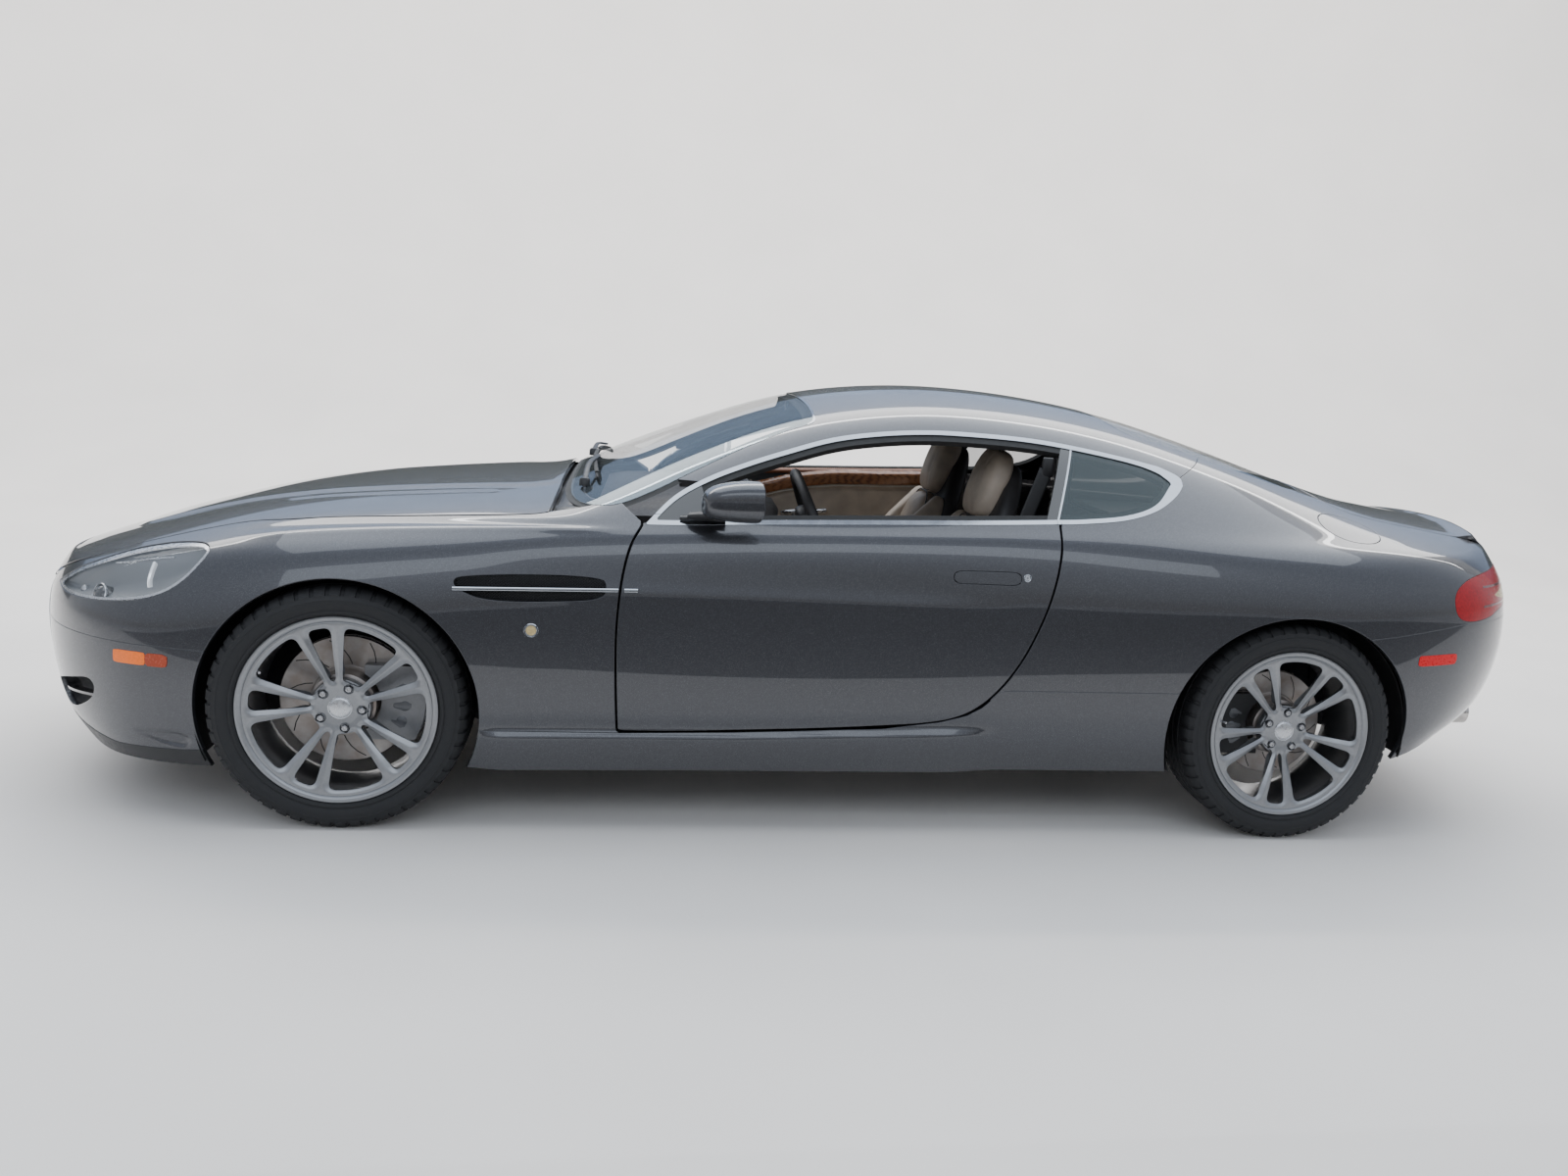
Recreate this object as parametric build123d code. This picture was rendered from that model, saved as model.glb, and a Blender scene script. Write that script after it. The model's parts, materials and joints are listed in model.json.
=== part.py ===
from build123d import *
import math, os

# Two-door coupe, left-hand drive, millimetres. Inside this file X is measured rearward from the front
# axle line, Y to the car's right, Z up from the ground; every piece is shifted by ORIGIN_X at the end so
# that the origin lies on the ground under the middle of the car's length.

os.makedirs("parts", exist_ok=True)

# ---------------------------------------------------------------- driving dimensions
NOSE_X, TAIL_X = -936.0, 3774.0          # front and rear overhang ends
ORIGIN_X = (NOSE_X + TAIL_X) / 2         # 1419
WHEELBASE = 2740.0
TRACK_F, TRACK_R = 1568.0, 1562.0
TYRE_F_R, TYRE_F_W = 335.3, 235.0        # 235/40 R19
TYRE_R_R, TYRE_R_W = 337.5, 275.0        # 275/35 R19
RIM_R = 241.3                            # 19 inch bead seat
HUB_F_Z, HUB_R_Z = TYRE_F_R, TYRE_R_R
ARCH_F_R, ARCH_R_R = 368.0, 368.0
DISC_F_R, DISC_R_R = 177.5, 165.0
STUB_R, BORE_R = 24.00, 24.05
GAP = 6.0                                # shut gap round moving panels
T_GLASS, T_ROOF, T_PANEL, T_DOOR, T_LID = 5.0, 40.0, 45.0, 112.0, 28.0
KING_Y, KING_TILT, KING_CASTER = 678.0, 8.0, 4.0   # steering axis at hub height, lean in, lean back

# ---------------------------------------------------------------- body sections
# x, then (y, z) of: sill, rocker, waist, upper, shoulder, deck, rail, crown, top centre
SECTIONS = [
 (-936, (60,300),  (75,330),  (90,400),  (75,520),  (60,590),  (48,604),  (36,608),  (18,612),  (0,614)),
 (-880, (215,172), (286,250), (403,421), (382,560), (235,634), (150,642), (105,646), (56,648),  (0,649)),
 (-820, (319,169), (473,250), (542,427), (522,560), (418,636), (329,655), (230,665), (118,671), (0,673)),
 (-740, (529,163), (618,250), (659,430), (643,562), (553,647), (440,675), (307,691), (156,699), (0,702)),
 (-560, (760,160), (795,250), (808,430), (792,572), (728,682), (590,722), (410,746), (205,758), (0,762)),
 (-370, (845,164), (866,255), (878,450), (862,606), (802,720), (680,768), (500,798), (250,812), (0,816)),
 (-150, (868,168), (896,262), (910,490), (896,652), (846,756), (738,810), (545,842), (272,856), (0,860)),
 ( 150, (871,172), (903,274), (922,532), (906,694), (863,788), (770,840), (585,873), (292,892), (0,897)),
 ( 470, (862,178), (898,286), (914,550), (903,720), (870,814), (812,858), (700,888), (345,922), (0,930)),
 ( 560, (860,179), (896,288), (912,552), (902,724), (871,820), (824,862), (738,893), (380,945), (0,963)),
 ( 700, (858,180), (895,291), (910,554), (902,730), (873,828), (835,868), (738,930), (410,1006),(0,1028)),
 ( 900, (856,183), (894,294), (908,556), (902,736), (876,836), (844,876), (705,1010),(405,1090),(0,1113)),
 (1200, (856,186), (894,297), (908,558), (903,744), (880,848), (848,890), (650,1118),(390,1196),(0,1222)),
 (1550, (858,190), (896,300), (912,560), (907,752), (884,862), (850,906), (612,1180),(370,1256),(0,1280)),
 (1900, (862,195), (900,303), (920,562), (915,758), (890,872), (850,922), (598,1184),(360,1260),(0,1284)),
 (2250, (868,200), (906,306), (930,565), (924,765), (893,872), (832,938), (588,1150),(350,1222),(0,1244)),
 (2600, (872,205), (910,312), (937,570), (930,775), (892,872), (800,938), (575,1082),(340,1142),(0,1160)),
 (2900, (866,215), (906,325), (934,580), (922,785), (874,875), (760,932), (560,1012),(330,1058),(0,1072)),
 (3150, (840,250), (880,345), (908,590), (894,792), (835,874), (715,924), (535,966), (310,998), (0,1010)),
 (3300, (777,288), (836,368), (874,597), (856,795), (785,871), (671,912), (504,948), (286,974), (0,985)),
 (3500, (600,320), (708,394), (774,601), (739,793), (635,866), (533,905), (389,934), (216,951), (0,959)),
 (3630, (320,334), (520,408), (633,600), (570,788), (420,886), (310,912), (220,924), (120,929), (0,932)),
 (3710, (120,380), (260,430), (440,600), (330,770), (180,830), (120,842), (90,846),  (50,848),  (0,850)),
 (3774, (60,520),  (90,540),  (130,600), (100,680), (70,700),  (50,704),  (36,706),  (18,707),  (0,708)),
]


def half(row, t=0.0):
    """half section moved inward by t along its own normals"""
    pts = [(0.0, row[1][1])] + [tuple(map(float, p)) for p in row[1:]]
    if t == 0:
        return pts
    out = []
    for i, (y, z) in enumerate(pts):
        a = pts[i - 1] if i else (-pts[1][0], pts[1][1])
        b = pts[i + 1] if i + 1 < len(pts) else (-pts[-2][0], pts[-2][1])
        n = []
        for p, q in ((a, (y, z)), ((y, z), b)):
            dy, dz = q[0] - p[0], q[1] - p[1]
            l = math.hypot(dy, dz) or 1.0
            n.append((dz / l, -dy / l))
        ny, nz = n[0][0] + n[1][0], n[0][1] + n[1][1]
        l = math.hypot(ny, nz)
        ny, nz = ny / l, nz / l
        c = max(0.5, ny * n[0][0] + nz * n[0][1])
        out.append((max(0.0, y - ny * t / c) if 0 < i < len(pts) - 1 else 0.0, z - nz * t / c))
    return out


def body(t=0.0, x0=NOSE_X, x1=TAIL_X):
    """ruled body between x0 and x1, t inside the outer surface"""
    wires = []
    rows = [r for r in SECTIONS if x0 <= r[0] <= x1]
    for r in rows:
        h = half(r, t)
        ring = h + [(-y, z) for y, z in reversed(h[1:-1])]
        wires.append(Wire.make_polygon([Vector(r[0], y, z) for y, z in ring], close=True))
    return Solid.make_loft(wires, ruled=True)


def prism_xz(pts, y0, y1):
    f = Face(Wire.make_polygon([Vector(x, y0, z) for x, z in pts], close=True))
    return Solid.extrude(f, Vector(0, y1 - y0, 0))


def prism_xy(pts, z0, z1):
    f = Face(Wire.make_polygon([Vector(x, y, z0) for x, y in pts], close=True))
    return Solid.extrude(f, Vector(0, 0, z1 - z0))


def prism_yz(pts, x0, x1):
    f = Face(Wire.make_polygon([Vector(x0, y, z) for y, z in pts], close=True))
    return Solid.extrude(f, Vector(x1 - x0, 0, 0))


def box(x0, x1, y0, y1, z0, z1):
    x0, x1, y0, y1, z0, z1 = min(x0, x1), max(x0, x1), min(y0, y1), max(y0, y1), min(z0, z1), max(z0, z1)
    return Pos((x0 + x1) / 2, (y0 + y1) / 2, (z0 + z1) / 2) * Box(x1 - x0, y1 - y0, z1 - z0)


def cyl_y(x, z, r, y0, y1):
    return Pos(x, (y0 + y1) / 2, z) * Rot(90, 0, 0) * Cylinder(r, abs(y1 - y0))


def cyl_x(y, z, r, x0, x1):
    return Pos((x0 + x1) / 2, y, z) * Rot(0, 90, 0) * Cylinder(r, abs(x1 - x0))


def rod(a, b, r):
    a, b = Vector(*a), Vector(*b)
    d = b - a
    return Solid.make_cylinder(r, d.length, Plane(origin=a, z_dir=d))


def mirror_y(s):
    return s.mirror(Plane.XZ)


def solids(s):
    """largest solids of a shape, dropping crumbs"""
    out = [x for x in s.solids() if x.volume > 2000]
    return out


def both(s):
    return Compound(solids(s) + [mirror_y(x) for x in solids(s)])


PARTS = {}


def put(name, *shapes):
    sol = []
    for s in shapes:
        sol += solids(s)
    c = sol[0] if len(sol) == 1 else Compound(sol)
    PARTS[name] = c


# ---------------------------------------------------------------- outlines
# side outline of the door, (x, z), rear edge curved round the rear arch; top is the belt line
BELT = [(775, 866), (1972, 926)]
DOOR = [(775, 866), (752, 820), (731, 712), (726, 600), (727, 450), (738, 300), (1100, 308), (1473, 330),
        (1640, 352), (1714, 374), (1800, 440), (1904, 613), (1950, 740), (1972, 926)]
DOOR_INNER = [(790, 866), (768, 820), (746, 712), (742, 600), (743, 450), (750, 318), (1100, 326), (1473, 350),
              (1625, 370), (1696, 394), (1780, 460), (1878, 625), (1924, 745), (1944, 925)]
WINDOW = [(800, 862), (1984, 922), (1994, 1152), (1700, 1168), (1517, 1160), (1330, 1118), (1150, 1056), (980, 978)]
QUARTER_WINDOW = [(2028, 946), (2240, 957), (2340, 1000), (2392, 1052), (2300, 1106), (2180, 1136), (2034, 1150)]
SILL = [(392, 140), (392, 292), (1100, 301), (1473, 323), (1646, 345), (1722, 367), (1806, 433), (1822, 452),
        (2420, 462), (2420, 140)]
BONNET = [(-862, 0), (-858, 120), (-838, 250), (-790, 355), (-700, 452), (-560, 545), (-370, 622), (-150, 676),
          (150, 722), (350, 742), (505, 748), (505, 0)]
BOOT = [(2990, 0), (2992, 380), (3010, 470), (3060, 505), (3300, 470), (3500, 415), (3630, 350), (3800, 340), (3800, 0)]
WINDSCREEN = [(588, 0), (596, 400), (640, 676), (700, 690), (1262, 566), (1240, 300), (1226, 0)]
REAR_WINDOW = [(2226, 0), (2232, 300), (2262, 500), (2300, 535), (2860, 490), (2905, 440), (2930, 300), (2938, 0)]
HEADLAMP = [(-806, 586), (-740, 640), (-640, 676), (-500, 716), (-390, 744), (-332, 752), (-356, 722), (-450, 644),
            (-560, 612), (-700, 590)]
TAIL_LAMP = [(3420, 672), (3520, 664), (3660, 668), (3660, 800), (3560, 812), (3450, 800), (3408, 740)]


def grow(pts, d):
    """outline moved outward by d"""
    w = Wire.make_polygon([Vector(x, z, 0) for x, z in pts], close=True)
    o = w.offset_2d(d, kind=Kind.INTERSECTION)
    return [(e.position_at(0).X, e.position_at(0).Y) for e in o.order_edges()]


def sym(pts):
    return pts + [(x, -y) for x, y in reversed(pts) if y != 0]


# ---------------------------------------------------------------- body solids
OUT = body()
IN_GLASS = body(T_GLASS)
IN_ROOF = body(T_ROOF)
IN_LID = body(T_LID, -880, 3710)
IN_PANEL = body(T_PANEL, -820, 3630)
IN_DOOR = body(T_DOOR, 470, 2250)
ARCHES = [cyl_y(0, HUB_F_Z, ARCH_F_R, -1000, 1000), cyl_y(WHEELBASE, HUB_R_Z, ARCH_R_R, -1000, 1000)]


L0, L1 = -1100.0, 0.0           # left half
BONNET_X1 = 505.0
door_hole = prism_xz(grow(DOOR, GAP), L0, -560)
bonnet_cut = prism_xy(sym(BONNET), 560, 1100)
bonnet_hole = prism_xy(sym([(BONNET[0][0] - 12, 0)] + [(x - (12 if x < -500 else 0), y + GAP) for x, y in BONNET[1:-2]]
                           + [(BONNET_X1 + GAP, 748 + GAP), (BONNET_X1 + GAP, 0)]), 540, 1100)
boot_cut = prism_xy(sym(BOOT), 696, 1100)
boot_hole = prism_xy(sym([(BOOT[0][0] - GAP, 0)] + [(x - (GAP if i < 2 else 0), y + GAP)
                          for i, (x, y) in enumerate(BOOT[1:-1])] + [(3800, 0)]), 696 - GAP, 1100)
head_cut = prism_xz(HEADLAMP, L0, -330)
tail_cut = prism_xz(TAIL_LAMP, L0, -440)
above = prism_xz([(700, 1050), (700, 905), (788, 876), (1972, 932), (2440, 956), (2440, 1400), (700, 1400)], L0, -L0)
ws_cut = prism_xy(sym(WINDSCREEN), 820, 1400)
rw_cut = prism_xy(sym(REAR_WINDOW), 900, 1400)
window_cut = prism_xz(WINDOW, L0, -L0)
qwin_cut = prism_xz(QUARTER_WINDOW, L0, -L0)
cowl_cut = prism_xy(sym([(BONNET_X1 + GAP, 0), (BONNET_X1 + GAP, 690), (690, 690), (690, 0)]), 700, 1100)
sill_cut = prism_xz(SILL, L0, -L0)
front_seam = [(-1000, 120), (-1000, 486), (-280, 486), (-280, 120)]
rear_seam = [(2900, 120), (2900, 636), (2957, 644), (3299, 690), (3900, 690), (3900, 120)]

# ---- doors: full outline through the outer 45 mm, set back round the edge behind it
DOOR_IN_Y = 778.0
door_shell = (OUT & prism_xz(DOOR, L0, -DOOR_IN_Y)) - IN_PANEL
door_core = (IN_PANEL & prism_xz(DOOR_INNER, L0, -DOOR_IN_Y)) - IN_DOOR
slot = prism_xz([(806, 462), (1762, 462), (1850, 600), (1888, 715), (1896, 1000), (806, 1000)], -842, -830)
door = (door_shell + door_core) - slot
door = max(door.solids(), key=lambda q: q.volume)
pane = prism_xz([(812, 470), (1758, 470), (1846, 604), (1882, 718), (1890, 900), (850, 860), (812, 800)], -838.5, -833.5)
put("door_left", door)
put("door_right", mirror_y(door))
put("door_glass_left", pane)
put("door_glass_right", mirror_y(pane))

# mirror: foot on the door's front corner, arm, housing
foot = prism_xz([(812, 872), (900, 876), (1010, 884), (990, 930), (900, 925), (850, 905)], -862, -838) - OUT
arm = rod((905, -850, 905), (955, -935, 925), 14)
shell = Box(165, 125, 96)
shell = Pos(1015, -950, 962) * Rot(0, 0, -12) * fillet(shell.edges().filter_by(Axis.Y), 30)
mirror = max((foot + arm + shell - OUT).solids(), key=lambda q: q.volume)
put("mirror_left", mirror)
put("mirror_right", mirror_y(mirror))

# ---- bonnet and boot lid
bonnet = max(((OUT & bonnet_cut) - IN_LID).solids(), key=lambda q: q.volume)
put("bonnet", bonnet)
boot = (OUT & boot_cut) - IN_LID
put("boot_lid", max(boot.solids(), key=lambda q: q.volume))

# ---- glass
put("windscreen", max(((OUT & ws_cut) - IN_GLASS).solids(), key=lambda q: q.volume))
put("rear_window", max(((OUT & rw_cut) - IN_GLASS).solids(), key=lambda q: q.volume))
qg = max(((OUT & prism_xz(QUARTER_WINDOW, L0, -500)) - IN_GLASS).solids(), key=lambda q: q.volume)
put("quarter_glass", both(qg))

# ---- roof, pillars and cant rails in one welded frame
roof = (OUT & above) - IN_ROOF - ws_cut - rw_cut - window_cut - qwin_cut
put("roof_frame", max(roof.solids(), key=lambda q: q.volume))

# ---- cowl between bonnet and windscreen
cowl = ((OUT & cowl_cut) - body(30, 470, 700)) - ws_cut
put("cowl_panel", max(cowl.solids(), key=lambda q: q.volume))

# ---- front wings
arch_f = cyl_y(0, HUB_F_Z, ARCH_F_R, L0, -400) + cyl_y(0, HUB_F_Z, ARCH_F_R + 46, -842, -400)   # wider inside, for the steered wheel
arch_r = cyl_y(WHEELBASE, HUB_R_Z, ARCH_R_R, L0, -400)
wing = (OUT & box(-866, 790, L0, 0, 100, 1000)) - IN_PANEL
vent = prism_xz([(300, 668), (462, 664), (620, 672), (600, 700), (460, 716), (330, 718)], L0, -800)
wing = wing - arch_f - bonnet_hole - prism_xz(front_seam, L0, -L0) - head_cut - door_hole - above - sill_cut - ws_cut - cowl_cut - vent
wing = wing - box(-900, -560, -330, 0, 400, 900) - box(-900, 900, -690, 0, 100, 420)
wing = max(wing.solids(), key=lambda q: q.volume)
put("front_fender_left", wing)
put("front_fender_right", mirror_y(wing))

# ---- headlamps and tail lamps, solid lenses set into the skin
lamp = max(((OUT & head_cut) - IN_PANEL - bonnet_hole).solids(), key=lambda q: q.volume)
put("headlamps", both(lamp))
tlamp = max(((OUT & tail_cut) - IN_PANEL - boot_hole).solids(), key=lambda q: q.volume)
put("tail_lamps", both(tlamp))

# ---- bumpers
mouth = prism_yz([(-355, 330), (355, 330), (395, 440), (372, 520), (300, 556), (-300, 556), (-372, 520), (-395, 440)], -1000, -700)
fb = (OUT & (box(-1000, -280, L0, -L0, 100, 486) + box(-1000, -560, -330, 330, 400, 900))) - IN_PANEL
fb = fb - bonnet_hole - head_cut - mirror_y(head_cut) - arch_f - mirror_y(arch_f) - mouth
intake = prism_yz([(-700, 285), (-540, 270), (-520, 340), (-690, 352)], -1000, -560)
fb = fb - intake - mirror_y(intake)
put("front_bumper", max(fb.solids(), key=lambda q: q.volume))
slats = []
band = (OUT - body(26, -880, 3630)) & box(-1000, -780, -400, 400, 300, 580)
inside_mouth = prism_yz([(-353, 332), (353, 332), (393, 440), (370, 518), (299, 554), (-299, 554), (-370, 518), (-393, 440)], -1000, -700)
band = (body(8, -936, 3630) & inside_mouth & box(-1000, -780, -400, 400, 300, 580)) - body(34, -936, 3630)
z = 352.0
ribs = [box(-1000, -700, y - 5, y + 5, 300, 580) for y in (-180, 180)]
bars = [box(-1000, -700, -400, 400, z + 34 * i, z + 34 * i + 11) for i in range(6)]
cut = bars[0]
for b in bars[1:] + ribs:
    cut = cut + b
put("grille", band & cut)

rb = (OUT & prism_xz(rear_seam, L0, -L0)) - IN_PANEL
rb = rb - arch_r - mirror_y(arch_r) - boot_hole - tail_cut - mirror_y(tail_cut)
rb = rb - box(3060, 3560, -560, 560, 150, 425)
put("rear_bumper", max(rb.solids(), key=lambda q: q.volume))

# ---- rear wings and fuel flap
FLAP_C, FLAP_R = (2955.0, -700.0, 951.0), 92.0
fn = Vector(0.12, -0.36, 0.93).normalized()
flap_axis = Plane(origin=Vector(*FLAP_C) - fn * 60, z_dir=fn)
flap_tool = Solid.make_cylinder(FLAP_R, 120, flap_axis)
flap_hole = Solid.make_cylinder(FLAP_R + 5.5, 120, flap_axis)
quarter = (OUT & box(1700, 3800, L0, 0, 100, 1300)) - IN_PANEL - box(1600, 3800, -640, 0, 100, 440)
quarter = quarter - door_hole - arch_r - sill_cut - above - rw_cut - boot_hole - tail_cut - prism_xz(rear_seam, L0, -L0) - qwin_cut
quarter_l = max(quarter.solids(), key=lambda q: q.volume)
put("quarter_panel_right", mirror_y(quarter_l))
put("quarter_panel_left", max((quarter_l - flap_hole).solids(), key=lambda q: q.volume))
flap = (OUT & flap_tool) - body(12, 2600, 3500)
put("fuel_flap", max(flap.solids(), key=lambda q: q.volume))

# ---- sills
sill = (OUT & prism_xz(SILL, L0, -700)) - arch_f - arch_r - door_hole - cyl_y(WHEELBASE, HUB_R_Z, ARCH_R_R + 44, L0, -600)
sill = max(sill.solids(), key=lambda q: q.volume)
put("sills", both(sill))

# ---- floor structure
floor = box(420, 2420, -700, 700, 178, 200)
tunnel = box(420, 2420, -150, 150, 200, 440) - box(400, 2440, -135, 135, 170, 425)
floor = floor + tunnel + box(450, 478, -700, 700, 200, 780) + box(2400, 2420, -560, 560, 200, 860)
floor = floor - box(400, 2440, -135, 135, 170, 425)
for s in (-1, 1):
    floor = floor + box(-620, 460, s * 415 - 30, s * 415 + 30, 420, 500)
    floor = floor + box(2400, 3440, s * 480 - 30, s * 480 + 30, 440, 500)
    for xa in (-300, 260):
        floor = floor + box(xa, xa + 40, s * 440, s * 474, 420, 500)
    for xa in (2500, 2940):
        floor = floor + box(xa, xa + 40, s * 505, s * 604, 440, 500)
floor = floor + box(-640, -600, -560, 560, 240, 570)                  # radiator panel
floor = floor + box(3420, 3450, -510, 510, 440, 560) + box(2940, 3440, -510, 510, 480, 492)   # boot floor
tubs = None
for x, zz, w in ((0.0, HUB_F_Z, 470.0), (WHEELBASE, HUB_R_Z, 600.0)):
    ring = cyl_y(x, zz, 418, L0, -w) - cyl_y(x, zz, 411, L0, -w + 7)
    ring = (ring & box(x - 500, x + 500, L0, -w, 300, 900)) & IN_PANEL
    tubs = ring if tubs is None else tubs + ring
tubs = tubs - sill_cut - door_hole - head_cut
for t in solids(tubs):
    floor = floor + t + mirror_y(t)
for s in (-1, 1):
    floor = floor - cyl_y(0, HUB_F_Z, 411, s * 476, s * 900) - cyl_y(WHEELBASE, HUB_R_Z, 411, s * 607, s * 1000)
    floor = floor - box(2700, 2780, s * 560, s * 720, 100, 560)
put("floor_pan", max(floor.solids(), key=lambda q: q.volume))

# ---- heavy masses and what hangs below
put("engine_block", box(-180, 400, -290, 290, 250, 700))
drive = box(2440, 2900, -170, 170, 215, 435) + cyl_x(0, 345, 45, 480, 2440)
drive = drive + cyl_y(WHEELBASE, HUB_R_Z, 22, -645, -170) + cyl_y(WHEELBASE, HUB_R_Z, 22, 170, 645)
put("transaxle", drive)
ex = None
for s in (-1, 1):
    a = cyl_x(s * 70, 250, 30, 420, 2425) + rod((2425, s * 70, 250), (3190, s * 235, 268), 30) + cyl_x(s * 470, 318, 42, 3470, 3598)
    ex = a if ex is None else ex + a
ex = ex + fillet(box(3180, 3480, -520, 520, 222, 372).edges().filter_by(Axis.Y), 50)
for s in (-1, 1):
    ex = ex - cyl_x(s * 470, 318, 36, 3490, 3700)
put("exhaust", ex)
for n in ("rear_bumper", "floor_pan"):
    for s in (-1, 1):
        PARTS[n] = PARTS[n] - cyl_x(s * 470, 318, 56, 3440, 3800)
    PARTS[n] = max(PARTS[n].solids(), key=lambda q: q.volume)
PARTS["transaxle"] = PARTS["transaxle"] - PARTS["exhaust"]
PARTS["transaxle"] = max(PARTS["transaxle"].solids(), key=lambda q: q.volume)

# ---- steering axis, left side: through (0, -KING_Y, hub height)
ta, tb = math.tan(math.radians(KING_CASTER)), math.tan(math.radians(KING_TILT))
def king(z):
    return (ta * (z - HUB_F_Z), -KING_Y + tb * (z - HUB_F_Z), z)

# ---- front cradle, wishbones, dampers, rack; rear cradle, links, uprights, calipers
fs = box(-130, 130, -330, 330, 205, 240)
lo, hi = king(196), king(478)
for s in (-1, 1):
    for xa in (-110, 110):
        fs = fs + rod((xa, s * 320, 222), (lo[0], s * -lo[1] - s * 6, 172), 13)
        fs = fs + rod((xa * 0.8, s * 372, 520), (hi[0], s * -hi[1] - s * 6, 500), 10)
    fs = fs + Pos(lo[0], s * -lo[1], 172) * Cylinder(17, 16) + Pos(hi[0], s * -hi[1], 500) * Cylinder(15, 16)
    fs = fs + rod((0, s * 520, 205), (0, s * 500, 690), 26)
    fs = fs + box(-100, 100, s * 372 - 16, s * 372 + 16, 500, 560) + box(-60, 60, s * 372 - 16, s * 520 + s * 20, 610, 650)
    fs = fs + box(-100, 100, s * 372 - 16, s * 372 + 16, 225, 660)
fs = fs + cyl_y(-215, 262, 24, -320, 320) + box(-240, -120, -60, 60, 222, 249)
fs = fs - box(-700, 500, 384, 446, 415, 505) - box(-700, 500, -446, -384, 415, 505)
PARTS["front_subframe"] = Compound(solids(fs))

def caliper(x, z, rd, y_disc, th, rear_side, r_in, half_h):
    """u shaped caliper over the disc edge, left side"""
    y0, y1 = y_disc - th / 2 - 34, y_disc + th / 2 + 30
    c = cyl_y(x, z, rd + 32, y0, y1) - cyl_y(x, z, r_in, y0 - 5, y1 + 5)
    xa, xb = (x + 50, x + 260) if rear_side else (x - 260, x - 50)
    c = c & box(xa, xb, -1000, -500, z - half_h, z + half_h)
    return c - cyl_y(x, z, rd + 6, y_disc - th / 2 - 6, y_disc + th / 2 + 6)

DISC_F_Y, DISC_F_T = -(TRACK_F / 2) + 36, 32.0
DISC_R_Y, DISC_R_T = -(TRACK_R / 2) + 34, 28.0
rs = box(2560, 2900, -340, 340, 172, 200)
for s in (-1, 1):
    up = box(2700, 2780, -692, -655, 225, 455) + cyl_y(WHEELBASE, HUB_R_Z, 62, -700, -655) + cyl_y(WHEELBASE, HUB_R_Z, STUB_R, -838, -690)
    cal = caliper(WHEELBASE, HUB_R_Z, DISC_R_R, DISC_R_Y, DISC_R_T, False, 96, 95)
    up = up + cal + box(2590, 2710, -716, -672, 300, 372)
    up = up - cyl_y(WHEELBASE, HUB_R_Z, 24, -657, -600)
    rs_l = up + rod((2600, -330, 190), (2728, -672, 238), 15) + rod((2880, -330, 190), (2752, -672, 238), 15)
    rs_l = rs_l + rod((2700, -400, 560), (2735, -672, 448), 13) + box(2660, 2760, -420, -390, 190, 600) + box(2600, 2860, -420, -320, 176, 200)
    rs = rs + (rs_l if s < 0 else mirror_y(rs_l))
rs = rs - PARTS["transaxle"] - PARTS["exhaust"]
PARTS["rear_subframe"] = Compound(solids(rs))

# ---- front knuckle with its caliper and stub axle
kn = rod(king(196), king(478), 17) + cyl_y(0, HUB_F_Z, 60, -722, -690) + cyl_y(0, HUB_F_Z, STUB_R, -838, -700)
kn = kn + box(-16, 16, -700, -664, 250, 420) + caliper(0, HUB_F_Z, DISC_F_R, DISC_F_Y, DISC_F_T, True, 94, 105)
kn = kn + box(30, 150, -722, -696, 295, 375) + box(-120, 0, -700, -680, 236, 262)
kn = max(kn.solids(), key=lambda q: q.volume)
put("knuckle_left", kn)
put("knuckle_right", mirror_y(kn))

# ---- wheels: tyre, rim with five twin spokes, ventilated disc
def ring_of(profile, x, z):
    """profile of (radius, y) turned about the wheel's own axis"""
    w = Wire.make_polygon([Vector(x + r, y, z) for r, y in profile], close=True)
    return Solid.revolve(Face(w), 360, Axis(Vector(x, 0, z), Vector(0, 1, 0)))

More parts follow.
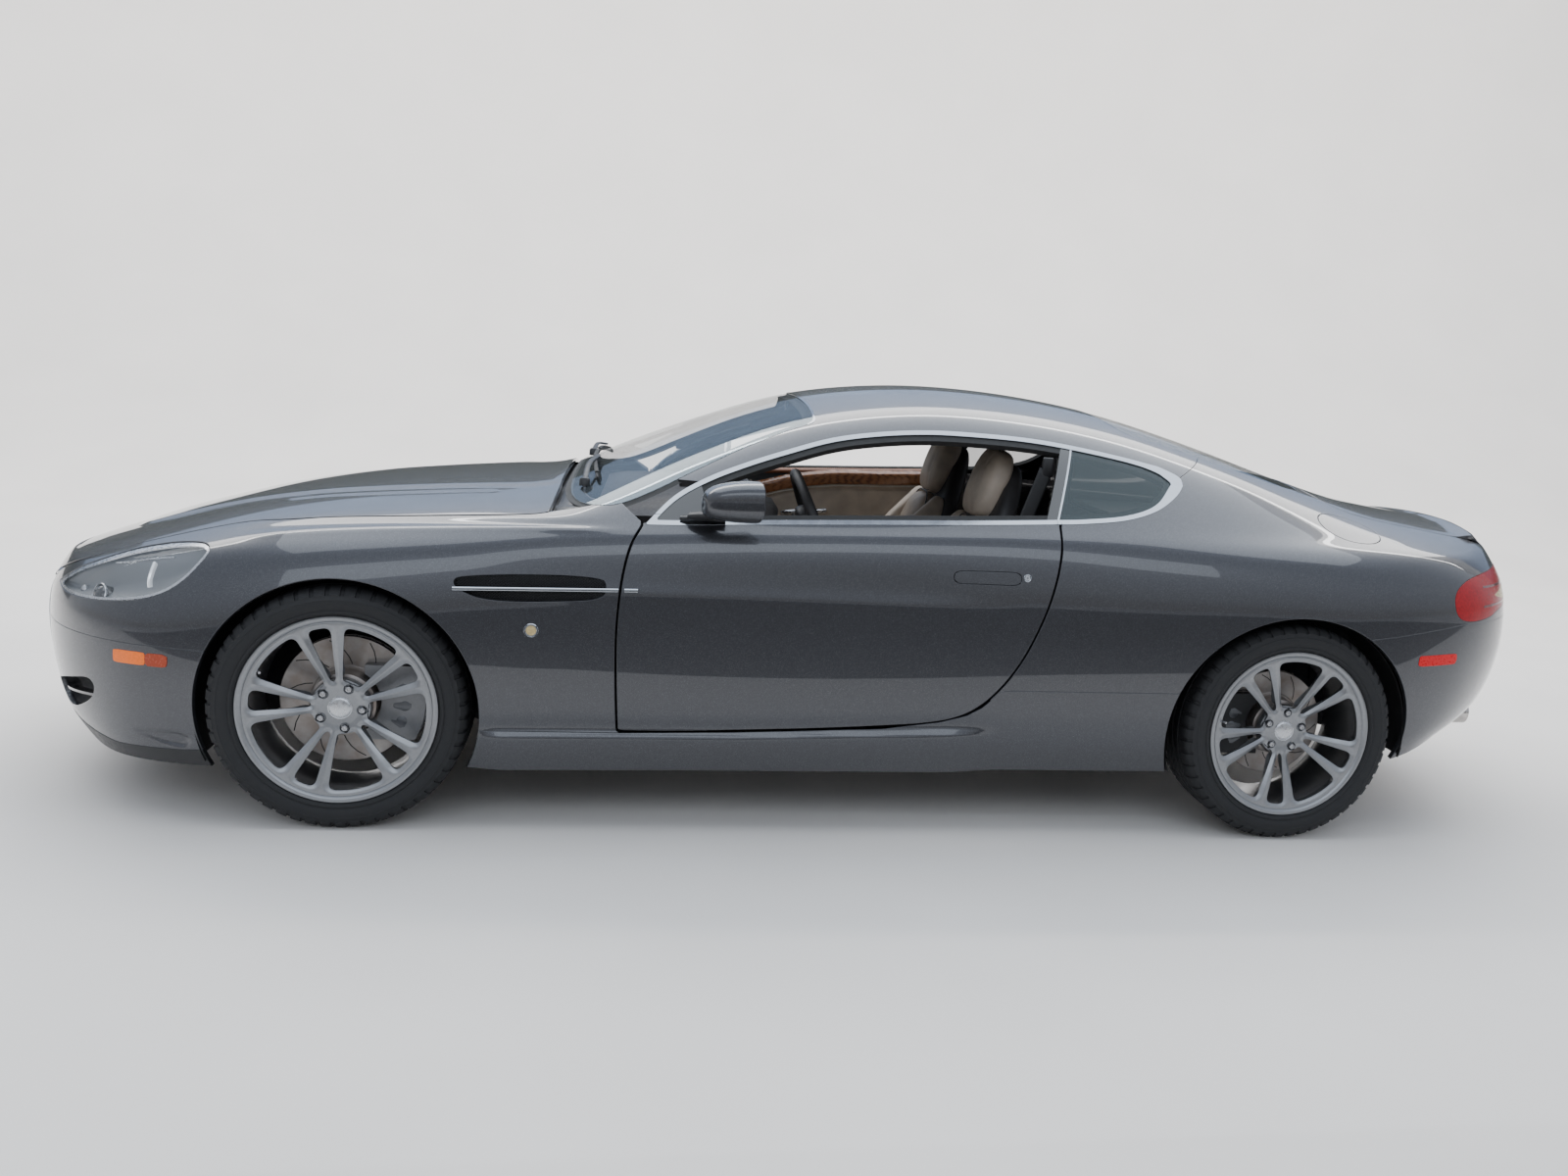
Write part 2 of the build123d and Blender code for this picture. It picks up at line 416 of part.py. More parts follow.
WHEELS = [  # name, axle x, hub z, track, tyre radius, width, rim half width, disc radius, y, thickness, first spoke angle
 ("front", 0.0, HUB_F_Z, TRACK_F, TYRE_F_R, TYRE_F_W, 112.0, DISC_F_R, DISC_F_Y, DISC_F_T, 30.7),
 ("rear", WHEELBASE, HUB_R_Z, TRACK_R, TYRE_R_R, TYRE_R_W, 130.0, DISC_R_R, DISC_R_Y, DISC_R_T, 49.5),
]
for name, x, z, track, tr, tw, hw, dr, dy, dt, ang in WHEELS:
    yc, o = -track / 2, tw / 2
    tyre = ring_of([(RIM_R + 2, yc - hw + 8.5), (RIM_R + 16.5, yc - hw + 8.5), (RIM_R + 18, yc - o + 5), (RIM_R + 45, yc - o), (tr - 26, yc - o + 5),
                    (tr - 7, yc - o + 20), (tr, yc - o + 44), (tr, yc + o - 44), (tr - 7, yc + o - 20),
                    (tr - 26, yc + o - 5), (RIM_R + 45, yc + o), (RIM_R + 18, yc + o - 5), (RIM_R + 16.5, yc + hw - 8.5), (RIM_R + 2, yc + hw - 8.5)], x, z)
    rim = ring_of([(RIM_R + 16, yc - hw), (RIM_R + 16, yc - hw + 7), (RIM_R + 1.5, yc - hw + 8), (RIM_R - 2, yc - hw + 30),
                   (RIM_R - 11, yc - hw + 60), (RIM_R - 11, yc + hw - 50), (RIM_R + 1.5, yc + hw - 30), (RIM_R + 1.5, yc + hw - 8),
                   (RIM_R + 16, yc + hw - 7), (RIM_R + 16, yc + hw), (RIM_R - 8, yc + hw - 4), (RIM_R - 19, yc + hw - 50),
                   (RIM_R - 19, yc - hw + 64), (RIM_R - 16, yc - hw + 30), (RIM_R - 4, yc - hw + 4)], x, z)
    ym = yc - 46                                                     # mounting face
    hub = cyl_y(x, z, 84, ym - 26, ym) + cyl_y(x, z, 36, ym - 32, ym - 26)
    for k in range(5):
        for dd in (-12.5, 12.5):
            a = math.radians(ang + 72 * k + dd)
            b = math.radians(ang + 72 * k + dd * 0.55)
            p0 = Vector(x + 60 * math.cos(b), 0, z + 60 * math.sin(b))
            p1 = Vector(x + (RIM_R - 9) * math.cos(a), 0, z + (RIM_R - 9) * math.sin(a))
            t = (p1 - p0).normalized().cross(Vector(0, 1, 0))
            w0, w1 = 13, 19
            q = [p0 + t * w0, p1 + t * w1, p1 - t * w1, p0 - t * w0]
            sp = prism_xz([(v.X, v.Z) for v in q], yc - hw + 6, ym + 4 - 12)
            hub = hub + sp
    keep = ring_of([(0, yc - hw + 40), (RIM_R - 6, yc - hw + 6), (RIM_R - 6, yc - hw + 34), (120, ym - 8), (84, ym), (0, ym)], x, z)
    spokes = hub & keep
    rim = rim + spokes - cyl_y(x, z, BORE_R, yc - hw - 20 + 40, yc + 200)
    disc = ring_of([(dr, dy - dt / 2), (dr, dy + dt / 2), (88, dy + dt / 2), (80, dy + dt / 2), (80, ym + 7), (BORE_R, ym + 7),
                    (BORE_R, ym), (86, ym), (86, dy - dt / 2)], x, z)
    rim = max(rim.solids(), key=lambda q: q.volume)
    for side in ("left", "right"):
        f = (lambda q: q) if side == "left" else mirror_y
        put(f"tyre_{name}_{side}", f(tyre))
        put(f"rim_{name}_{side}", f(rim))
        put(f"disc_{name}_{side}", f(disc))

# ---- cabin
dash = prism_xz([(620, 560), (700, 860), (780, 905), (920, 928), (1080, 932), (1160, 915), (1188, 870), (1180, 800), (1120, 700), (1040, 620), (900, 560)], -700, 700)
put("dashboard", (dash & body(60, 470, 1200)) - box(860, 1200, -660, -110, 500, 690))
console = prism_xz([(880, 442), (880, 600), (1060, 660), (1200, 600), (1700, 590), (1760, 442)], -115, 115)
put("centre_console", console - PARTS["dashboard"])
def seat(x, y, w, z0, reach, back_x, back_z, lean, t):
    """cushion, leaning back and head restraint as one upholstered solid"""
    h = w / 2
    c = fillet(box(x, x + reach, y - h, y + h, z0, z0 + 150).edges().filter_by(Axis.Y), 40)
    dx = math.tan(math.radians(lean)) * (back_z - z0 - 60)
    b = prism_xz([(back_x, z0 + 60), (back_x + dx, back_z), (back_x + dx + t, back_z - 12), (back_x + t + 16, z0 + 20)], y - h + 8, y + h - 8)
    return c + b, back_x + dx
fsolid = []
for s in (-1, 1):
    st, hx = seat(1200, s * 392, 462, 230, 520, 1590, 1000, 18, 110)
    hr = Pos(hx + 62, s * 392, 1052) * Rot(0, 12, 0) * Box(96, 270, 150)
    st = st + fillet(hr.edges().filter_by(Axis.Y), 30) + box(1230, 1680, s * 392 - 190, s * 392 + 190, 200, 232)
    fsolid.append(st)
put("front_seats", *fsolid)
rsolid = []
for s in (-1, 1):
    st, hx = seat(1960, s * 350, 372, 300, 330, 2230, 880, 14, 60)
    rsolid.append(Compound(solids(st)) & box(1900, 2398, -560, 560, 200, 1000))
put("rear_seats", *rsolid)
put("parcel_shelf", box(2425, 2900, -540, 540, 868, 884))

# steering wheel on its column
SW_C, SW_TILT = (1300.0, -385.0, 836.0), 22.0
pl = Plane(origin=Vector(*SW_C), z_dir=Vector(math.cos(math.radians(SW_TILT)), 0, math.sin(math.radians(SW_TILT))))
swz = Pos(0, 0, -11) * Cylinder(62, 46) + Pos(0, 0, -112) * Cylinder(16, 175) + Torus(176, 16)
for a in (0, 180, 270):
    swz = swz + Rot(0, 0, a) * Pos(100, 0, 0) * Box(140, 26, 14)
sw = pl.location * swz
put("steering_wheel", sw)
bore = Solid.make_cylinder(22, 260, Plane(origin=pl.origin - pl.z_dir * 240, z_dir=pl.z_dir))
PARTS["dashboard"] = max((PARTS["dashboard"] - bore).solids(), key=lambda q: q.volume)

# wipers lie on the lower edge of the glass
wip = []
for y0, y1 in ((-430, 120), (60, 560)):
    w = rod((590, y0, 1003 - abs(y0) * 0.16), (640, y1, 1030 - abs(y1) * 0.16), 7)
    wip.append(w)
put("wipers", *[w - OUT for w in wip])

# rear plate: flat recess with two fixing holes; towing eye socket; jacking pads under the sills
PLATE_X, PLATE_Z, PLATE_PITCH, PLATE_HOLE_R = 3708.0, 566.0, 177.8, 3.0
rbp = PARTS["rear_bumper"] - box(PLATE_X, 3900, -165, 165, 430, 592)
for s in (-1, 1):
    rbp = rbp - cyl_x(s * PLATE_PITCH / 2, PLATE_Z, PLATE_HOLE_R, PLATE_X - 25, PLATE_X + 5)
PARTS["rear_bumper"] = max(rbp.solids(), key=lambda q: q.volume)
TOW_Y, TOW_Z, TOW_R, TOW_X = 430.0, 262.0, 8.0, -772.0
fbp = PARTS["front_bumper"] + (cyl_x(TOW_Y, TOW_Z, 22, TOW_X - 75, TOW_X + 70) & OUT) - cyl_x(TOW_Y, TOW_Z, 16, -1000, TOW_X)
fbp = fbp - cyl_x(TOW_Y, TOW_Z, TOW_R, TOW_X - 1, TOW_X + 45)
PARTS["front_bumper"] = max(fbp.solids(), key=lambda q: q.volume)
PAD_Z, PAD_XS, PAD_Y = 164.0, (520.0, 2230.0), 800.0
pads = []
for sol in PARTS["sills"].solids():
    sy = 1 if sol.center().Y > 0 else -1
    for px in PAD_XS:
        sol = sol + box(px - 35, px + 35, sy * PAD_Y - 28, sy * PAD_Y + 28, PAD_Z, 215)
    pads.append(max(sol.solids(), key=lambda q: q.volume))
PARTS["sills"] = Compound(pads)

for name, shape in PARTS.items():
    s = shape.moved(Location((-ORIGIN_X, 0, 0)))
    export_step(s, f"parts/{name}.step")
print(len(PARTS), "pieces")
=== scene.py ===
"""Looks of the coupe: painted skin, glass, lamps, wheels, cabin and underside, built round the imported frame.
Lengths in this script are millimetres with X measured rearward from the front axle, as P() turns into the row frame."""
import math, json
import bpy, bmesh
import numpy as np
from mathutils import Vector, Matrix

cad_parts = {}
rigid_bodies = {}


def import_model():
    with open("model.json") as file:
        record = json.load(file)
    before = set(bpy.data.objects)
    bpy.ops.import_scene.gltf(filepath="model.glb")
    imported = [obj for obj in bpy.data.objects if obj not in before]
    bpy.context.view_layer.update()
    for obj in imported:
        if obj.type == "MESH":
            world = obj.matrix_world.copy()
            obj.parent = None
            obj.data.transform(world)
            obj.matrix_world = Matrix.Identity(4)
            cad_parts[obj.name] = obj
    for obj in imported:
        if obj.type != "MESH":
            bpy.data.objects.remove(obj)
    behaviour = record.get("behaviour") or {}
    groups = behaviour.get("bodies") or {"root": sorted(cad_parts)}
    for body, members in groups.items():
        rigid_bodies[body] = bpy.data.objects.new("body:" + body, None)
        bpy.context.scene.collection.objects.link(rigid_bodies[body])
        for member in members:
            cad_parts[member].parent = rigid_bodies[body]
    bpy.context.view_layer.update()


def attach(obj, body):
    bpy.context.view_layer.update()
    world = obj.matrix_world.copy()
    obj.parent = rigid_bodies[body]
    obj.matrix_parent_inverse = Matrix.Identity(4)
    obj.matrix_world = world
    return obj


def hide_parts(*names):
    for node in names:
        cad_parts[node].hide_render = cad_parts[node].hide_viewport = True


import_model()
OX = 1419.0
HUB_F, HUB_R, WB = 330.0, 332.0, 2740.0
RNG = np.random.RandomState(7)
COL = bpy.context.scene.collection


def P(a):
    """hub frame millimetres -> row frame metres"""
    a = np.asarray(a, float).reshape(-1, 3).copy()
    a[:, 0] -= OX
    return a / 1000.0


# ------------------------------------------------------------------ mesh helpers
def mk(name, verts, faces, mat, body="root", slot=None, smooth=True, raw=False, angle=None, mats=None, fmat=None, norms=None):
    """mesh object from millimetre points"""
    me = bpy.data.meshes.new(name)
    v = verts if raw else P(verts)
    me.from_pydata([tuple(p) for p in v], [], [tuple(int(i) for i in f) for f in faces])
    me.validate(clean_customdata=False)
    me.update()
    ob = bpy.data.objects.new(name, me)
    COL.objects.link(ob)
    for m in (mats or [mat]):
        me.materials.append(m)
    if fmat is not None and len(fmat) == len(me.polygons):
        me.polygons.foreach_set("material_index", np.asarray(fmat, np.int32))
    if smooth:
        me.polygons.foreach_set("use_smooth", [True] * len(me.polygons))
    if angle is not None:
        sharp_by_angle(me, angle)
    if norms is not None and len(norms) == len(me.vertices):
        me.normals_split_custom_set_from_vertices([tuple(float(c) for c in n) for n in norms])
    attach(ob, body)
    return ob


def sharp_by_angle(me, deg):
    bm = bmesh.new(); bm.from_mesh(me)
    lim = math.radians(deg)
    for e in bm.edges:
        if len(e.link_faces) == 2 and e.calc_face_angle(0) > lim:
            e.smooth = False
    bm.to_mesh(me); bm.free()


class Mesh:
    """growing list of points and faces"""
    def __init__(self):
        self.v = []; self.f = []; self.m = []; self.n = 0
    def add(self, v, f, m=0):
        v = np.asarray(v, float).reshape(-1, 3)
        self.v.append(v)
        self.f += [tuple(int(i) + self.n for i in q) for q in f]
        self.m += [m] * len(f)
        self.n += len(v)
        return self
    def obj(self, name, mat, body="root", slot=None, **k):
        return mk(name, np.concatenate(self.v), self.f, mat, body, slot, fmat=self.m if k.get("mats") else None, **k)


def grid_faces(nu, nv, wrap_u=False, wrap_v=False, flip=False):
    f = []
    for i in range(nu if wrap_u else nu - 1):
        for j in range(nv if wrap_v else nv - 1):
            a, b = i * nv + j, ((i + 1) % nu) * nv + j
            c, d = ((i + 1) % nu) * nv + (j + 1) % nv, i * nv + (j + 1) % nv
            f.append((a, d, c, b) if flip else (a, b, c, d))
    return f


def spin(profile, n, centre, axis="y", closed=True, a0=0.0, a1=2 * math.pi, flip=False):
    """profile of (radius, along) turned about an axis through centre; returns points, faces"""
    pr = np.asarray(profile, float)
    full = abs(a1 - a0 - 2 * math.pi) < 1e-6
    th = np.linspace(a0, a1, n, endpoint=not full)
    c, s = np.cos(th)[:, None], np.sin(th)[:, None]
    R, A = pr[None, :, 0], pr[None, :, 1] + 0 * c
    if axis == "y":
        v = np.stack([R * c, A, R * s], -1)
    elif axis == "x":
        v = np.stack([A, R * c, R * s], -1)
    else:
        v = np.stack([R * c, R * s, A], -1)
    v = v.reshape(-1, 3) + np.asarray(centre, float)
    return v, grid_faces(n, len(pr), wrap_u=full, wrap_v=closed, flip=flip)


def catmull(pts, n=8, closed=False):
    """smooth curve through the points"""
    p = np.asarray(pts, float)
    if closed:
        q = np.vstack([p[-1], p, p[0], p[1]])
    else:
        q = np.vstack([2 * p[0] - p[1], p, 2 * p[-1] - p[-2]])
    out = []
    m = len(q) - 3
    for i in range(m):
        a, b, c, d = q[i:i + 4]
        for t in np.linspace(0, 1, n, endpoint=False):
            out.append(0.5 * ((2 * b) + (-a + c) * t + (2 * a - 5 * b + 4 * c - d) * t * t + (-a + 3 * b - 3 * c + d) * t ** 3))
    if not closed:
        out.append(p[-1])
    return np.array(out)


def tube(path, r, n=10, closed=False, cap=True, up=None):
    """round tube along points; r a number, a list, or (wide, high)"""
    p = np.asarray(path, float); m = len(p)
    t = np.gradient(p, axis=0) if not closed else (np.roll(p, -1, 0) - np.roll(p, 1, 0))
    t /= np.linalg.norm(t, axis=1)[:, None] + 1e-9
    u = np.array(up if up is not None else (0, 0, 1.0), float)
    V = []
    for i in range(m):
        a = np.cross(t[i], u)
        if np.linalg.norm(a) < 1e-3: a = np.cross(t[i], [0, 1.0, 0.01])
        a /= np.linalg.norm(a); b = np.cross(a, t[i])
        if up is None: u = b
        rr = r[i] if isinstance(r, (list, np.ndarray)) and np.ndim(r[i]) == 0 else r
        ra, rb = (rr, rr) if np.ndim(rr) == 0 else rr
        th = np.linspace(0, 2 * math.pi, n, endpoint=False)
        V.append(p[i] + np.cos(th)[:, None] * a * ra + np.sin(th)[:, None] * b * rb)
    V = np.concatenate(V)
    F = grid_faces(m, n, wrap_u=closed, wrap_v=True)
    if cap and not closed:
        F.append(tuple(range(n))); F.append(tuple(range((m - 1) * n, m * n))[::-1])
    return V, F


def rbox(c, s, r=4, seg=3, rot=None):
    """box with rounded edges as points and faces"""
    bm = bmesh.new()
    bmesh.ops.create_cube(bm, size=1.0)
    for v in bm.verts:
        v.co = Vector((v.co.x * s[0], v.co.y * s[1], v.co.z * s[2]))
    if r > 0:
        bmesh.ops.bevel(bm, geom=list(bm.edges), offset=min(r, min(s) * 0.49), segments=seg, profile=0.5, affect="EDGES")
    V = np.array([v.co for v in bm.verts]); F = [tuple(v.index for v in f.verts) for f in bm.faces]
    bm.free()
    if rot is not None:
        V = V @ np.array(Matrix.Rotation(math.radians(rot[1]), 3, rot[0])).T
    return V + np.asarray(c, float), F


def mirror(v):
    v = np.asarray(v, float).copy(); v[:, 1] *= -1
    return v


def flipf(f):
    return [tuple(reversed(q)) for q in f]


# ------------------------------------------------------------------ outline distance
def sdf(poly, x, y):
    """signed distance to a closed outline, positive inside"""
    p = np.asarray(poly, float); q = np.roll(p, -1, 0)
    x = np.asarray(x, float); y = np.asarray(y, float)
    d = np.full(x.shape, 1e18); ins = np.zeros(x.shape, bool)
    for (ax, ay), (bx, by) in zip(p, q):
        ex, ey = bx - ax, by - ay
        wx, wy = x - ax, y - ay
        t = np.clip((wx * ex + wy * ey) / (ex * ex + ey * ey + 1e-12), 0, 1)
        d = np.minimum(d, (wx - ex * t) ** 2 + (wy - ey * t) ** 2)
        c = ((ay > y) != (by > y))
        with np.errstate(divide="ignore", invalid="ignore"):
            xi = (bx - ax) * (y - ay) / ((by - ay) if abs(by - ay) > 1e-12 else 1e-12) + ax
        ins ^= c & (x < xi)
    d = np.sqrt(d)
    return np.where(ins, d, -d)


def smooth_poly(pts, corners=(), n=7):
    """closed outline, smooth except at the listed corner indices"""
    p = np.asarray(pts, float); m = len(p)
    if not corners:
        return catmull(p, n, closed=True)
    out = []; c = sorted(corners)
    for a, b in zip(c, c[1:] + [c[0] + m]):
        seg = np.array([p[i % m] for i in range(a, b + 1)])
        out.append(catmull(seg, n)[:-1] if len(seg) > 2 else seg[:1])
    return np.concatenate(out)


# ------------------------------------------------------------------ clipping
def clip(V, F, f, thr=0.0):
    """keep the part of the mesh where f >= thr; V rows carry position and extra columns"""
    g = f - thr
    ins = g >= 0
    V2 = [V]; n = len(V); cut = {}; add = []
    out = []
    def cutv(a, b):
        nonlocal n
        k = (a, b) if a < b else (b, a)
        if k not in cut:
            t = g[k[0]] / (g[k[0]] - g[k[1]])
            add.append(V[k[0]] * (1 - t) + V[k[1]] * t)
            cut[k] = n; n += 1
        return cut[k]
    for q in F:
        s = [ins[i] for i in q]
        if all(s):
            out.append(q); continue
        if not any(s):
            continue
        r = []
        m = len(q)
        for i in range(m):
            a, b = q[i], q[(i + 1) % m]
            if ins[a]: r.append(a)
            if ins[a] != ins[b]: r.append(cutv(a, b))
        if len(r) > 2: out.append(tuple(r))
    if add: V2.append(np.array(add))
    V = np.concatenate(V2)
    used = np.zeros(len(V), bool)
    for q in out:
        for i in q: used[i] = True
    idx = np.cumsum(used) - 1
    return V[used], [tuple(int(idx[i]) for i in q) for q in out]


def weld(V, F, d=0.9, free=None):
    """merge short boundary edges"""
    E = {}
    for q in F:
        for a, b in zip(q, q[1:] + q[:1]):
            E[(a, b)] = E.get((a, b), 0) + 1
    bnd = [(a, b) for (a, b) in E if (b, a) not in E]
    par = list(range(len(V)))
    def root(i):
        while par[i] != i:
            par[i] = par[par[i]]; i = par[i]
        return i
    for a, b in bnd:
        if np.linalg.norm(V[a, :3] - V[b, :3]) < d:
            ra, rb = root(a), root(b)
            if ra != rb: par[rb] = ra
    out = []
    for q in F:
        r = []
        for i in q:
            j = root(i)
            if not r or r[-1] != j: r.append(j)
        if len(r) > 1 and r[0] == r[-1]: r.pop()
        if len(r) > 2: out.append(tuple(r))
    used = np.zeros(len(V), bool)
    for q in out:
        for i in q: used[i] = True
    idx = np.cumsum(used) - 1
    return V[used], [tuple(int(idx[i]) for i in q) for q in out]


def boundary(V, F):
    E = {}
    for q in F:
        for a, b in zip(q, q[1:] + q[:1]):
            E[(a, b)] = 1
    return [(a, b) for (a, b) in E if (b, a) not in E]


def rim_rings(V, F, rings, skip=None, cols=3):
    """grow rings from the free edge: each (out, down) in mm; V[:, cols:cols+3] is the outward normal"""
    bnd = boundary(V, F)
    if skip is not None:
        bnd = [(a, b) for a, b in bnd if not (skip(V[a]) and skip(V[b]))]
    T = {}
    for a, b in bnd:
        e = V[b, :3] - V[a, :3]; l = np.linalg.norm(e)
        if l < 1e-6: continue
        n = V[a, cols:cols + 3] + V[b, cols:cols + 3]
        t = np.cross(e / l, n); t /= np.linalg.norm(t) + 1e-9
        for i in (a, b): T.setdefault(i, []).append(t)
    ids = sorted(T)
    tv = np.zeros((len(ids), 3)); nv = np.zeros((len(ids), 3)); p = np.zeros((len(ids), V.shape[1]))
    for k, i in enumerate(ids):
        ts = np.array(T[i]); t = ts.sum(0); l = np.linalg.norm(t)
        t = t / l if l > 1e-6 else ts[0]
        c = max(0.6, float(ts[0] @ t))
        n = V[i, cols:cols + 3]; n = n / (np.linalg.norm(n) + 1e-9)
        tv[k] = t / c; nv[k] = n; p[k] = V[i]
    pos = {i: k for k, i in enumerate(ids)}
    base = len(V); Vs = [V]; F = list(F); lo, ld = 0.0, 0.0
    for r, (o, dn) in enumerate(rings):
        q = p.copy(); q[:, :3] = p[:, :3] + tv * o - nv * dn
        no, nd_ = rings[r + 1] if r + 1 < len(rings) else (o, dn + 1.0)
        ax, ay = no - lo, nd_ - ld                       # run of the path round this ring
        l = math.hypot(ax, ay) or 1.0
        q[:, cols:cols + 3] = nv * (ax / l) + tv * (ay / l)
        lo, ld = o, dn
        Vs.append(q)
        for a, b in bnd:
            if a not in pos or b not in pos: continue
            a1, b1 = base + r * len(ids) + pos[a], base + r * len(ids) + pos[b]
            a0, b0 = (a, b) if r == 0 else (base + (r - 1) * len(ids) + pos[a], base + (r - 1) * len(ids) + pos[b])
            F.append((b0, a0, a1, b1))
    return np.concatenate(Vs), F


def renormal(V, F):
    """area weighted normals from the faces, kept on the side of the old ones"""
    n = np.zeros((len(V), 3)); p = V[:, :3]
    tri = []
    for q in F:
        for i in range(1, len(q) - 1): tri.append((q[0], q[i], q[i + 1]))
    t = np.array(tri); c = np.cross(p[t[:, 1]] - p[t[:, 0]], p[t[:, 2]] - p[t[:, 0]])
    for k in range(3): np.add.at(n, t[:, k], c)
    mid = np.abs(p[:, 1]) < 0.5
    n[mid, 1] = 0
    l = np.linalg.norm(n, axis=1, keepdims=True); n = n / np.maximum(l, 1e-9)
    s = np.sign((n * V[:, 3:6]).sum(1)); n *= np.where(s == 0, 1, s)[:, None]
    V[:, 3:6] = n
    return V


EDGE = [(0.75, 0.25), (1.6, 1.0), (2.2, 2.4), (2.3, 14.0)]      # rounded lip and flange of a pressed panel
LIP = 2.3

# ------------------------------------------------------------------ body skin
# columns nose to tail; nine (y, z) rows each: sill, rocker, waist, upper, shoulder, deck, rail, crown, centre
NOSE = [
 [(-850,0,172),(-905,0,250),(-936,0,420),(-930,0,560),(-898,0,640),(-898,0,640),(-898,0,640),(-898,0,640),(-898,0,640)],
 [(-812,350,168),(-860,362,250),(-890,372,420),(-884,370,560),(-848,350,638),(-850,270,648),(-852,185,655),(-853,95,659),(-854,0,660)],
 [(-705,590,162),(-740,618,250),(-762,632,430),(-752,628,562),(-716,585,650),(-722,460,680),(-726,318,695),(-728,160,703),(-729,0,706)],
]
BODYC = [
 (-560,(760,160),(795,250),(808,430),(792,572),(728,682),(590,722),(410,746),(205,758),(0,762)),
 (-370,(845,164),(866,255),(878,450),(862,606),(802,720),(680,768),(500,798),(250,812),(0,816)),
 (-150,(868,168),(896,262),(910,490),(896,652),(846,756),(738,810),(545,842),(272,856),(0,860)),
 ( 100,(872,172),(904,272),(922,530),(906,690),(862,784),(765,836),(575,870),(288,888),(0,893)),
 ( 350,(866,176),(900,282),(918,545),(905,712),(868,804),(795,852),(630,890),(315,912),(0,918)),
 ( 470,(862,178),(898,286),(914,550),(903,720),(870,814),(812,858),(700,888),(345,922),(0,930)),
 ( 560,(860,179),(896,288),(912,552),(902,724),(871,820),(824,862),(738,893),(380,945),(0,963)),
 ( 700,(858,180),(895,291),(910,554),(902,730),(873,828),(835,868),(738,930),(410,1006),(0,1028)),
 ( 900,(856,183),(894,294),(908,556),(902,736),(876,836),(844,876),(705,1010),(405,1090),(0,1113)),
 (1200,(856,186),(894,297),(908,558),(903,744),(880,848),(848,890),(650,1118),(390,1196),(0,1222)),
 (1550,(858,190),(896,300),(912,560),(907,752),(884,862),(850,906),(612,1180),(370,1256),(0,1280)),
 (1900,(862,195),(900,303),(920,562),(915,758),(890,872),(850,922),(598,1184),(360,1260),(0,1284)),
 (2250,(868,200),(906,306),(930,565),(924,765),(893,872),(832,938),(588,1150),(350,1222),(0,1244)),
 (2600,(872,205),(910,312),(937,570),(930,775),(892,872),(800,938),(575,1082),(340,1142),(0,1160)),
 (2900,(866,215),(906,325),(934,580),(922,785),(874,875),(760,932),(560,1012),(330,1058),(0,1072)),
 (3150,(836,250),(876,345),(902,590),(888,792),(830,874),(712,924),(535,966),(310,998),(0,1010)),
]
TAIL = [
 [(3335,738,300),(3358,790,380),(3378,825,600),(3375,806,795),(3350,744,870),(3352,640,908),(3355,480,942),(3358,270,966),(3358,0,976)],
 [(3475,600,320),(3522,650,400),(3552,690,600),(3545,660,790),(3512,604,868),(3518,504,907),(3524,362,933),(3530,200,948),(3532,0,955)],
 [(3600,360,330),(3662,400,410),(3698,425,600),(3680,410,785),(3634,390,888),(3634,300,915),(3634,200,928),(3634,110,934),(3634,0,936)],
 [(3650,0,335),(3730,0,420),(3772,0,600),(3748,0,780),(3686,0,914),(3686,0,914),(3686,0,914),(3686,0,914),(3686,0,914)],
]
NET = np.array(NOSE + [[(c[0], p[0], p[1]) for p in c[1:]] for c in BODYC] + TAIL, float)


def slopes(t, Q):
    m = np.zeros_like(Q); d = (Q[1:] - Q[:-1]) / (t[1:] - t[:-1])[:, None]; h = t[1:] - t[:-1]
    m[1:-1] = (d[:-1] * h[1:, None] + d[1:] * h[:-1, None]) / (h[1:] + h[:-1])[:, None]
    m[0] = 1.5 * d[0] - 0.5 * m[1]; m[-1] = 1.5 * d[-1] - 0.5 * m[-2]
    return m


def herm(t, Q, m, u):
    i = np.clip(np.searchsorted(t, u, side="right") - 1, 0, len(t) - 2)
    h = (t[i + 1] - t[i]); s = ((u - t[i]) / h)[:, None]; h = h[:, None]
    return (1 + 2 * s) * (1 - s) ** 2 * Q[i] + s * (1 - s) ** 2 * h * m[i] + s * s * (3 - 2 * s) * Q[i + 1] + s * s * (s - 1) * h * m[i + 1]


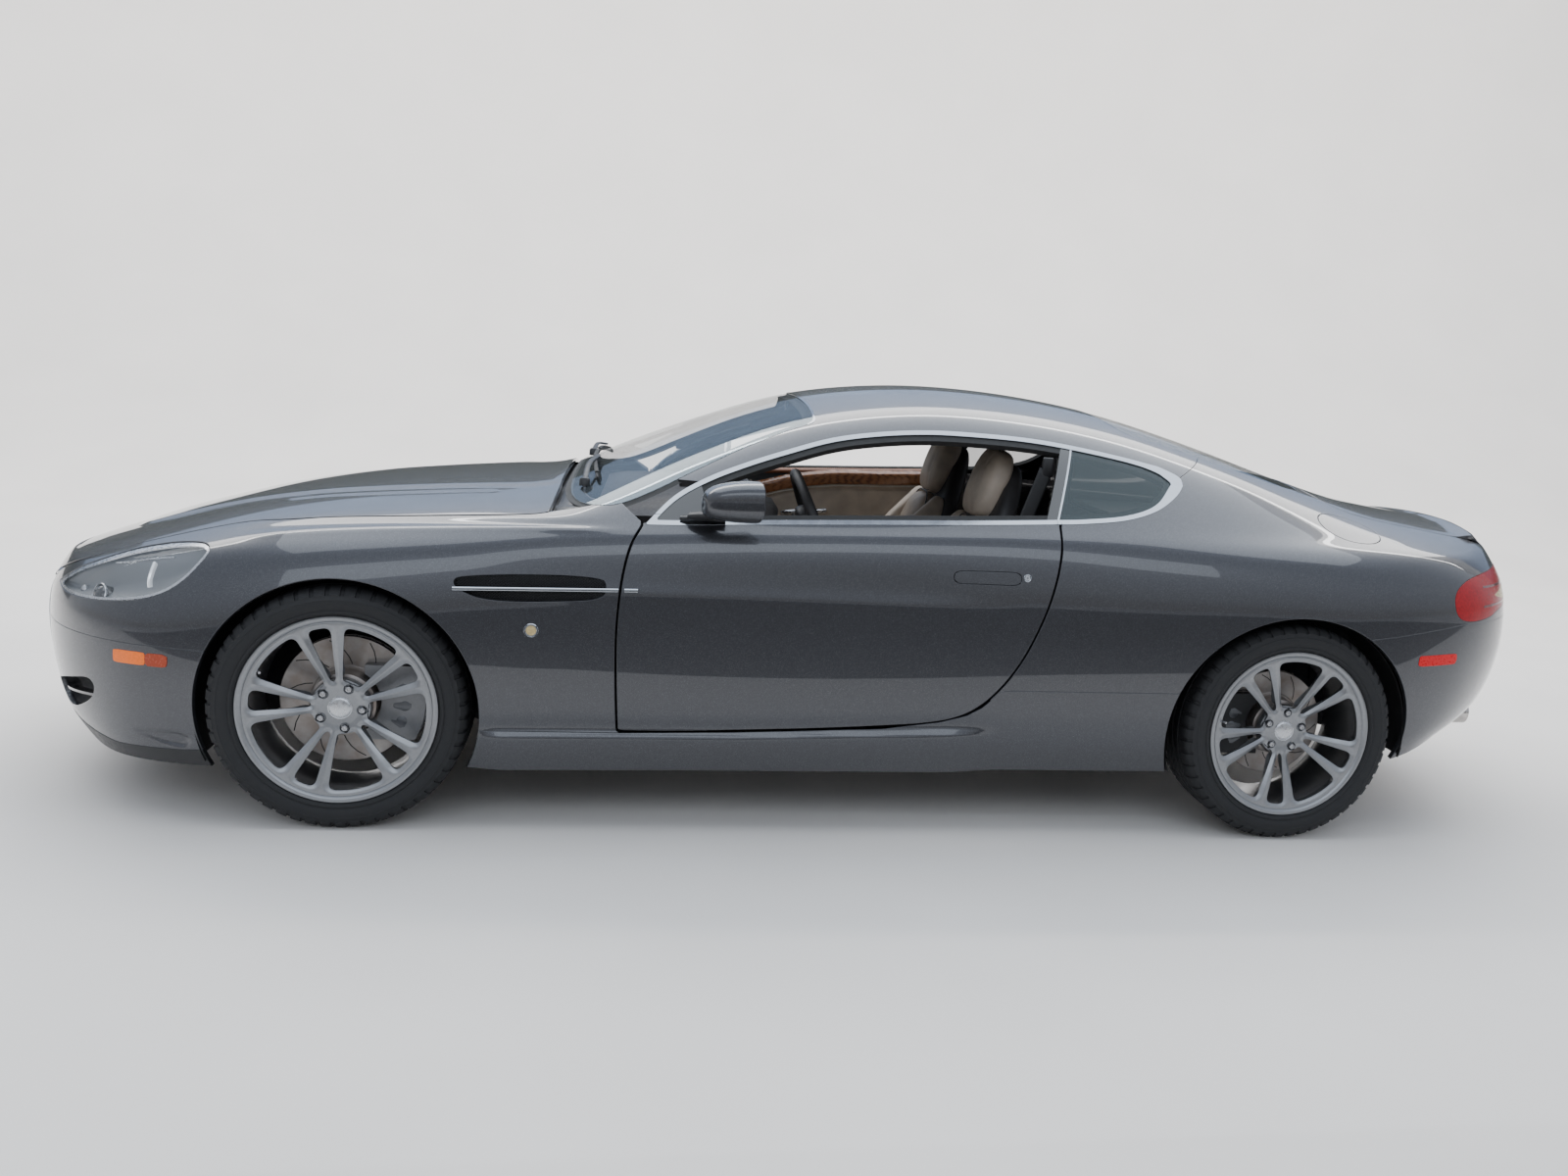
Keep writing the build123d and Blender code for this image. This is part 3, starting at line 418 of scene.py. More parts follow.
def build_skin(nu=430, nv=168):
    t = np.concatenate([[0], np.cumsum(np.maximum(np.linalg.norm(np.diff(NET[:, 2], axis=0), axis=1), 1e-6) ** 0.75)])
    # spread samples evenly along the waist row
    uu = np.linspace(t[0], t[-1], 4000)
    rows = []
    for r in range(9):
        Q = NET[:, r]; m = slopes(t, Q)
        for e, (a, b) in ((0, (0, 1)), (-1, (-1, -2))):
            h = abs(t[b] - t[a]); m[e] = 0; sg = 1 if e == 0 else -1
            m[e, 1] = sg * 1.35 * (Q[b, 1] - Q[a, 1]) / h if Q[b, 1] > 1 else 0
            if r > 4: m[e] = sg * 1.2 * (Q[b] - Q[a]) / h
        rows.append((Q, m))
    W = herm(t, *rows[2], uu)
    L = np.concatenate([[0], np.cumsum(np.linalg.norm(np.diff(W, axis=0), axis=1))])
    u = np.interp(np.linspace(0, L[-1], nu), L, uu)
    R = np.stack([herm(t, Q, m, u) for Q, m in rows], 1)
    G = np.zeros((nu, nv, 3)); VV = np.zeros((nu, nv))
    # v knots chosen once so that rows stay lined up
    vk = np.linspace(0, 8, nv)
    for k in range(nu):
        Q = R[k]; ch = np.maximum(np.linalg.norm(np.diff(Q, axis=0), axis=1), 1e-6) ** 0.5
        tt = np.concatenate([[0], np.cumsum(ch)]); m = slopes(tt, Q)
        m[-1] = 0; m[-1, 1] = (Q[-1, 1] - Q[-2, 1]) / (tt[-1] - tt[-2])
        G[k] = herm(tt, Q, m, np.interp(vk, np.arange(9), tt))
    return G, vk


def gauss_rows(G, sig, axis, mode_lo, mode_hi):
    """blur along one axis of the point grid; ends continue by mirror in y or by odd reflection"""
    G = np.moveaxis(G, axis, 0); n = len(G); k = int(3 * sig) + 1
    def ext(A, mode):
        if mode == "mir":
            B = A.copy(); B[..., 1] *= -1; return B
        return None
    lo = G[1:k + 1][::-1].copy(); hi = G[-k - 1:-1][::-1].copy()
    if mode_lo == "mir": lo[..., 1] *= -1
    else: lo = 2 * G[0] - lo
    if mode_hi == "mir": hi[..., 1] *= -1
    else: hi = 2 * G[-1] - hi
    E = np.concatenate([lo, G, hi]); w = np.exp(-0.5 * (np.arange(-k, k + 1) / sig) ** 2); w /= w.sum()
    out = np.zeros_like(G)
    for i, a in enumerate(w): out += a * E[i:i + n]
    return np.moveaxis(out, 0, axis)


G, VK = build_skin()
G = gauss_rows(G, 3.2, 0, "mir", "mir")
G = gauss_rows(G, 2.2, 1, "odd", "mir")
G[:, -1, 1] = 0
G[:, :, 1] = np.maximum(G[:, :, 1], 0)
NU, NV = G.shape[:2]


def normals(G):
    du = np.gradient(G, axis=0); dv = np.gradient(G, axis=1)
    n = np.cross(dv, du)
    # outward for the +y half: n.y > 0 on the side
    s = np.sign(np.nanmean(n[50:-50, 30:60, 1]))
    n = n * s
    l = np.linalg.norm(n, axis=2, keepdims=True)
    n = n / np.maximum(l, 1e-9)
    bad = l[..., 0] < 1e-6
    n[bad] = (0, 0, 1)
    return n


def lerp(x, xp, fp):
    return np.interp(x, xp, fp)


def sstep(a, b, x):
    t = np.clip((x - a) / (b - a), 0, 1)
    return t * t * (3 - 2 * t)


def bump(x, c, w):
    return np.exp(-0.5 * ((x - c) / w) ** 2)


# pressed-in character lines, pushed along the surface normal
N0 = normals(G)
X, Y, Z = G[..., 0], G[..., 1], G[..., 2]
crease_z = lerp(X, [395, 1055, 1480, 1760], [292, 300, 318, 330])
sill_on = sstep(330, 430, X) * (1 - sstep(1650, 1850, X))
D = np.zeros_like(X)
D += sill_on * (13 * (1 - sstep(-16, 2, Z - crease_z)) - 3.0 * bump(Z - crease_z, 14, 12))
# wing ridge and the hollow beside the bonnet
ridge_on = sstep(-330, -150, X) * (1 - sstep(560, 760, X))
D += ridge_on * (3.5 * bump(VK[None, :] + 0 * X, 4.62, 0.14) - 3.2 * bump(VK[None, :] + 0 * X, 4.98, 0.16))
# shallow hollow along the door above the strake line
hol = sstep(250, 500, X) * (1 - sstep(1500, 1900, X))
D += -2.6 * hol * bump(Z, 742, 42) + 1.6 * hol * bump(Z, 690, 14)
G = G + N0 * D[..., None]
G[:, -1, 1] = 0
N0 = normals(G)
GR = np.concatenate([G, N0, (np.arange(NU)[:, None, None] + np.zeros((NU, NV, 1))), VK[None, :, None] + np.zeros((NU, NV, 1))], 2).reshape(-1, 8)
# the +y half is built first, with faces turning outward
F0 = grid_faces(NU, NV)
_a, _b, _c = G[NU // 2, 40], G[NU // 2 + 1, 40], G[NU // 2, 41]
FLIP = np.dot(np.cross(_b - _a, _c - _a), N0[NU // 2, 40]) < 0
if FLIP: F0 = flipf(F0)
F0 = [q for q in F0]


# ------------------------------------------------------------------ panel outlines (side outlines x,z; top outlines x,|y|)
DLO = smooth_poly([(786, 872), (860, 946), (950, 1000), (1055, 1045), (1169, 1086), (1313, 1131), (1462, 1157), (1611, 1170), (1760, 1171),
                   (1909, 1166), (2049, 1152), (2200, 1130), (2330, 1106), (2392, 1080), (2396, 1056), (2362, 1026), (2285, 984), (2180, 955),
                   (2049, 940), (1953, 934), (1700, 920), (1400, 905), (1100, 889), (900, 877)], corners=(0, 12, 14), n=5)
DOORL = smooth_poly([(778, 871), (752, 823), (735, 756), (725, 675), (720, 566), (724, 428), (731, 296), (900, 298), (1100, 306), (1300, 316),
                     (1473, 328), (1600, 340), (1690, 360), (1760, 398), (1822, 462), (1872, 540), (1908, 620), (1936, 700), (1956, 780),
                     (1968, 860), (1972, 940), (1972, 1300), (778, 1300)], corners=(0, 6, 20, 21, 22), n=5)
BONT = smooth_poly([(-918, 0), (-914, 100), (-905, 200), (-892, 290), (-873, 358), (-840, 424), (-795, 480), (-745, 526), (-695, 558), (-640, 572),
                    (-580, 584), (-479, 609), (-385, 630), (-267, 652), (-156, 692), (25, 718), (209, 740), (366, 756), (470, 763), (508, 758),
                    (524, 740), (530, 600), (533, 400), (535, 200), (535, 0)], corners=(0, 24), n=4)
BONT = np.vstack([BONT, [(535, -300), (-918, -300)]])
COWLT = np.array([(500, -50), (500, 752), (640, 752), (640, -50)], float)
BOOTT = smooth_poly([(2950, 0), (2952, 250), (2960, 400), (2985, 480), (3040, 522), (3120, 524), (3305, 496), (3450, 474), (3560, 450), (3650, 425),
                     (3740, 405), (3800, 400), (3800, 0)], corners=(0, 11, 12), n=4)
WST = smooth_poly([(566, 0), (562, 250), (560, 450), (570, 600), (594, 690), (632, 742), (685, 766), (734, 764), (815, 740), (895, 708), (1062, 640),
                   (1177, 598), (1244, 574), (1262, 556), (1266, 520), (1262, 400), (1250, 250), (1243, 120), (1240, 0)], corners=(0, 18), n=4)
RWT = smooth_poly([(2216, 0), (2220, 200), (2234, 360), (2262, 440), (2310, 470), (2440, 478), (2600, 478), (2760, 468), (2860, 448), (2906, 400),
                   (2926, 300), (2934, 150), (2936, 0)], corners=(0, 12), n=4)
LAMPT = np.array([(-800, 520), (-798, 532), (-740, 572), (-695, 606), (-641, 640), (-560, 664), (-464, 698), (-354, 767)], float)
# headlamp as a side outline, (x, z)
HEAD = smooth_poly([(-812, 588), (-795, 600), (-740, 636), (-641, 681), (-560, 711), (-464, 736), (-390, 748), (-352, 749), (-340, 736), (-352, 712),
                    (-385, 670), (-430, 634), (-480, 611), (-542, 596), (-620, 584), (-700, 578), (-770, 578)], corners=(0, 7), n=5)
TAILL = smooth_poly([(3262, 776), (3285, 806), (3340, 828), (3420, 838), (3500, 842), (3590, 846), (3700, 850), (3800, 850), (3800, 742), (3700, 738),
                     (3590, 734), (3500, 724), (3440, 708), (3360, 700), (3300, 706), (3270, 732)], corners=(7, 8), n=4)
SILLTOP = [(300, 290), (729, 292), (1055, 300), (1480, 320), (1725, 343), (1850, 400)]
VENT = smooth_poly([(296, 712), (380, 722), (500, 730), (614, 731), (680, 724), (676, 706), (640, 694), (566, 686), (470, 684), (340, 684)], n=5)
VENT = smooth_poly([(292, 700), (305, 716), (400, 726), (520, 731), (614, 731), (672, 726), (688, 716), (690, 690), (680, 676), (642, 664), (560, 658),
                    (480, 654), (415, 654), (360, 660), (325, 672), (300, 686)], n=4)
BOOTT = np.vstack([BOOTT, [(3800, -300), (2950, -300)]])
WST = np.vstack([WST, [(1240, -300), (566, -300)]])
RWT = np.vstack([RWT, [(2936, -300), (2216, -300)]])
FLAPC = (2964.0, 690.0)
QWIN = smooth_poly([(2014, 700), (2014, 1300), (2500, 1300), (2500, 700)], corners=(0, 1, 2, 3))
SEAMZ_F = 485.0
GAPW = 2.3                       # half of a shut gap
AR_F, AR_R = 366.0, 372.0        # arch radii in the skin

gx, gy, gz, vv = GR[:, 0], GR[:, 1], GR[:, 2], GR[:, 7]


def inbox(x0=-2000, x1=5000, z0=0, z1=2000, v0=-1, v1=9):
    return (gx >= x0) & (gx <= x1) & (gz >= z0) & (gz <= z1) & (vv >= v0) & (vv <= v1)


FA = np.array(F0)


def part_of(mask):
    """cells with a corner in the mask, as a mesh of their own"""
    q = FA[mask[FA].any(1)]
    used = np.unique(q); idx = np.zeros(len(GR), int); idx[used] = np.arange(len(used))
    return GR[used].copy(), [tuple(r) for r in idx[q].tolist()]


def side(V): return V[:, 0], V[:, 2]
def top(V): return V[:, 0], V[:, 1]


def cut(V, F, fn, lim=0.0):
    return clip(V, F, fn(V), lim)


def keep_in(V, F, poly, plane, lim): x, y = plane(V); return clip(V, F, sdf(poly, x, y), lim)
def keep_out(V, F, poly, plane, lim): x, y = plane(V); return clip(V, F, -sdf(poly, x, y), lim)


def arch_fn(cx, cz, r, sq=1.0):
    return lambda V: np.hypot((V[:, 0] - cx) / sq, V[:, 2] - cz) - r


ARCH_F = arch_fn(0, HUB_F, AR_F)
def ARCH_R(V):
    dx, dz = V[:, 0] - WB, V[:, 2] - HUB_R
    return np.hypot(dx / 1.08, dz) - AR_R


def mesh_mirror(V):
    W = V.copy(); W[:, 1] *= -1; W[:, 4] *= -1
    return W


def quality(V):
    """drop the extra columns"""
    return V[:, :3]


def shade_normals(me, V, nset):
    """empty stub: it sets no normals"""
    pass


PANELS = {}


def panel(name, V, F, mat, replaces=None, body="root", slot="body_paint", rings=EDGE, skip=None, sides="lr", offset=0.0, mirror_name=None, merge=False,
          weld_d=1.2, extra=None):
    """rim a clipped piece of the skin and make it on one or both sides"""
    V, F = weld(V, F, weld_d)
    if offset:
        V = V.copy(); V[:, :3] += V[:, 3:6] * offset
    V2, F2 = rim_rings(V, F, rings, skip) if rings else (V, F)
    out = []
    def make(nm, VV, FF, bd, rep):
        ob = mk(nm, VV[:, :3], FF, mat, bd, slot, norms=VV[:, 3:6])
        if rep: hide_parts(*rep)
        PANELS[nm] = ob
        return ob
    if merge:      # one piece over the centre line, sharing its middle points
        on = np.abs(V2[:, 1]) < 0.5
        V2 = V2.copy(); V2[on, 1] = 0; V2[on, 4] = 0
        W = mesh_mirror(V2)[~on]; k = len(V2)
        idx = np.arange(len(V2)); idx[~on] = k + np.arange((~on).sum())
        VV = np.concatenate([V2, W]); FF = list(F2) + [tuple(int(idx[i]) for i in reversed(q)) for q in F2]
        ob = mk(name, VV[:, :3], FF, mat, body, slot, norms=VV[:, 3:6])
        if replaces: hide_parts(*replaces)
        PANELS[name] = ob
        return ob
    if "r" in sides:
        out.append(make(name.replace("#", "right"), V2, F2, body.replace("#", "right"), [r.replace("#", "right") for r in replaces] if replaces else None))
    if "l" in sides:
        W = mesh_mirror(V2); FF = [tuple(reversed(q)) for q in F2]
        out.append(make(name.replace("#", "left"), W, FF, body.replace("#", "left"), [r.replace("#", "left") for r in replaces] if replaces else None))
    return out


# ------------------------------------------------------------------ materials
def nodes_of(name):
    m = bpy.data.materials.new(name)
    m.use_nodes = True
    nt = m.node_tree
    b = nt.nodes.get("Principled BSDF")
    return m, nt, b


def nd(nt, typ, **k):
    n = nt.nodes.new(typ)
    ins = k.pop("ins", {})
    for a, v in k.items(): setattr(n, a, v)
    for a, v in ins.items():
        n.inputs[a].default_value = v
    return n


def link(nt, a, b): nt.links.new(a, b)


def coords(nt, scale=1.0):
    tc = nd(nt, "ShaderNodeTexCoord")
    mp = nd(nt, "ShaderNodeMapping")
    mp.inputs["Scale"].default_value = (scale,) * 3 if np.ndim(scale) == 0 else scale
    link(nt, tc.outputs["Object"], mp.inputs["Vector"])
    return mp.outputs["Vector"]


def ramp(nt, src, stops):
    r = nd(nt, "ShaderNodeValToRGB")
    e = r.color_ramp.elements
    while len(e) < len(stops): e.new(0.5)
    for k, (p, c) in enumerate(stops):
        e[k].position = p; e[k].color = (*c, 1) if len(c) == 3 else c
    link(nt, src, r.inputs[0])
    return r.outputs["Color"]


def noise(nt, vec, scale, detail=3.0, rough=0.5):
    n = nd(nt, "ShaderNodeTexNoise", ins={"Scale": scale, "Detail": detail, "Roughness": rough})
    link(nt, vec, n.inputs["Vector"])
    return n


def bumpn(nt, b, height, strength, dist, normal=None):
    n = nd(nt, "ShaderNodeBump", ins={"Strength": strength, "Distance": dist})
    link(nt, height, n.inputs["Height"])
    if normal is not None: link(nt, normal, n.inputs["Normal"])
    if b is not None: link(nt, n.outputs["Normal"], b.inputs["Normal"])
    return n.outputs["Normal"]


def maprange(nt, src, a, b, c, d):
    n = nd(nt, "ShaderNodeMapRange", ins={"From Min": a, "From Max": b, "To Min": c, "To Max": d})
    link(nt, src, n.inputs["Value"])
    return n.outputs["Result"]


def base(b, col, rough, metal=0.0, **k):
    b.inputs["Base Color"].default_value = (*col, 1)
    b.inputs["Roughness"].default_value = rough
    b.inputs["Metallic"].default_value = metal
    for a, v in k.items():
        b.inputs[a.replace("_", " ")].default_value = v


M = {}


def simple(name, col, rough, metal=0.0, noise_scale=60, col_var=0.12, rough_var=0.12, bump_s=0.1, bump_d=0.0004, bump_scale=400, **k):
    """plain finish with uneven colour, roughness and a fine surface"""
    m, nt, b = nodes_of(name)
    base(b, col, rough, metal, **k)
    v = coords(nt)
    n = noise(nt, v, noise_scale, 4)
    lo = tuple(max(0, c * (1 - col_var)) for c in col); hi = tuple(min(1, c * (1 + col_var)) for c in col)
    link(nt, ramp(nt, n.outputs["Fac"], [(0.3, lo), (0.7, hi)]), b.inputs["Base Color"])
    link(nt, maprange(nt, n.outputs["Fac"], 0.3, 0.7, max(0.02, rough * (1 - rough_var)), min(1, rough * (1 + rough_var))), b.inputs["Roughness"])
    if bump_s:
        n2 = noise(nt, v, bump_scale, 3)
        bumpn(nt, b, n2.outputs["Fac"], bump_s, bump_d)
    M[name] = m
    return m


def paint(name, col, flake_col, dark=0.75):
    """metallic base coat with flakes under clear lacquer"""
    m, nt, b = nodes_of(name)
    base(b, col, 0.36, 0.78)
    b.inputs["Coat Weight"].default_value = 1.0
    b.inputs["Coat Roughness"].default_value = 0.02
    b.inputs["Coat IOR"].default_value = 1.5
    b.inputs["Specular IOR Level"].default_value = 0.5
    v = coords(nt)
    vo = nd(nt, "ShaderNodeTexVoronoi", ins={"Scale": 1300.0})
    link(nt, v, vo.inputs["Vector"])
    sep = nd(nt, "ShaderNodeSeparateColor"); link(nt, vo.outputs["Color"], sep.inputs[0])
    fl = ramp(nt, sep.outputs[0], [(0.0, tuple(c * dark for c in col)), (0.6, col), (0.93, tuple(c * 1.2 for c in col)), (1.0, flake_col)])
    link(nt, fl, b.inputs["Base Color"])
    link(nt, maprange(nt, sep.outputs[1], 0, 1, 0.28, 0.42), b.inputs["Roughness"])
    # slight orange peel in the base, and each flake tipped a little
    n = noise(nt, v, 420, 1)
    mixh = nd(nt, "ShaderNodeMath", operation="MULTIPLY_ADD", ins={1: 0.25}); link(nt, sep.outputs[2], mixh.inputs[0]); link(nt, n.outputs["Fac"], mixh.inputs[2])
    bumpn(nt, b, mixh.outputs[0], 0.03, 0.0002)
    M[name] = m
    return m


paint("paint_grey", (0.057, 0.058, 0.065), (0.16, 0.165, 0.18))
simple("chrome", (0.39, 0.41, 0.44), 0.10, 1.0, 30, 0.04, 0.3, 0.03, 0.0002, 500)
simple("satin_metal", (0.55, 0.56, 0.58), 0.28, 1.0, 90, 0.08, 0.2, 0.08, 0.0002, 900)
simple("black_trim", (0.012, 0.012, 0.013), 0.38, 0.0, 80, 0.25, 0.2, 0.2, 0.0004, 700)
simple("black_gloss", (0.008, 0.008, 0.009), 0.08, 0.0, 40, 0.2, 0.4, 0.03, 0.0002, 300, Coat_Weight=0.6)
simple("rubber_seal", (0.013, 0.013, 0.013), 0.7, 0.0, 80, 0.2, 0.1, 0.2, 0.0004, 500)
simple("liner", (0.016, 0.016, 0.017), 0.85, 0.0, 25, 0.35, 0.1, 0.6, 0.0015, 180)
simple("inner_sheet", (0.022, 0.023, 0.025), 0.6, 0.2, 30, 0.25, 0.2, 0.15, 0.0006, 90)
simple("underseal", (0.02, 0.02, 0.019), 0.9, 0.0, 14, 0.35, 0.08, 0.8, 0.002, 140)
simple("frit", (0.006, 0.006, 0.007), 0.75, 0.0, 60, 0.2, 0.2, 0.03, 0.0002, 300, Specular_IOR_Level=0.1)


def glass(name, col, alpha, rough=0.015, metal=0.85):
    """pane that mirrors part of the sky and lets the rest through, with a faint smear"""
    m, nt, b = nodes_of(name)
    base(b, col, rough, metal)
    b.inputs["Alpha"].default_value = alpha
    b.inputs["Specular IOR Level"].default_value = 0.6
    v = coords(nt)
    n = noise(nt, v, 9, 4)
    link(nt, maprange(nt, n.outputs["Fac"], 0.3, 0.7, rough * 0.6, rough * 1.6), b.inputs["Roughness"])
    lo = tuple(c * 0.96 for c in col)
    link(nt, ramp(nt, n.outputs["Fac"], [(0.3, lo), (0.7, col)]), b.inputs["Base Color"])
    M[name] = m
    return m


glass("screen_glass", (0.50, 0.58, 0.63), 0.34)
glass("side_glass", (0.24, 0.29, 0.32), 0.62)
glass("lens_clear", (0.80, 0.84, 0.87), 0.08, 0.02, 0.3)
glass("quarter_tint", (0.052, 0.066, 0.070), 0.60, 0.015, 0.7)


# ------------------------------------------------------------------ body panels
def z_belt(x):
    return lerp(x, [700, 786, 900, 1100, 1400, 1700, 1953, 2049, 2180, 2285, 2362, 2396], [860, 872, 877, 889, 905, 920, 934, 940, 955, 984, 1026, 1062])


def z_sill(x):
    return lerp(x, [300, 729, 1055, 1480, 1646, 1722, 1770, 1806, 1822, 1850, 2320, 2600], [290, 292, 300, 321, 345, 367, 395, 433, 446, 449, 458, 462])


def z_rear(x):
    return lerp(x, [2900, 2957, 3050, 3299, 3400, 3900], [636, 644, 655, 690, 694, 694])


K = GAPW + LIP                     # clip line to outline
NOSEF = lambda V: np.minimum(V[:, 2] - SEAMZ_F, V[:, 1] - (428 + 0.02 * (V[:, 2] - 485)))
SEAM_ROOF_Q = lambda V: (V[:, 2] - 1080) * 134 - (V[:, 0] - 2396) * 60      # above: roof side of the rear pillar seam, scaled
def roofq(V):
    # signed distance to the seam across the rear pillar, positive on the roof's side
    ax, az, bx, bz = 2396.0, 1078.0, 2530.0, 1140.0
    dx, dz = bx - ax, bz - az; l = math.hypot(dx, dz)
    d = ((V[:, 2] - az) * dx - (V[:, 0] - ax) * dz) / l
    return np.where(V[:, 0] < 2388, V[:, 2] - lerp(V[:, 0], [1960, 2100, 2388], [990, 1010, 1066]), d)
def pillar(V):
    # seam between front wing and screen pillar: positive above
    ax, az, bx, bz = 712.0, 926.0, 790.0, 868.0
    dx, dz = bx - ax, bz - az; l = math.hypot(dx, dz)
    return ((V[:, 2] - az) * dx - (V[:, 0] - ax) * dz) / l


mid_skip = lambda v: abs(v[1]) < 0.5

# bonnet
V, F = part_of(inbox(-1000, 640, 540, 1100, v0=2.6))
# raised centre with a soft edge, and the crease line near its outer rear end
d = sdf(smooth_poly([(-700, -300), (-690, 205), (-500, 250), (-150, 322), (200, 372), (420, 402), (520, 410), (560, -300)], corners=(0, 6, 7), n=4), V[:, 0], V[:, 1])
V[:, :3] += V[:, 3:6] * (7.0 * sstep(-26, 12, d) * sstep(-900, -560, V[:, 0]))[:, None]
ln = np.array([(-225, 404), (-60, 432), (150, 462), (330, 484)])
dd = np.full(len(V), 1e9)
for (ax, ay), (bx, by) in zip(ln[:-1], ln[1:]):
    t = np.clip(((V[:, 0] - ax) * (bx - ax) + (V[:, 1] - ay) * (by - ay)) / ((bx - ax) ** 2 + (by - ay) ** 2), 0, 1)
    dd = np.minimum(dd, np.hypot(V[:, 0] - ax - t * (bx - ax), V[:, 1] - ay - t * (by - ay)))
V[:, :3] -= V[:, 3:6] * (4.5 * np.exp(-0.5 * (dd / 9) ** 2))[:, None]
V = renormal(V, F)
V, F = keep_in(V, F, BONT, top, K)
V, F = cut(V, F, lambda V: V[:, 7] - 2.9)
panel("bonnet_skin", V, F, M["paint_grey"], ["bonnet"], "bonnet", merge=True, skip=mid_skip)

# boot lid with a raised lip
V, F = part_of(inbox(2900, 3900, 660, 1200, v0=1.6))
lipx = lerp(V[:, 1], [0, 200, 400, 500], [3614, 3600, 3560, 3520])
V[:, 2] += 15 * bump(V[:, 0] - lipx, 0, 26) * sstep(880, 915, V[:, 2])
V[:, 0] += 10 * bump(V[:, 0] - lipx, 4, 22) * sstep(880, 905, V[:, 2])
V = renormal(V, F)
V, F = keep_in(V, F, BOOTT, top, K)
V, F = cut(V, F, lambda V: V[:, 2] - (700 + K))
panel("boot_lid_skin", V, F, M["paint_grey"], ["boot_lid"], "boot_lid", merge=True, skip=mid_skip)

# roof with its pillars
V, F = part_of(inbox(640, 2640, 820, 1400, v0=3.5))
V, F = keep_out(V, F, WST, top, GAPW + 1)
V, F = keep_out(V, F, RWT, top, GAPW + 1)
V, F = keep_out(V, F, DLO, side, 0.0)
V, F = cut(V, F, roofq, 1.2)
V, F = cut(V, F, pillar, 1.4)
V, F = cut(V, F, lambda V: V[:, 2] - z_belt(V[:, 0]), 4.0)
V, F = cut(V, F, lambda V: 2560 - V[:, 0])
panel("roof_skin", V, F, M["paint_grey"], ["roof_frame"], "root", merge=True, skip=mid_skip, rings=[(0.5, 0.3), (0.9, 1.2), (1.0, 3.5), (1.0, 26.0)])

# front wings
VENT_B = np.array(VENT)
V, F = part_of(inbox(-960, 800, 270, 1000))
V, F = keep_out(V, F, BONT, top, K)
V, F = keep_out(V, F, COWLT, top, 1.0)
V, F = keep_out(V, F, WST, top, GAPW + 1)
V, F = keep_out(V, F, HEAD, side, GAPW)
V, F = keep_out(V, F, DOORL, side, K)
V, F = cut(V, F, lambda V: -pillar(V), 1.4)
V, F = cut(V, F, ARCH_F)
V, F = cut(V, F, lambda V: np.where(V[:, 0] < 0, NOSEF(V), 500.0), 1.6)
V, F = cut(V, F, lambda V: np.where(V[:, 0] > 0, V[:, 2] - z_sill(V[:, 0]), 500.0), 1.4)
V, F = cut(V, F, lambda V: 772 - V[:, 0])
V, F = cut(V, F, lambda V: V[:, 1] - 400)
V, F = keep_out(V, F, VENT, side, 0.0)
panel("front_wing_skin_#", V, F, M["paint_grey"], ["front_fender_#"], "root")

# doors
HANDLE = smooth_poly([(1654, 776), (1658, 788), (1672, 793), (1740, 795), (1830, 796), (1846, 791), (1850, 778), (1846, 766), (1830, 761), (1740, 760),
                      (1672, 759), (1658, 764)], n=4)
V, F = part_of(inbox(700, 2010, 270, 960, v0=0.3, v1=5.6))
V, F = keep_in(V, F, DOORL, side, K)
V, F = keep_out(V, F, DLO, side, -10.0)
V, F = cut(V, F, lambda V: z_belt(V[:, 0]) + 4 - V[:, 2])
V, F = cut(V, F, lambda V: V[:, 2] - z_sill(V[:, 0]), 3.4)
V, F = keep_out(V, F, HANDLE, side, 2.6)
panel("door_skin_#", V, F, M["paint_grey"], ["door_#"], "door_#")
V, F = part_of(inbox(1600, 1900, 700, 850, v0=0.3, v1=5.6))
V, F = keep_in(V, F, HANDLE, side, 1.0)
panel("door_handle_#", V, F, M["paint_grey"], None, "door_#", rings=[(0.6, 0.3), (1.0, 1.0), (1.1, 12.0)], offset=1.2)

# sills
V, F = part_of(inbox(300, 2600, 140, 520, v1=3.4))
V, F = cut(V, F, lambda V: z_sill(V[:, 0]) - V[:, 2], 1.4)
V, F = cut(V, F, ARCH_F)
V, F = cut(V, F, ARCH_R)
V, F = cut(V, F, lambda V: np.minimum(V[:, 0] - 300, 2420 - V[:, 0]))
panel("sill_skin_#", V, F, M["paint_grey"], ["sills"], "root")

# rear quarters, the left one with the filler hole
def quarter(side_name):
    V, F = part_of(inbox(1700, 3900, 420, 1200))
    V, F = keep_out(V, F, DOORL, side, K)
    V, F = keep_out(V, F, RWT, top, GAPW + 1)
    V, F = keep_out(V, F, DLO, side, 0.0)
    V, F = keep_out(V, F, BOOTT, top, K)
    V, F = keep_out(V, F, TAILL, side, GAPW)
    V, F = cut(V, F, lambda V: -roofq(V), 1.2)
    V, F = cut(V, F, ARCH_R)
    V, F = cut(V, F, lambda V: V[:, 2] - np.where(V[:, 0] > WB, z_rear(V[:, 0]), z_sill(V[:, 0])), 1.4)
    V, F = cut(V, F, lambda V: V[:, 0] - 1790)
    if side_name == "left":
        V, F = cut(V, F, lambda V: np.where(V[:, 2] > 860, np.hypot((V[:, 0] - FLAPC[0]) / 1.18, V[:, 1] - FLAPC[1]) - 88, 100.0))
    panel("rear_quarter_skin_" + side_name, V, F, M["paint_grey"], ["quarter_panel_" + side_name], "root", sides=side_name[0])
quarter("left"); quarter("right")
V, F = part_of(inbox(2700, 3200, 800, 1100))
V, F = cut(V, F, lambda V: np.where(V[:, 2] > 860, 84.0 - np.hypot((V[:, 0] - FLAPC[0]) / 1.18, V[:, 1] - FLAPC[1]), -100.0))
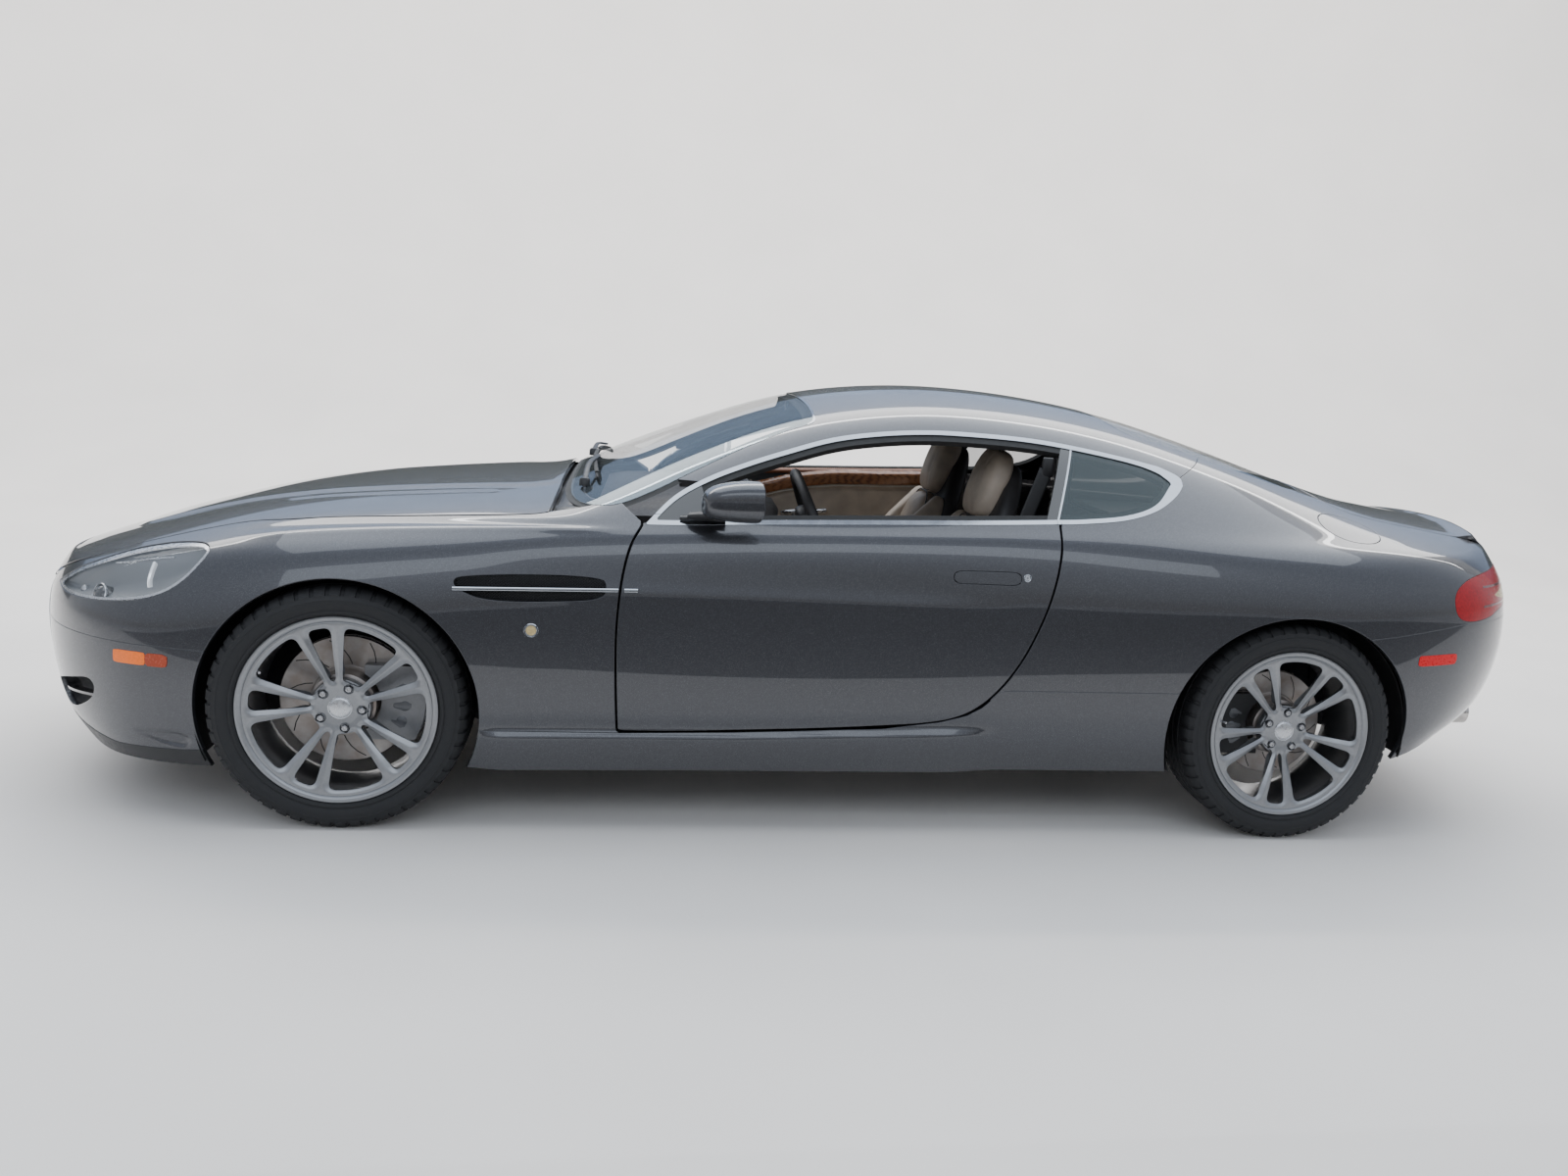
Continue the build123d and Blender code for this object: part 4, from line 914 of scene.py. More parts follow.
panel("filler_flap_skin", V, F, M["paint_grey"], ["fuel_flap"], "fuel_flap", sides="l", rings=[(0.6, 0.3), (1.0, 1.0), (1.1, 9.0)])

# front bumper
MOUTH = smooth_poly([(0, 322), (250, 324), (356, 334), (394, 372), (408, 440), (396, 500), (340, 545), (240, 566), (120, 574), (0, 577)], corners=(0, 9), n=5)
INTAKE = smooth_poly([(500, 250), (560, 246), (640, 262), (716, 300), (742, 340), (726, 366), (660, 352), (560, 326), (500, 306)], n=4)
V, F = part_of(inbox(-1000, -240, 100, 720))
V, F = cut(V, F, lambda V: np.where(V[:, 2] > 560, -sdf(BONT, V[:, 0], V[:, 1]), 100.0), K)
V, F = keep_out(V, F, HEAD, side, GAPW)
V, F = cut(V, F, ARCH_F)
V, F = cut(V, F, lambda V: -NOSEF(V), 1.6)
V, F = cut(V, F, lambda V: -240 - V[:, 0])
MOUTHX = np.vstack([MOUTH, [(-200, 577), (-200, 322)]])
V, F = cut(V, F, lambda V: np.where(V[:, 0] < -700, -sdf(MOUTHX, V[:, 1], V[:, 2]), 100.0))
V, F = cut(V, F, lambda V: np.where(V[:, 0] < -480, -sdf(INTAKE, V[:, 1], V[:, 2]), 100.0))
SPLIT = lambda x: lerp(x, [-960, -905, -761, -589, -390, -300], [240, 232, 217, 196, 206, 214])
FACET = smooth_poly([(-528, 250), (-392, 254), (-388, 213), (-440, 216), (-494, 230)], n=3)
dF = np.where(V[:, 1] > 500, sdf(FACET, V[:, 0], V[:, 2]), -50.0)
V = V.copy(); V[:, :3] -= V[:, 3:6] * (9.0 * sstep(-1, 9, dF) * lerp(V[:, 0], [-528, -392], [0.35, 1.0]))[:, None]
V = renormal(V, F)
VL, FL = cut(V, F, lambda V: SPLIT(V[:, 0]) - V[:, 2], 0.8)
panel("front_splitter", VL, FL, M["black_trim"], None, "root", "black_plastic", merge=True, skip=mid_skip, offset=1.5)
V, F = cut(V, F, lambda V: V[:, 2] - SPLIT(V[:, 0]), 0.8)
panel("front_bumper_skin", V, F, M["paint_grey"], ["front_bumper"], "root", merge=True, skip=mid_skip)

# rear bumper
V, F = part_of(inbox(2880, 3900, 180, 760))
V, F = cut(V, F, lambda V: z_rear(V[:, 0]) - V[:, 2], 1.4)
V, F = keep_out(V, F, TAILL, side, GAPW)
V, F = cut(V, F, ARCH_R)
V, F = cut(V, F, lambda V: np.where(V[:, 1] < 420, 700 - K - V[:, 2], 100.0))
V, F = cut(V, F, lambda V: V[:, 0] - 2900)
V, F = cut(V, F, lambda V: np.where(V[:, 0] > 3300, V[:, 2] - lerp(V[:, 1], [0, 560, 640, 800], [352, 362, 330, 300]), V[:, 2] - 200.0))
V, F = cut(V, F, lambda V: np.where(V[:, 0] > 3550, np.maximum(V[:, 1] - 176, np.abs(V[:, 2] - 511) - 88), 100.0))
panel("rear_bumper_skin", V, F, M["paint_grey"], ["rear_bumper"], "root", merge=True, skip=mid_skip)


# ------------------------------------------------------------------ wheels
simple("tyre_rubber", (0.011, 0.011, 0.012), 0.72, 0.0, 40, 0.3, 0.12, 0.35, 0.0006, 350)
simple("rim_face", (0.265, 0.27, 0.28), 0.33, 0.9, 130, 0.05, 0.12, 0.02, 0.0001, 500, Coat_Weight=0.35, Coat_Roughness=0.1)
simple("rim_dark", (0.10, 0.10, 0.105), 0.42, 0.8, 60, 0.15, 0.2, 0.12, 0.0004, 500)
simple("caliper_grey", (0.115, 0.118, 0.125), 0.38, 0.55, 60, 0.12, 0.15, 0.2, 0.0004, 500, Coat_Weight=0.3)
simple("lug_metal", (0.42, 0.42, 0.43), 0.3, 1.0, 200, 0.15, 0.2, 0.1, 0.0002, 900)
# near-black finish for the disc slots and vent vanes: painted shade standing for the shade in the grooves and in the
# vent
simple("slot_dark", (0.03, 0.028, 0.027), 0.7, 0.3, 80, 0.2, 0.1, 0.2, 0.0003, 400)


def disc_material():
    """turned iron: a rust-brown tint spread at random, fine grain in roughness and surface"""
    m, nt, b = nodes_of("disc_iron")
    base(b, (0.30, 0.27, 0.25), 0.36, 0.9)
    v = coords(nt)
    n = noise(nt, v, 22, 5)
    link(nt, ramp(nt, n.outputs["Fac"], [(0.25, (0.23, 0.19, 0.165)), (0.5, (0.31, 0.28, 0.26)), (0.75, (0.38, 0.36, 0.34))]), b.inputs["Base Color"])
    n2 = noise(nt, coords(nt, (1, 1, 1)), 700, 2)
    link(nt, maprange(nt, n2.outputs["Fac"], 0.2, 0.8, 0.3, 0.5), b.inputs["Roughness"])
    bumpn(nt, b, n2.outputs["Fac"], 0.25, 0.0003)
    M["disc_iron"] = m


disc_material()


def smin(a, b, k):
    h = np.clip(0.5 + 0.5 * (b - a) / k, 0, 1)
    return b * (1 - h) + a * h - k * h * (1 - h)


def seg_dist(x, y, ax, ay, bx, by):
    ex, ey = bx - ax, by - ay
    t = np.clip(((x - ax) * ex + (y - ay) * ey) / (ex * ex + ey * ey), 0, 1)
    return np.hypot(x - ax - t * ex, y - ay - t * ey), t


def wheel_solid(x, z, ang):
    """distance inside the metal of the wheel face, positive in metal"""
    r = np.hypot(x, z)
    ring = 226.0 - r
    sp = np.full(r.shape, 1e3)
    for k in range(5):
        for dd in (-1, 1):
            a0 = math.radians(ang + 72 * k + dd * 10.8); a1 = math.radians(ang + 72 * k + dd * 12.2)
            ax, ay, bx, by = 46 * math.cos(a0), 46 * math.sin(a0), 244 * math.cos(a1), 244 * math.sin(a1)
            d, t = seg_dist(x, z, ax, ay, bx, by)
            w = 7.0 + 11.5 * t ** 1.3
            sp = np.minimum(sp, d - w)
    out = smin(sp, r - 71.0, 13.0)
    out = smin(out, ring, 20.0)
    return -out, sp


def polar_grid(nr, nt, r0, r1):
    r = np.linspace(r0, r1, nr)[:, None] + 0 * np.zeros((1, nt)); th = np.linspace(0, 2 * math.pi, nt, endpoint=False)[None, :] + 0 * r
    f = []
    for i in range(nr - 1):
        for j in range(nt):
            a, b, c, d = i * nt + j, (i + 1) * nt + j, (i + 1) * nt + (j + 1) % nt, i * nt + (j + 1) % nt
            f.append((a, b, c, d))
    return r.ravel(), th.ravel(), f


def norm_of_profile(r, th, prof):
    e = 0.5
    s = (prof(r + e) - prof(r - e)) / (2 * e)      # dy/dr, y outboard negative
    n = np.stack([s * np.cos(th), -np.ones_like(r), s * np.sin(th)], 1)
    return n / np.linalg.norm(n, axis=1)[:, None]


def make_wheel(end, x0, z0, track, hw, ang, tr, tw, dr, dy, dt):
    yc = -track / 2
    deep = 0 if end == "front" else 10
    prof = lambda r: yc - hw + np.interp(r, [0, 30, 50, 74, 100, 140, 180, 215, 236, 250], [34 + deep, 34 + deep, 33 + deep, 29 + deep, 24.5 + deep * 0.8, 17.5 + deep * 0.5, 11.5 + deep * 0.2, 7.5, 5.5, 5])
    r, th, f = polar_grid(58, 320, 30.0, 240.0)
    X, Z = r * np.cos(th), r * np.sin(th)
    Y = prof(r)
    N = norm_of_profile(r, th, prof)
    def drop_at(X, Z):
        r = np.hypot(X, Z); sol, sp = wheel_solid(X, Z, ang)
        tt = np.clip((r - 46) / 198, 0, 1); wloc = 7.0 + 11.5 * tt ** 1.3
        q = np.clip((sp + wloc) / wloc, 0, 1.3); ridge = 6.0 * np.where(q < 0.16, q * q / 0.32, q - 0.08)
        flat = sstep(204, 230, r); hubz = 1 - sstep(60, 96, r)
        return ridge * (1 - flat) * (1 - hubz) + flat * 2.6 * (1 - sstep(0.0, 9.0, sol)) + hubz * 2.0 * (1 - sstep(0.0, 9.0, sol)), sol
    def height(X, Z): return prof(np.hypot(X, Z)) + drop_at(X, Z)[0]
    drop, sol = drop_at(X, Z)
    e_ = 0.6
    sx_ = (height(X + e_, Z) - height(X - e_, Z)) / (2 * e_); sz_ = (height(X, Z + e_) - height(X, Z - e_)) / (2 * e_)
    N = np.stack([sx_, -np.ones_like(sx_), sz_], 1); N /= np.linalg.norm(N, axis=1)[:, None]
    Y = Y + drop
    V = np.concatenate([np.stack([X, Y, Z], 1), N, sol[:, None], r[:, None]], 1)
    V, F = clip(V, f, V[:, 6])
    # lug pockets
    lug = [(57.15 * math.cos(math.radians(ang + 36 + 72 * k)), 57.15 * math.sin(math.radians(ang + 36 + 72 * k))) for k in range(5)]
    for lx, lz in lug:
        V, F = clip(V, F, np.hypot(V[:, 0] - lx, V[:, 2] - lz) - 14.5)
    V, F = weld(V, F, 0.8)
    n0 = len(V)
    V2, F2 = rim_rings(V, F, [(1.2, 0.6), (2.2, 2.4), (3.0, 8.0), (4.5, 24.0), (3.0, 36.0)],
                       skip=lambda v: np.hypot(v[0], v[2]) > 238.5 or np.hypot(v[0], v[2]) < 31.0)
    spk = (V2, F2)
    face = Mesh()
    # lip, barrel, hub
    lip = [(238.5, 5.6), (241.0, 6.4), (243.0, 4.4), (247.0, 1.6), (252.0, 0.3), (256.5, 0.6), (258.6, 2.8), (259.0, 6.5), (257.5, 9.5), (249.0, 11.0), (244.5, 20),
           (240.5, 34), (236, 60), (230, 2 * hw - 60), (240, 2 * hw - 30), (243.5, 2 * hw - 9), (257, 2 * hw - 7), (257.5, 2 * hw - 1), (254, 2 * hw), (238, 2 * hw - 3),
           (231, 2 * hw - 30), (222.5, 2 * hw - 62), (224.5, 66), (229.0, 40), (233.5, 22), (236.5, 12)]
    v, ff = spin([(a, yc - hw + b) for a, b in lip], 120, (0, 0, 0), "y", closed=True)
    face.add(v, ff)
    hubp = [(30, 34 + deep), (76, 44 + deep), (80, 60 + deep), (78, 66 + deep), (26, 66 + deep), (26, 50 + deep)]
    v, ff = spin([(a, yc - hw + b) for a, b in hubp], 60, (0, 0, 0), "y", closed=True)
    face.add(v, ff)
    cap = [(0.01, 29.5), (12, 29.7), (22, 30.6), (26.5, 31.4), (28.2, 33.4), (29.2, 32.6), (31.2, 32.9), (31.8, 35), (31.4, 44)]
    v, ff = spin([(a, yc - hw + b + deep) for a, b in cap], 48, (0, 0, 0), "y", closed=False)
    capm = Mesh().add(v, ff)
    nuts = Mesh()
    for lx, lz in lug:
        yb = yc - hw + 46 + deep
        pocket = [(14.6, -14), (14.0, -12), (13.4, 0), (0.01, 1)]
        v, ff = spin([(a, yb + b) for a, b in pocket], 20, (lx, 0, lz), "y", closed=False)
        face.add(v, ff)
        t = np.arange(6) * math.pi / 3 + 0.3
        ring = np.stack([np.cos(t), np.zeros(6), np.sin(t)], 1)
        lv = np.concatenate([ring * 9.8 + (lx, yb, lz), ring * 9.8 + (lx, yb - 15, lz), ring * 8.2 + (lx, yb - 18.5, lz), ring * 4.4 + (lx, yb - 19.5, lz), ring * 3.8 + (lx, yb - 17.5, lz)])
        lf = grid_faces(5, 6, wrap_v=True) + [tuple(range(24, 30))]
        nuts.add(lv, lf)
    # valve
    va = math.radians(ang + 36 + 72 + 14)
    v, ff = tube([(226 * math.cos(va), yc - hw + 22, 226 * math.sin(va)), (219 * math.cos(va), yc - hw + 4, 219 * math.sin(va)), (216 * math.cos(va), yc - hw - 6 + 4, 216 * math.sin(va))], 3.6, 10)
    nuts.add(v, ff)
    # tyre
    o = tw / 2
    half = [(243.5, -hw + 9.0), (256.0, -hw + 8.4), (259.5, -hw + 4.5), (262.5, -o + 6.0), (266.5, -o + 2.6), (271, -o + 2.2), (274, -o + 4.6), (281, -o + 1.8), (292, -o + 0.2), (300, -o + 0.8), (301, -o + 0.1),
            (303, -o + 0.3), (304, -o + 1.4), (tr - 22, -o + 4.6), (tr - 20.5, -o + 4.3), (tr - 14, -o + 9.5), (tr - 8, -o + 15.5), (tr - 4, -o + 22), (tr - 1.4, -o + 31)]
    g = []
    w4 = (o - 31)
    for c in (-0.52, 0.0, 0.52) if end == "front" else (-0.6, -0.2, 0.2, 0.6):
        yy = c * w4 * 1.02
        g += [(tr - 0.2, yy - 5.2), (tr - 7.5, yy - 4.2), (tr - 7.5, yy + 4.2), (tr - 0.2, yy + 5.2)]
    full = half + g + [(half[i][0], -half[i][1]) for i in (18, 17, 16, 15, 13, 9, 7, 4, 3, 1, 0)]
    pr = np.array(full)
    nseg = 52
    th = np.concatenate([(k + np.array([0.0, 0.52, 0.56, 0.80, 0.84])) * 2 * math.pi / nseg for k in range(nseg)])
    V = np.zeros((len(th), len(pr), 3))
    ingroove = np.tile([0, 0, 1, 1, 0], nseg)
    shoulder = (np.abs(pr[:, 1]) > o - 36) & (pr[:, 0] > tr - 21)
    inner = (pr[:, 0] > tr - 1) & (np.abs(pr[:, 1]) < w4)
    for i, (a, gr) in enumerate(zip(th, ingroove)):
        rr = pr[:, 0].copy(); yy = pr[:, 1].copy()
        if gr:
            rr = np.where(shoulder, rr - 4.6, rr)
            yy = np.where(shoulder & (pr[:, 0] < tr - 10), yy * (1 - 2.2 / o), yy)
        skew = np.where(np.abs(yy) < w4 + 14, -0.022 * np.sign(yy) * (1 - np.abs(yy) / (w4 + 14)), 0) if True else 0
        V[i, :, 0] = rr * np.cos(a + skew); V[i, :, 2] = rr * np.sin(a + skew); V[i, :, 1] = yc + yy
    tyre_v, tyre_f = V.reshape(-1, 3), grid_faces(len(th), len(pr), wrap_u=True, wrap_v=True)
    # disc with a hat; its slots and vent vanes are dark strips of painted shade
    ym = yc - 46
    dpts = [(dr, dy - dt / 2 + 1.5), (dr - 1.5, dy - dt / 2), (96, dy - dt / 2), (93, dy - dt / 2 - 2), (88, dy - dt / 2 - 2), (86, ym + 2), (82, ym + 0.3), (27, ym + 0.3), (27, ym + 6.5),
            (79, ym + 6.5), (81, dy + dt / 2), (dr - 1.5, dy + dt / 2), (dr, dy + dt / 2 - 1.5), (dr, dy + 7), (dr - 9, dy + 6.5), (dr - 9, dy - 6.5), (dr, dy - 7)]
    disc_v, disc_f = spin(dpts, 96, (0, 0, 0), "y", closed=True)
    # slots and vanes below are laid on the disc in the dark finish: painted shade for the grooves and the gaps between
    # the vanes
    slots = Mesh()
    for k in range(10):
        a = 2 * math.pi * k / 10 + 0.2
        pts = []
        for s in np.linspace(0, 1, 5):
            rr = 100 + (dr - 108) * s; aa = a + 0.30 * s + 0.10 * s * s
            pts.append((rr * math.cos(aa), dy - dt / 2 - 0.25, rr * math.sin(aa)))
        v, ff = tube(pts, (1.5, 0.5), 6, up=(0, 1, 0)); slots.add(v, ff)
    for k in range(30):                                   # vanes seen in the edge
        a = 2 * math.pi * k / 30
        v, ff = rbox((0, 0, 0), (10, 14, 3.5), 0.8, 1)
        R = np.array(Matrix.Rotation(-a, 3, "Y")); v = v @ R.T + ((dr - 6) * math.cos(a), dy, (dr - 6) * math.sin(a))
        slots.add(v, ff)
    # caliper: body over the disc's edge, pistons, bolts and bridge
    cal = Mesh(); back = end == "front"
    ac = math.radians(-3 if back else 183)
    r_in, r_out = dr - 72, dr + 30
    na, half_a = 26, math.radians(31 if back else 30)
    secs = []
    for i, t in enumerate(np.linspace(-1, 1, na)):
        e = 1 - 0.20 * (abs(t) ** 4)
        a = ac + t * half_a
        y0, y1 = dy - dt / 2 - 32 * (1 - 0.12 * t ** 4), dy + dt / 2 + 29
        ro = r_out - 10 * abs(t) ** 3; ri = r_in + 8 * abs(t) ** 3
        wob = 3.0 * math.cos(t * 9.5)
        sec = [(ri, y0 + 6), (ri + 5, y0 + 1.2), (ri + 22, y0 - 1.0 - wob * 0.6), (ri + 50, y0 - 1.5 - wob), (ro - 16, y0 + 0.5), (ro - 5, y0 + 6), (ro, y0 + 16), (ro, y1 - 14), (ro - 6, y1 - 4), (ro - 18, y1),
               (ri + 5, y1), (ri, y1 - 5), (ri, dy + dt / 2 + 5), (dr + 6, dy + dt / 2 + 5), (dr + 6, dy - dt / 2 - 5), (ri, dy - dt / 2 - 5)]
        secs.append([(q * math.cos(a), y, q * math.sin(a)) for q, y in sec])
    sv = np.array(secs).reshape(-1, 3); m = len(secs[0])
    cal.add(sv, grid_faces(na, m, wrap_v=True) + [tuple(range(m)), tuple(range((na - 1) * m, na * m))[::-1]])
    calt = Mesh()
    for t in (-0.52, 0.0, 0.52):
        a = ac + t * half_a; rc = dr - 22
        c = (rc * math.cos(a), dy - dt / 2 - 31, rc * math.sin(a))
        v, ff = spin([(0.01, -3.5), (14, -3.2), (16.5, -1.6), (17.5, 3)], 24, c, "y", closed=False); cal.add(v, ff)
    for t in (-0.86, -0.3, 0.3, 0.86):
        a = ac + t * half_a
        for rc in (dr + 17,):
            c = (rc * math.cos(a), dy - dt / 2 - 27, rc * math.sin(a))
            v, ff = spin([(0.01, -3), (4.6, -2.8), (5.4, -1.4), (5.4, 6)], 12, c, "y", closed=False); calt.add(v, ff)
    pts = [(q * math.cos(ac + t * half_a), dy - dt / 2 - 22, q * math.sin(ac + t * half_a)) for q, t in ((dr + 26, -0.9), (dr + 33, -0.4), (dr + 34, 0.3), (dr + 27, 0.85))]
    v, ff = tube(catmull(pts, 6), 3.0, 8); calt.add(v, ff)
    sides = (("left", lambda q: q, False), ("right", mirror, True))
    for sd, fn, fl in sides:
        off = np.array([x0, 0, z0]); fx = (lambda F: flipf(F)) if fl else (lambda F: F)
        wb = f"wheel_{end}_{sd}"; kb = f"knuckle_{sd}" if end == "front" else "root"
        def O(nm, v, f_, mat, body, rep=None, sl=None, angle=None):
            ob = mk(nm, fn(np.asarray(v)) + off, fx(f_), M[mat], body, sl, angle=angle)
            if rep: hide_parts(rep)
            return ob
        nn_ = spk[0][:, 3:6] * ((1, -1, 1) if fl else (1, 1, 1))
        mk(f"rim_spokes_{end}_{sd}", fn(spk[0][:, :3].copy()) + off, fx(spk[1]), M["rim_face"], wb, "alloy", norms=nn_)
        O(f"rim_face_{end}_{sd}", np.concatenate(face.v), face.f, "rim_face", wb, f"rim_{end}_{sd}", "alloy", 38)
        O(f"wheel_cap_{end}_{sd}", np.concatenate(capm.v), capm.f, "satin_metal", wb, None, "bright_metal", 40)
        O(f"lug_nuts_{end}_{sd}", np.concatenate(nuts.v), nuts.f, "lug_metal", wb, None, "bright_metal", 35)
        O(f"tyre_tread_{end}_{sd}", tyre_v, tyre_f, "tyre_rubber", wb, f"tyre_{end}_{sd}", "tyre_rubber", 32)
        O(f"brake_disc_{end}_{sd}", disc_v, disc_f, "disc_iron", wb, f"disc_{end}_{sd}", "disc_iron", 30)
        O(f"disc_slots_{end}_{sd}", np.concatenate(slots.v), slots.f, "slot_dark", wb, None, "disc_iron", 40)
        O(f"caliper_{end}_{sd}", np.concatenate(cal.v), cal.f, "caliper_grey", kb, None, "caliper_paint", 40)
        O(f"caliper_bolts_{end}_{sd}", np.concatenate(calt.v), calt.f, "lug_metal", kb, None, "bright_metal", 40)


make_wheel("front", 0.0, 335.3, 1568.0, 112.0, 30.7, 335.3, 235.0, 177.5, -784 + 36, 32)
make_wheel("rear", WB, 337.5, 1562.0, 130.0, 49.5, 337.5, 275.0, 165.0, -781 + 34, 28)
# ------------------------------------------------------------------ glass, bright trim and lamps
simple("lamp_bowl", (0.15, 0.16, 0.17), 0.45, 0.25, 6, 0.05, 0.1, 0.0)
simple("lamp_strip", (0.85, 0.88, 0.92), 0.12, 0.6, 200, 0.05, 0.2, 0.05, 0.0002, 400, Emission_Strength=0.25, Emission_Color=(0.9, 0.95, 1.0, 1))
simple("white_lens", (0.52, 0.40, 0.19), 0.25, 0.0, 160, 0.12, 0.2, 0.2, 0.0005, 900, Coat_Weight=0.3)
# the amber pair is one lens in two copies: the lighter glowing one is painted light, the darker one is painted shade
simple("amber_lit_copy", (0.86, 0.155, 0.006), 0.22, 0.0, 180, 0.1, 0.2, 0.35, 0.0008, 1400, Coat_Weight=0.3, Specular_IOR_Level=0.3, Emission_Strength=0.12, Emission_Color=(1.0, 0.17, 0.01, 1))
simple("amber_shaded_copy", (0.36, 0.045, 0.012), 0.25, 0.0, 180, 0.14, 0.2, 0.35, 0.0008, 1400, Coat_Weight=0.3, Specular_IOR_Level=0.3)
simple("red_lens", (0.27, 0.0015, 0.005), 0.2, 0.0, 120, 0.25, 0.2, 0.25, 0.0008, 900, Coat_Weight=0.2, Specular_IOR_Level=0.25, Emission_Strength=0.03, Emission_Color=(1.0, 0.02, 0.03, 1))
simple("red_marker", (0.50, 0.002, 0.006), 0.3, 0.0, 180, 0.14, 0.2, 0.35, 0.0008, 1400, Coat_Weight=0.1, Specular_IOR_Level=0.2, Emission_Strength=0.1, Emission_Color=(1.0, 0.03, 0.03, 1))
simple("red_deep", (0.12, 0.003, 0.005), 0.2, 0.2, 120, 0.25, 0.2, 0.25, 0.0008, 900, Coat_Weight=0.8)
simple("mirror_glass", (0.62, 0.66, 0.70), 0.03, 1.0, 12, 0.03, 0.4, 0.0)
simple("mesh_black", (0.02, 0.02, 0.021), 0.35, 0.3, 80, 0.2, 0.2, 0.1, 0.0003, 400)
simple("plate_blank", (0.62, 0.63, 0.64), 0.45, 0.3, 60, 0.05, 0.15, 0.15, 0.0004, 300)
simple("exhaust_steel", (0.55, 0.52, 0.50), 0.2, 1.0, 60, 0.15, 0.4, 0.08, 0.0003, 300)


def spiece(name, V, F, mat, body="root", slot=None, sides="lr", rings=((0.4, 0.3), (0.7, 1.0), (0.7, 5.0)), offset=0.0, skip=None, merge=False, replaces=None, weld_d=1.0):
    if len(F) == 0:
        print("EMPTY", name); return []
    return panel(name, V, F, M[mat] if isinstance(mat, str) else mat, replaces, body, slot, rings=list(rings) if rings else None, skip=skip, sides=sides, offset=offset, merge=merge, weld_d=weld_d)


# windscreen and rear window with black borders and rubber round them
for nm, poly, x0, x1, mat, wb, rep in (("windscreen", WST, 540, 1300, "screen_glass", 34, "windscreen"), ("rear_window", RWT, 2200, 2960, "side_glass", 30, "rear_window")):
    V0, F0_ = part_of(inbox(x0, x1, 820, 1400, v0=3.5))
    V, F = keep_in(V0.copy(), F0_, poly, top, 2.2)
    V1, F1 = keep_in(V, F, poly, top, 2.2)
    spiece(nm + "_glass", V1, F1, mat, slot="glass" if nm == "windscreen" else "tinted_glass", merge=True, skip=mid_skip, offset=-1.6, rings=[(0.3, 0.3), (0.6, 1.2), (0.6, 5.5)], replaces=[rep])
    V2, F2 = keep_out(V, F, poly, top, -wb)
    spiece(nm + "_border", V2, F2, "frit", slot="gloss_black", merge=True, skip=mid_skip, offset=-7.0, rings=None)
    V3, F3 = keep_in(V0.copy(), F0_, poly, top, -14.0)
    V3, F3 = keep_out(V3, F3, poly, top, -6.0)
    spiece(nm + "_rubber", V3, F3, "rubber_seal", slot="black_plastic", merge=True, skip=mid_skip, offset=-6.4, rings=None)
# bright line over the header of the windscreen
V, F = part_of(inbox(1200, 1300, 1100, 1400, v0=5.0))
d = sdf(WST, V[:, 0], V[:, 1])
V, F = cut(V, F, lambda V: 2.4 - sdf(WST, V[:, 0], V[:, 1]))
V, F = cut(V, F, lambda V: sdf(WST, V[:, 0], V[:, 1]) + 4.4)
V, F = cut(V, F, lambda V: V[:, 0] - (1226 + 0.03 * V[:, 1]))
spiece("windscreen_header_trim", V, F, "chrome", slot="bright_metal", merge=True, skip=mid_skip, offset=1.2, rings=[(0.3, 0.5), (0.4, 3)])

# cowl under the trailing edge of the bonnet: black, set down, with ribs
V, F = part_of(inbox(440, 760, 760, 1100, v0=3.6))
cow = smooth_poly([(470, 0), (470, 300), (468, 600), (474, 724), (520, 770), (600, 774), (668, 772), (676, 740), (640, 690), (610, 600), (600, 400), (604, 200), (606, 0)], corners=(0, 12), n=4)
cow = np.vstack([cow, [(606, -300), (470, -300)]])
V, F = keep_in(V, F, cow, top, 0.5)
f = sdf(BONT, V[:, 0], V[:, 1]); w = sdf(WST, V[:, 0], V[:, 1])
V[:, :3] -= V[:, 3:6] * (9 + 10 * sstep(-30, 5, f) + 2.0 * np.cos(V[:, 1] * 0.35))[:, None]
V = renormal(V, F)
spiece("cowl_skin", V, F, "black_trim", slot="black_plastic", merge=True, skip=mid_skip, rings=None, replaces=["cowl_panel"])

# ---- side window surround
def ring_w(V):
    """width of the bright surround, wider round the rear corner"""
    return 11.0 + 22 * np.exp(-(((V[:, 0] - 2390) / 90) ** 2 + ((V[:, 2] - 1050) / 60) ** 2))
PIL0 = lambda z: lerp(z, [936, 1154], [1930, 2014])        # front edge of the rear pillar strip
PIL1 = lambda z: lerp(z, [936, 1154], [1960, 2044])        # its rear edge
def doorside(V):
    """positive on the part of the surround that goes with the door"""
    return np.minimum(z_belt(V[:, 0]) + 26 - V[:, 2], 1964 - V[:, 0])
base_V, base_F = part_of(inbox(740, 2480, 820, 1240, v0=2.5, v1=7.6))
sd = lambda V: sdf(DLO, V[:, 0], V[:, 2])
V, F = cut(base_V.copy(), base_F, lambda V: sd(V) + 0.2)
V, F = cut(V, F, lambda V: ring_w(V) - sd(V))
Va, Fa = cut(V, F, lambda V: doorside(V), 0.6)
spiece("window_trim_lower_#", Va, Fa, "chrome", "door_#", "bright_metal", offset=1.6, rings=[(0.4, 0.5), (0.7, 1.6), (0.7, 9.0)])
Va, Fa = cut(V, F, lambda V: -doorside(V), 0.6)
spiece("window_trim_upper_#", Va, Fa, "chrome", "root", "bright_metal", offset=1.6, rings=[(0.4, 0.5), (0.7, 1.6), (0.7, 9.0)])
# black seal inside the bright line
V, F = cut(base_V.copy(), base_F, lambda V: sd(V) - ring_w(V) + 3)
V, F = cut(V, F, lambda V: ring_w(V) + 15 - sd(V))
Va, Fa = cut(V, F, lambda V: doorside(V), 0.8)
spiece("window_seal_lower_#", Va, Fa, "rubber_seal", "door_#", "black_plastic", offset=-3.0, rings=[(0.6, 0.6), (1.0, 10.0)])
Va, Fa = cut(V, F, lambda V: -doorside(V), 0.8)
spiece("window_seal_upper_#", Va, Fa, "rubber_seal", "root", "black_plastic", offset=-3.0, rings=[(0.6, 0.6), (1.0, 18.0)])
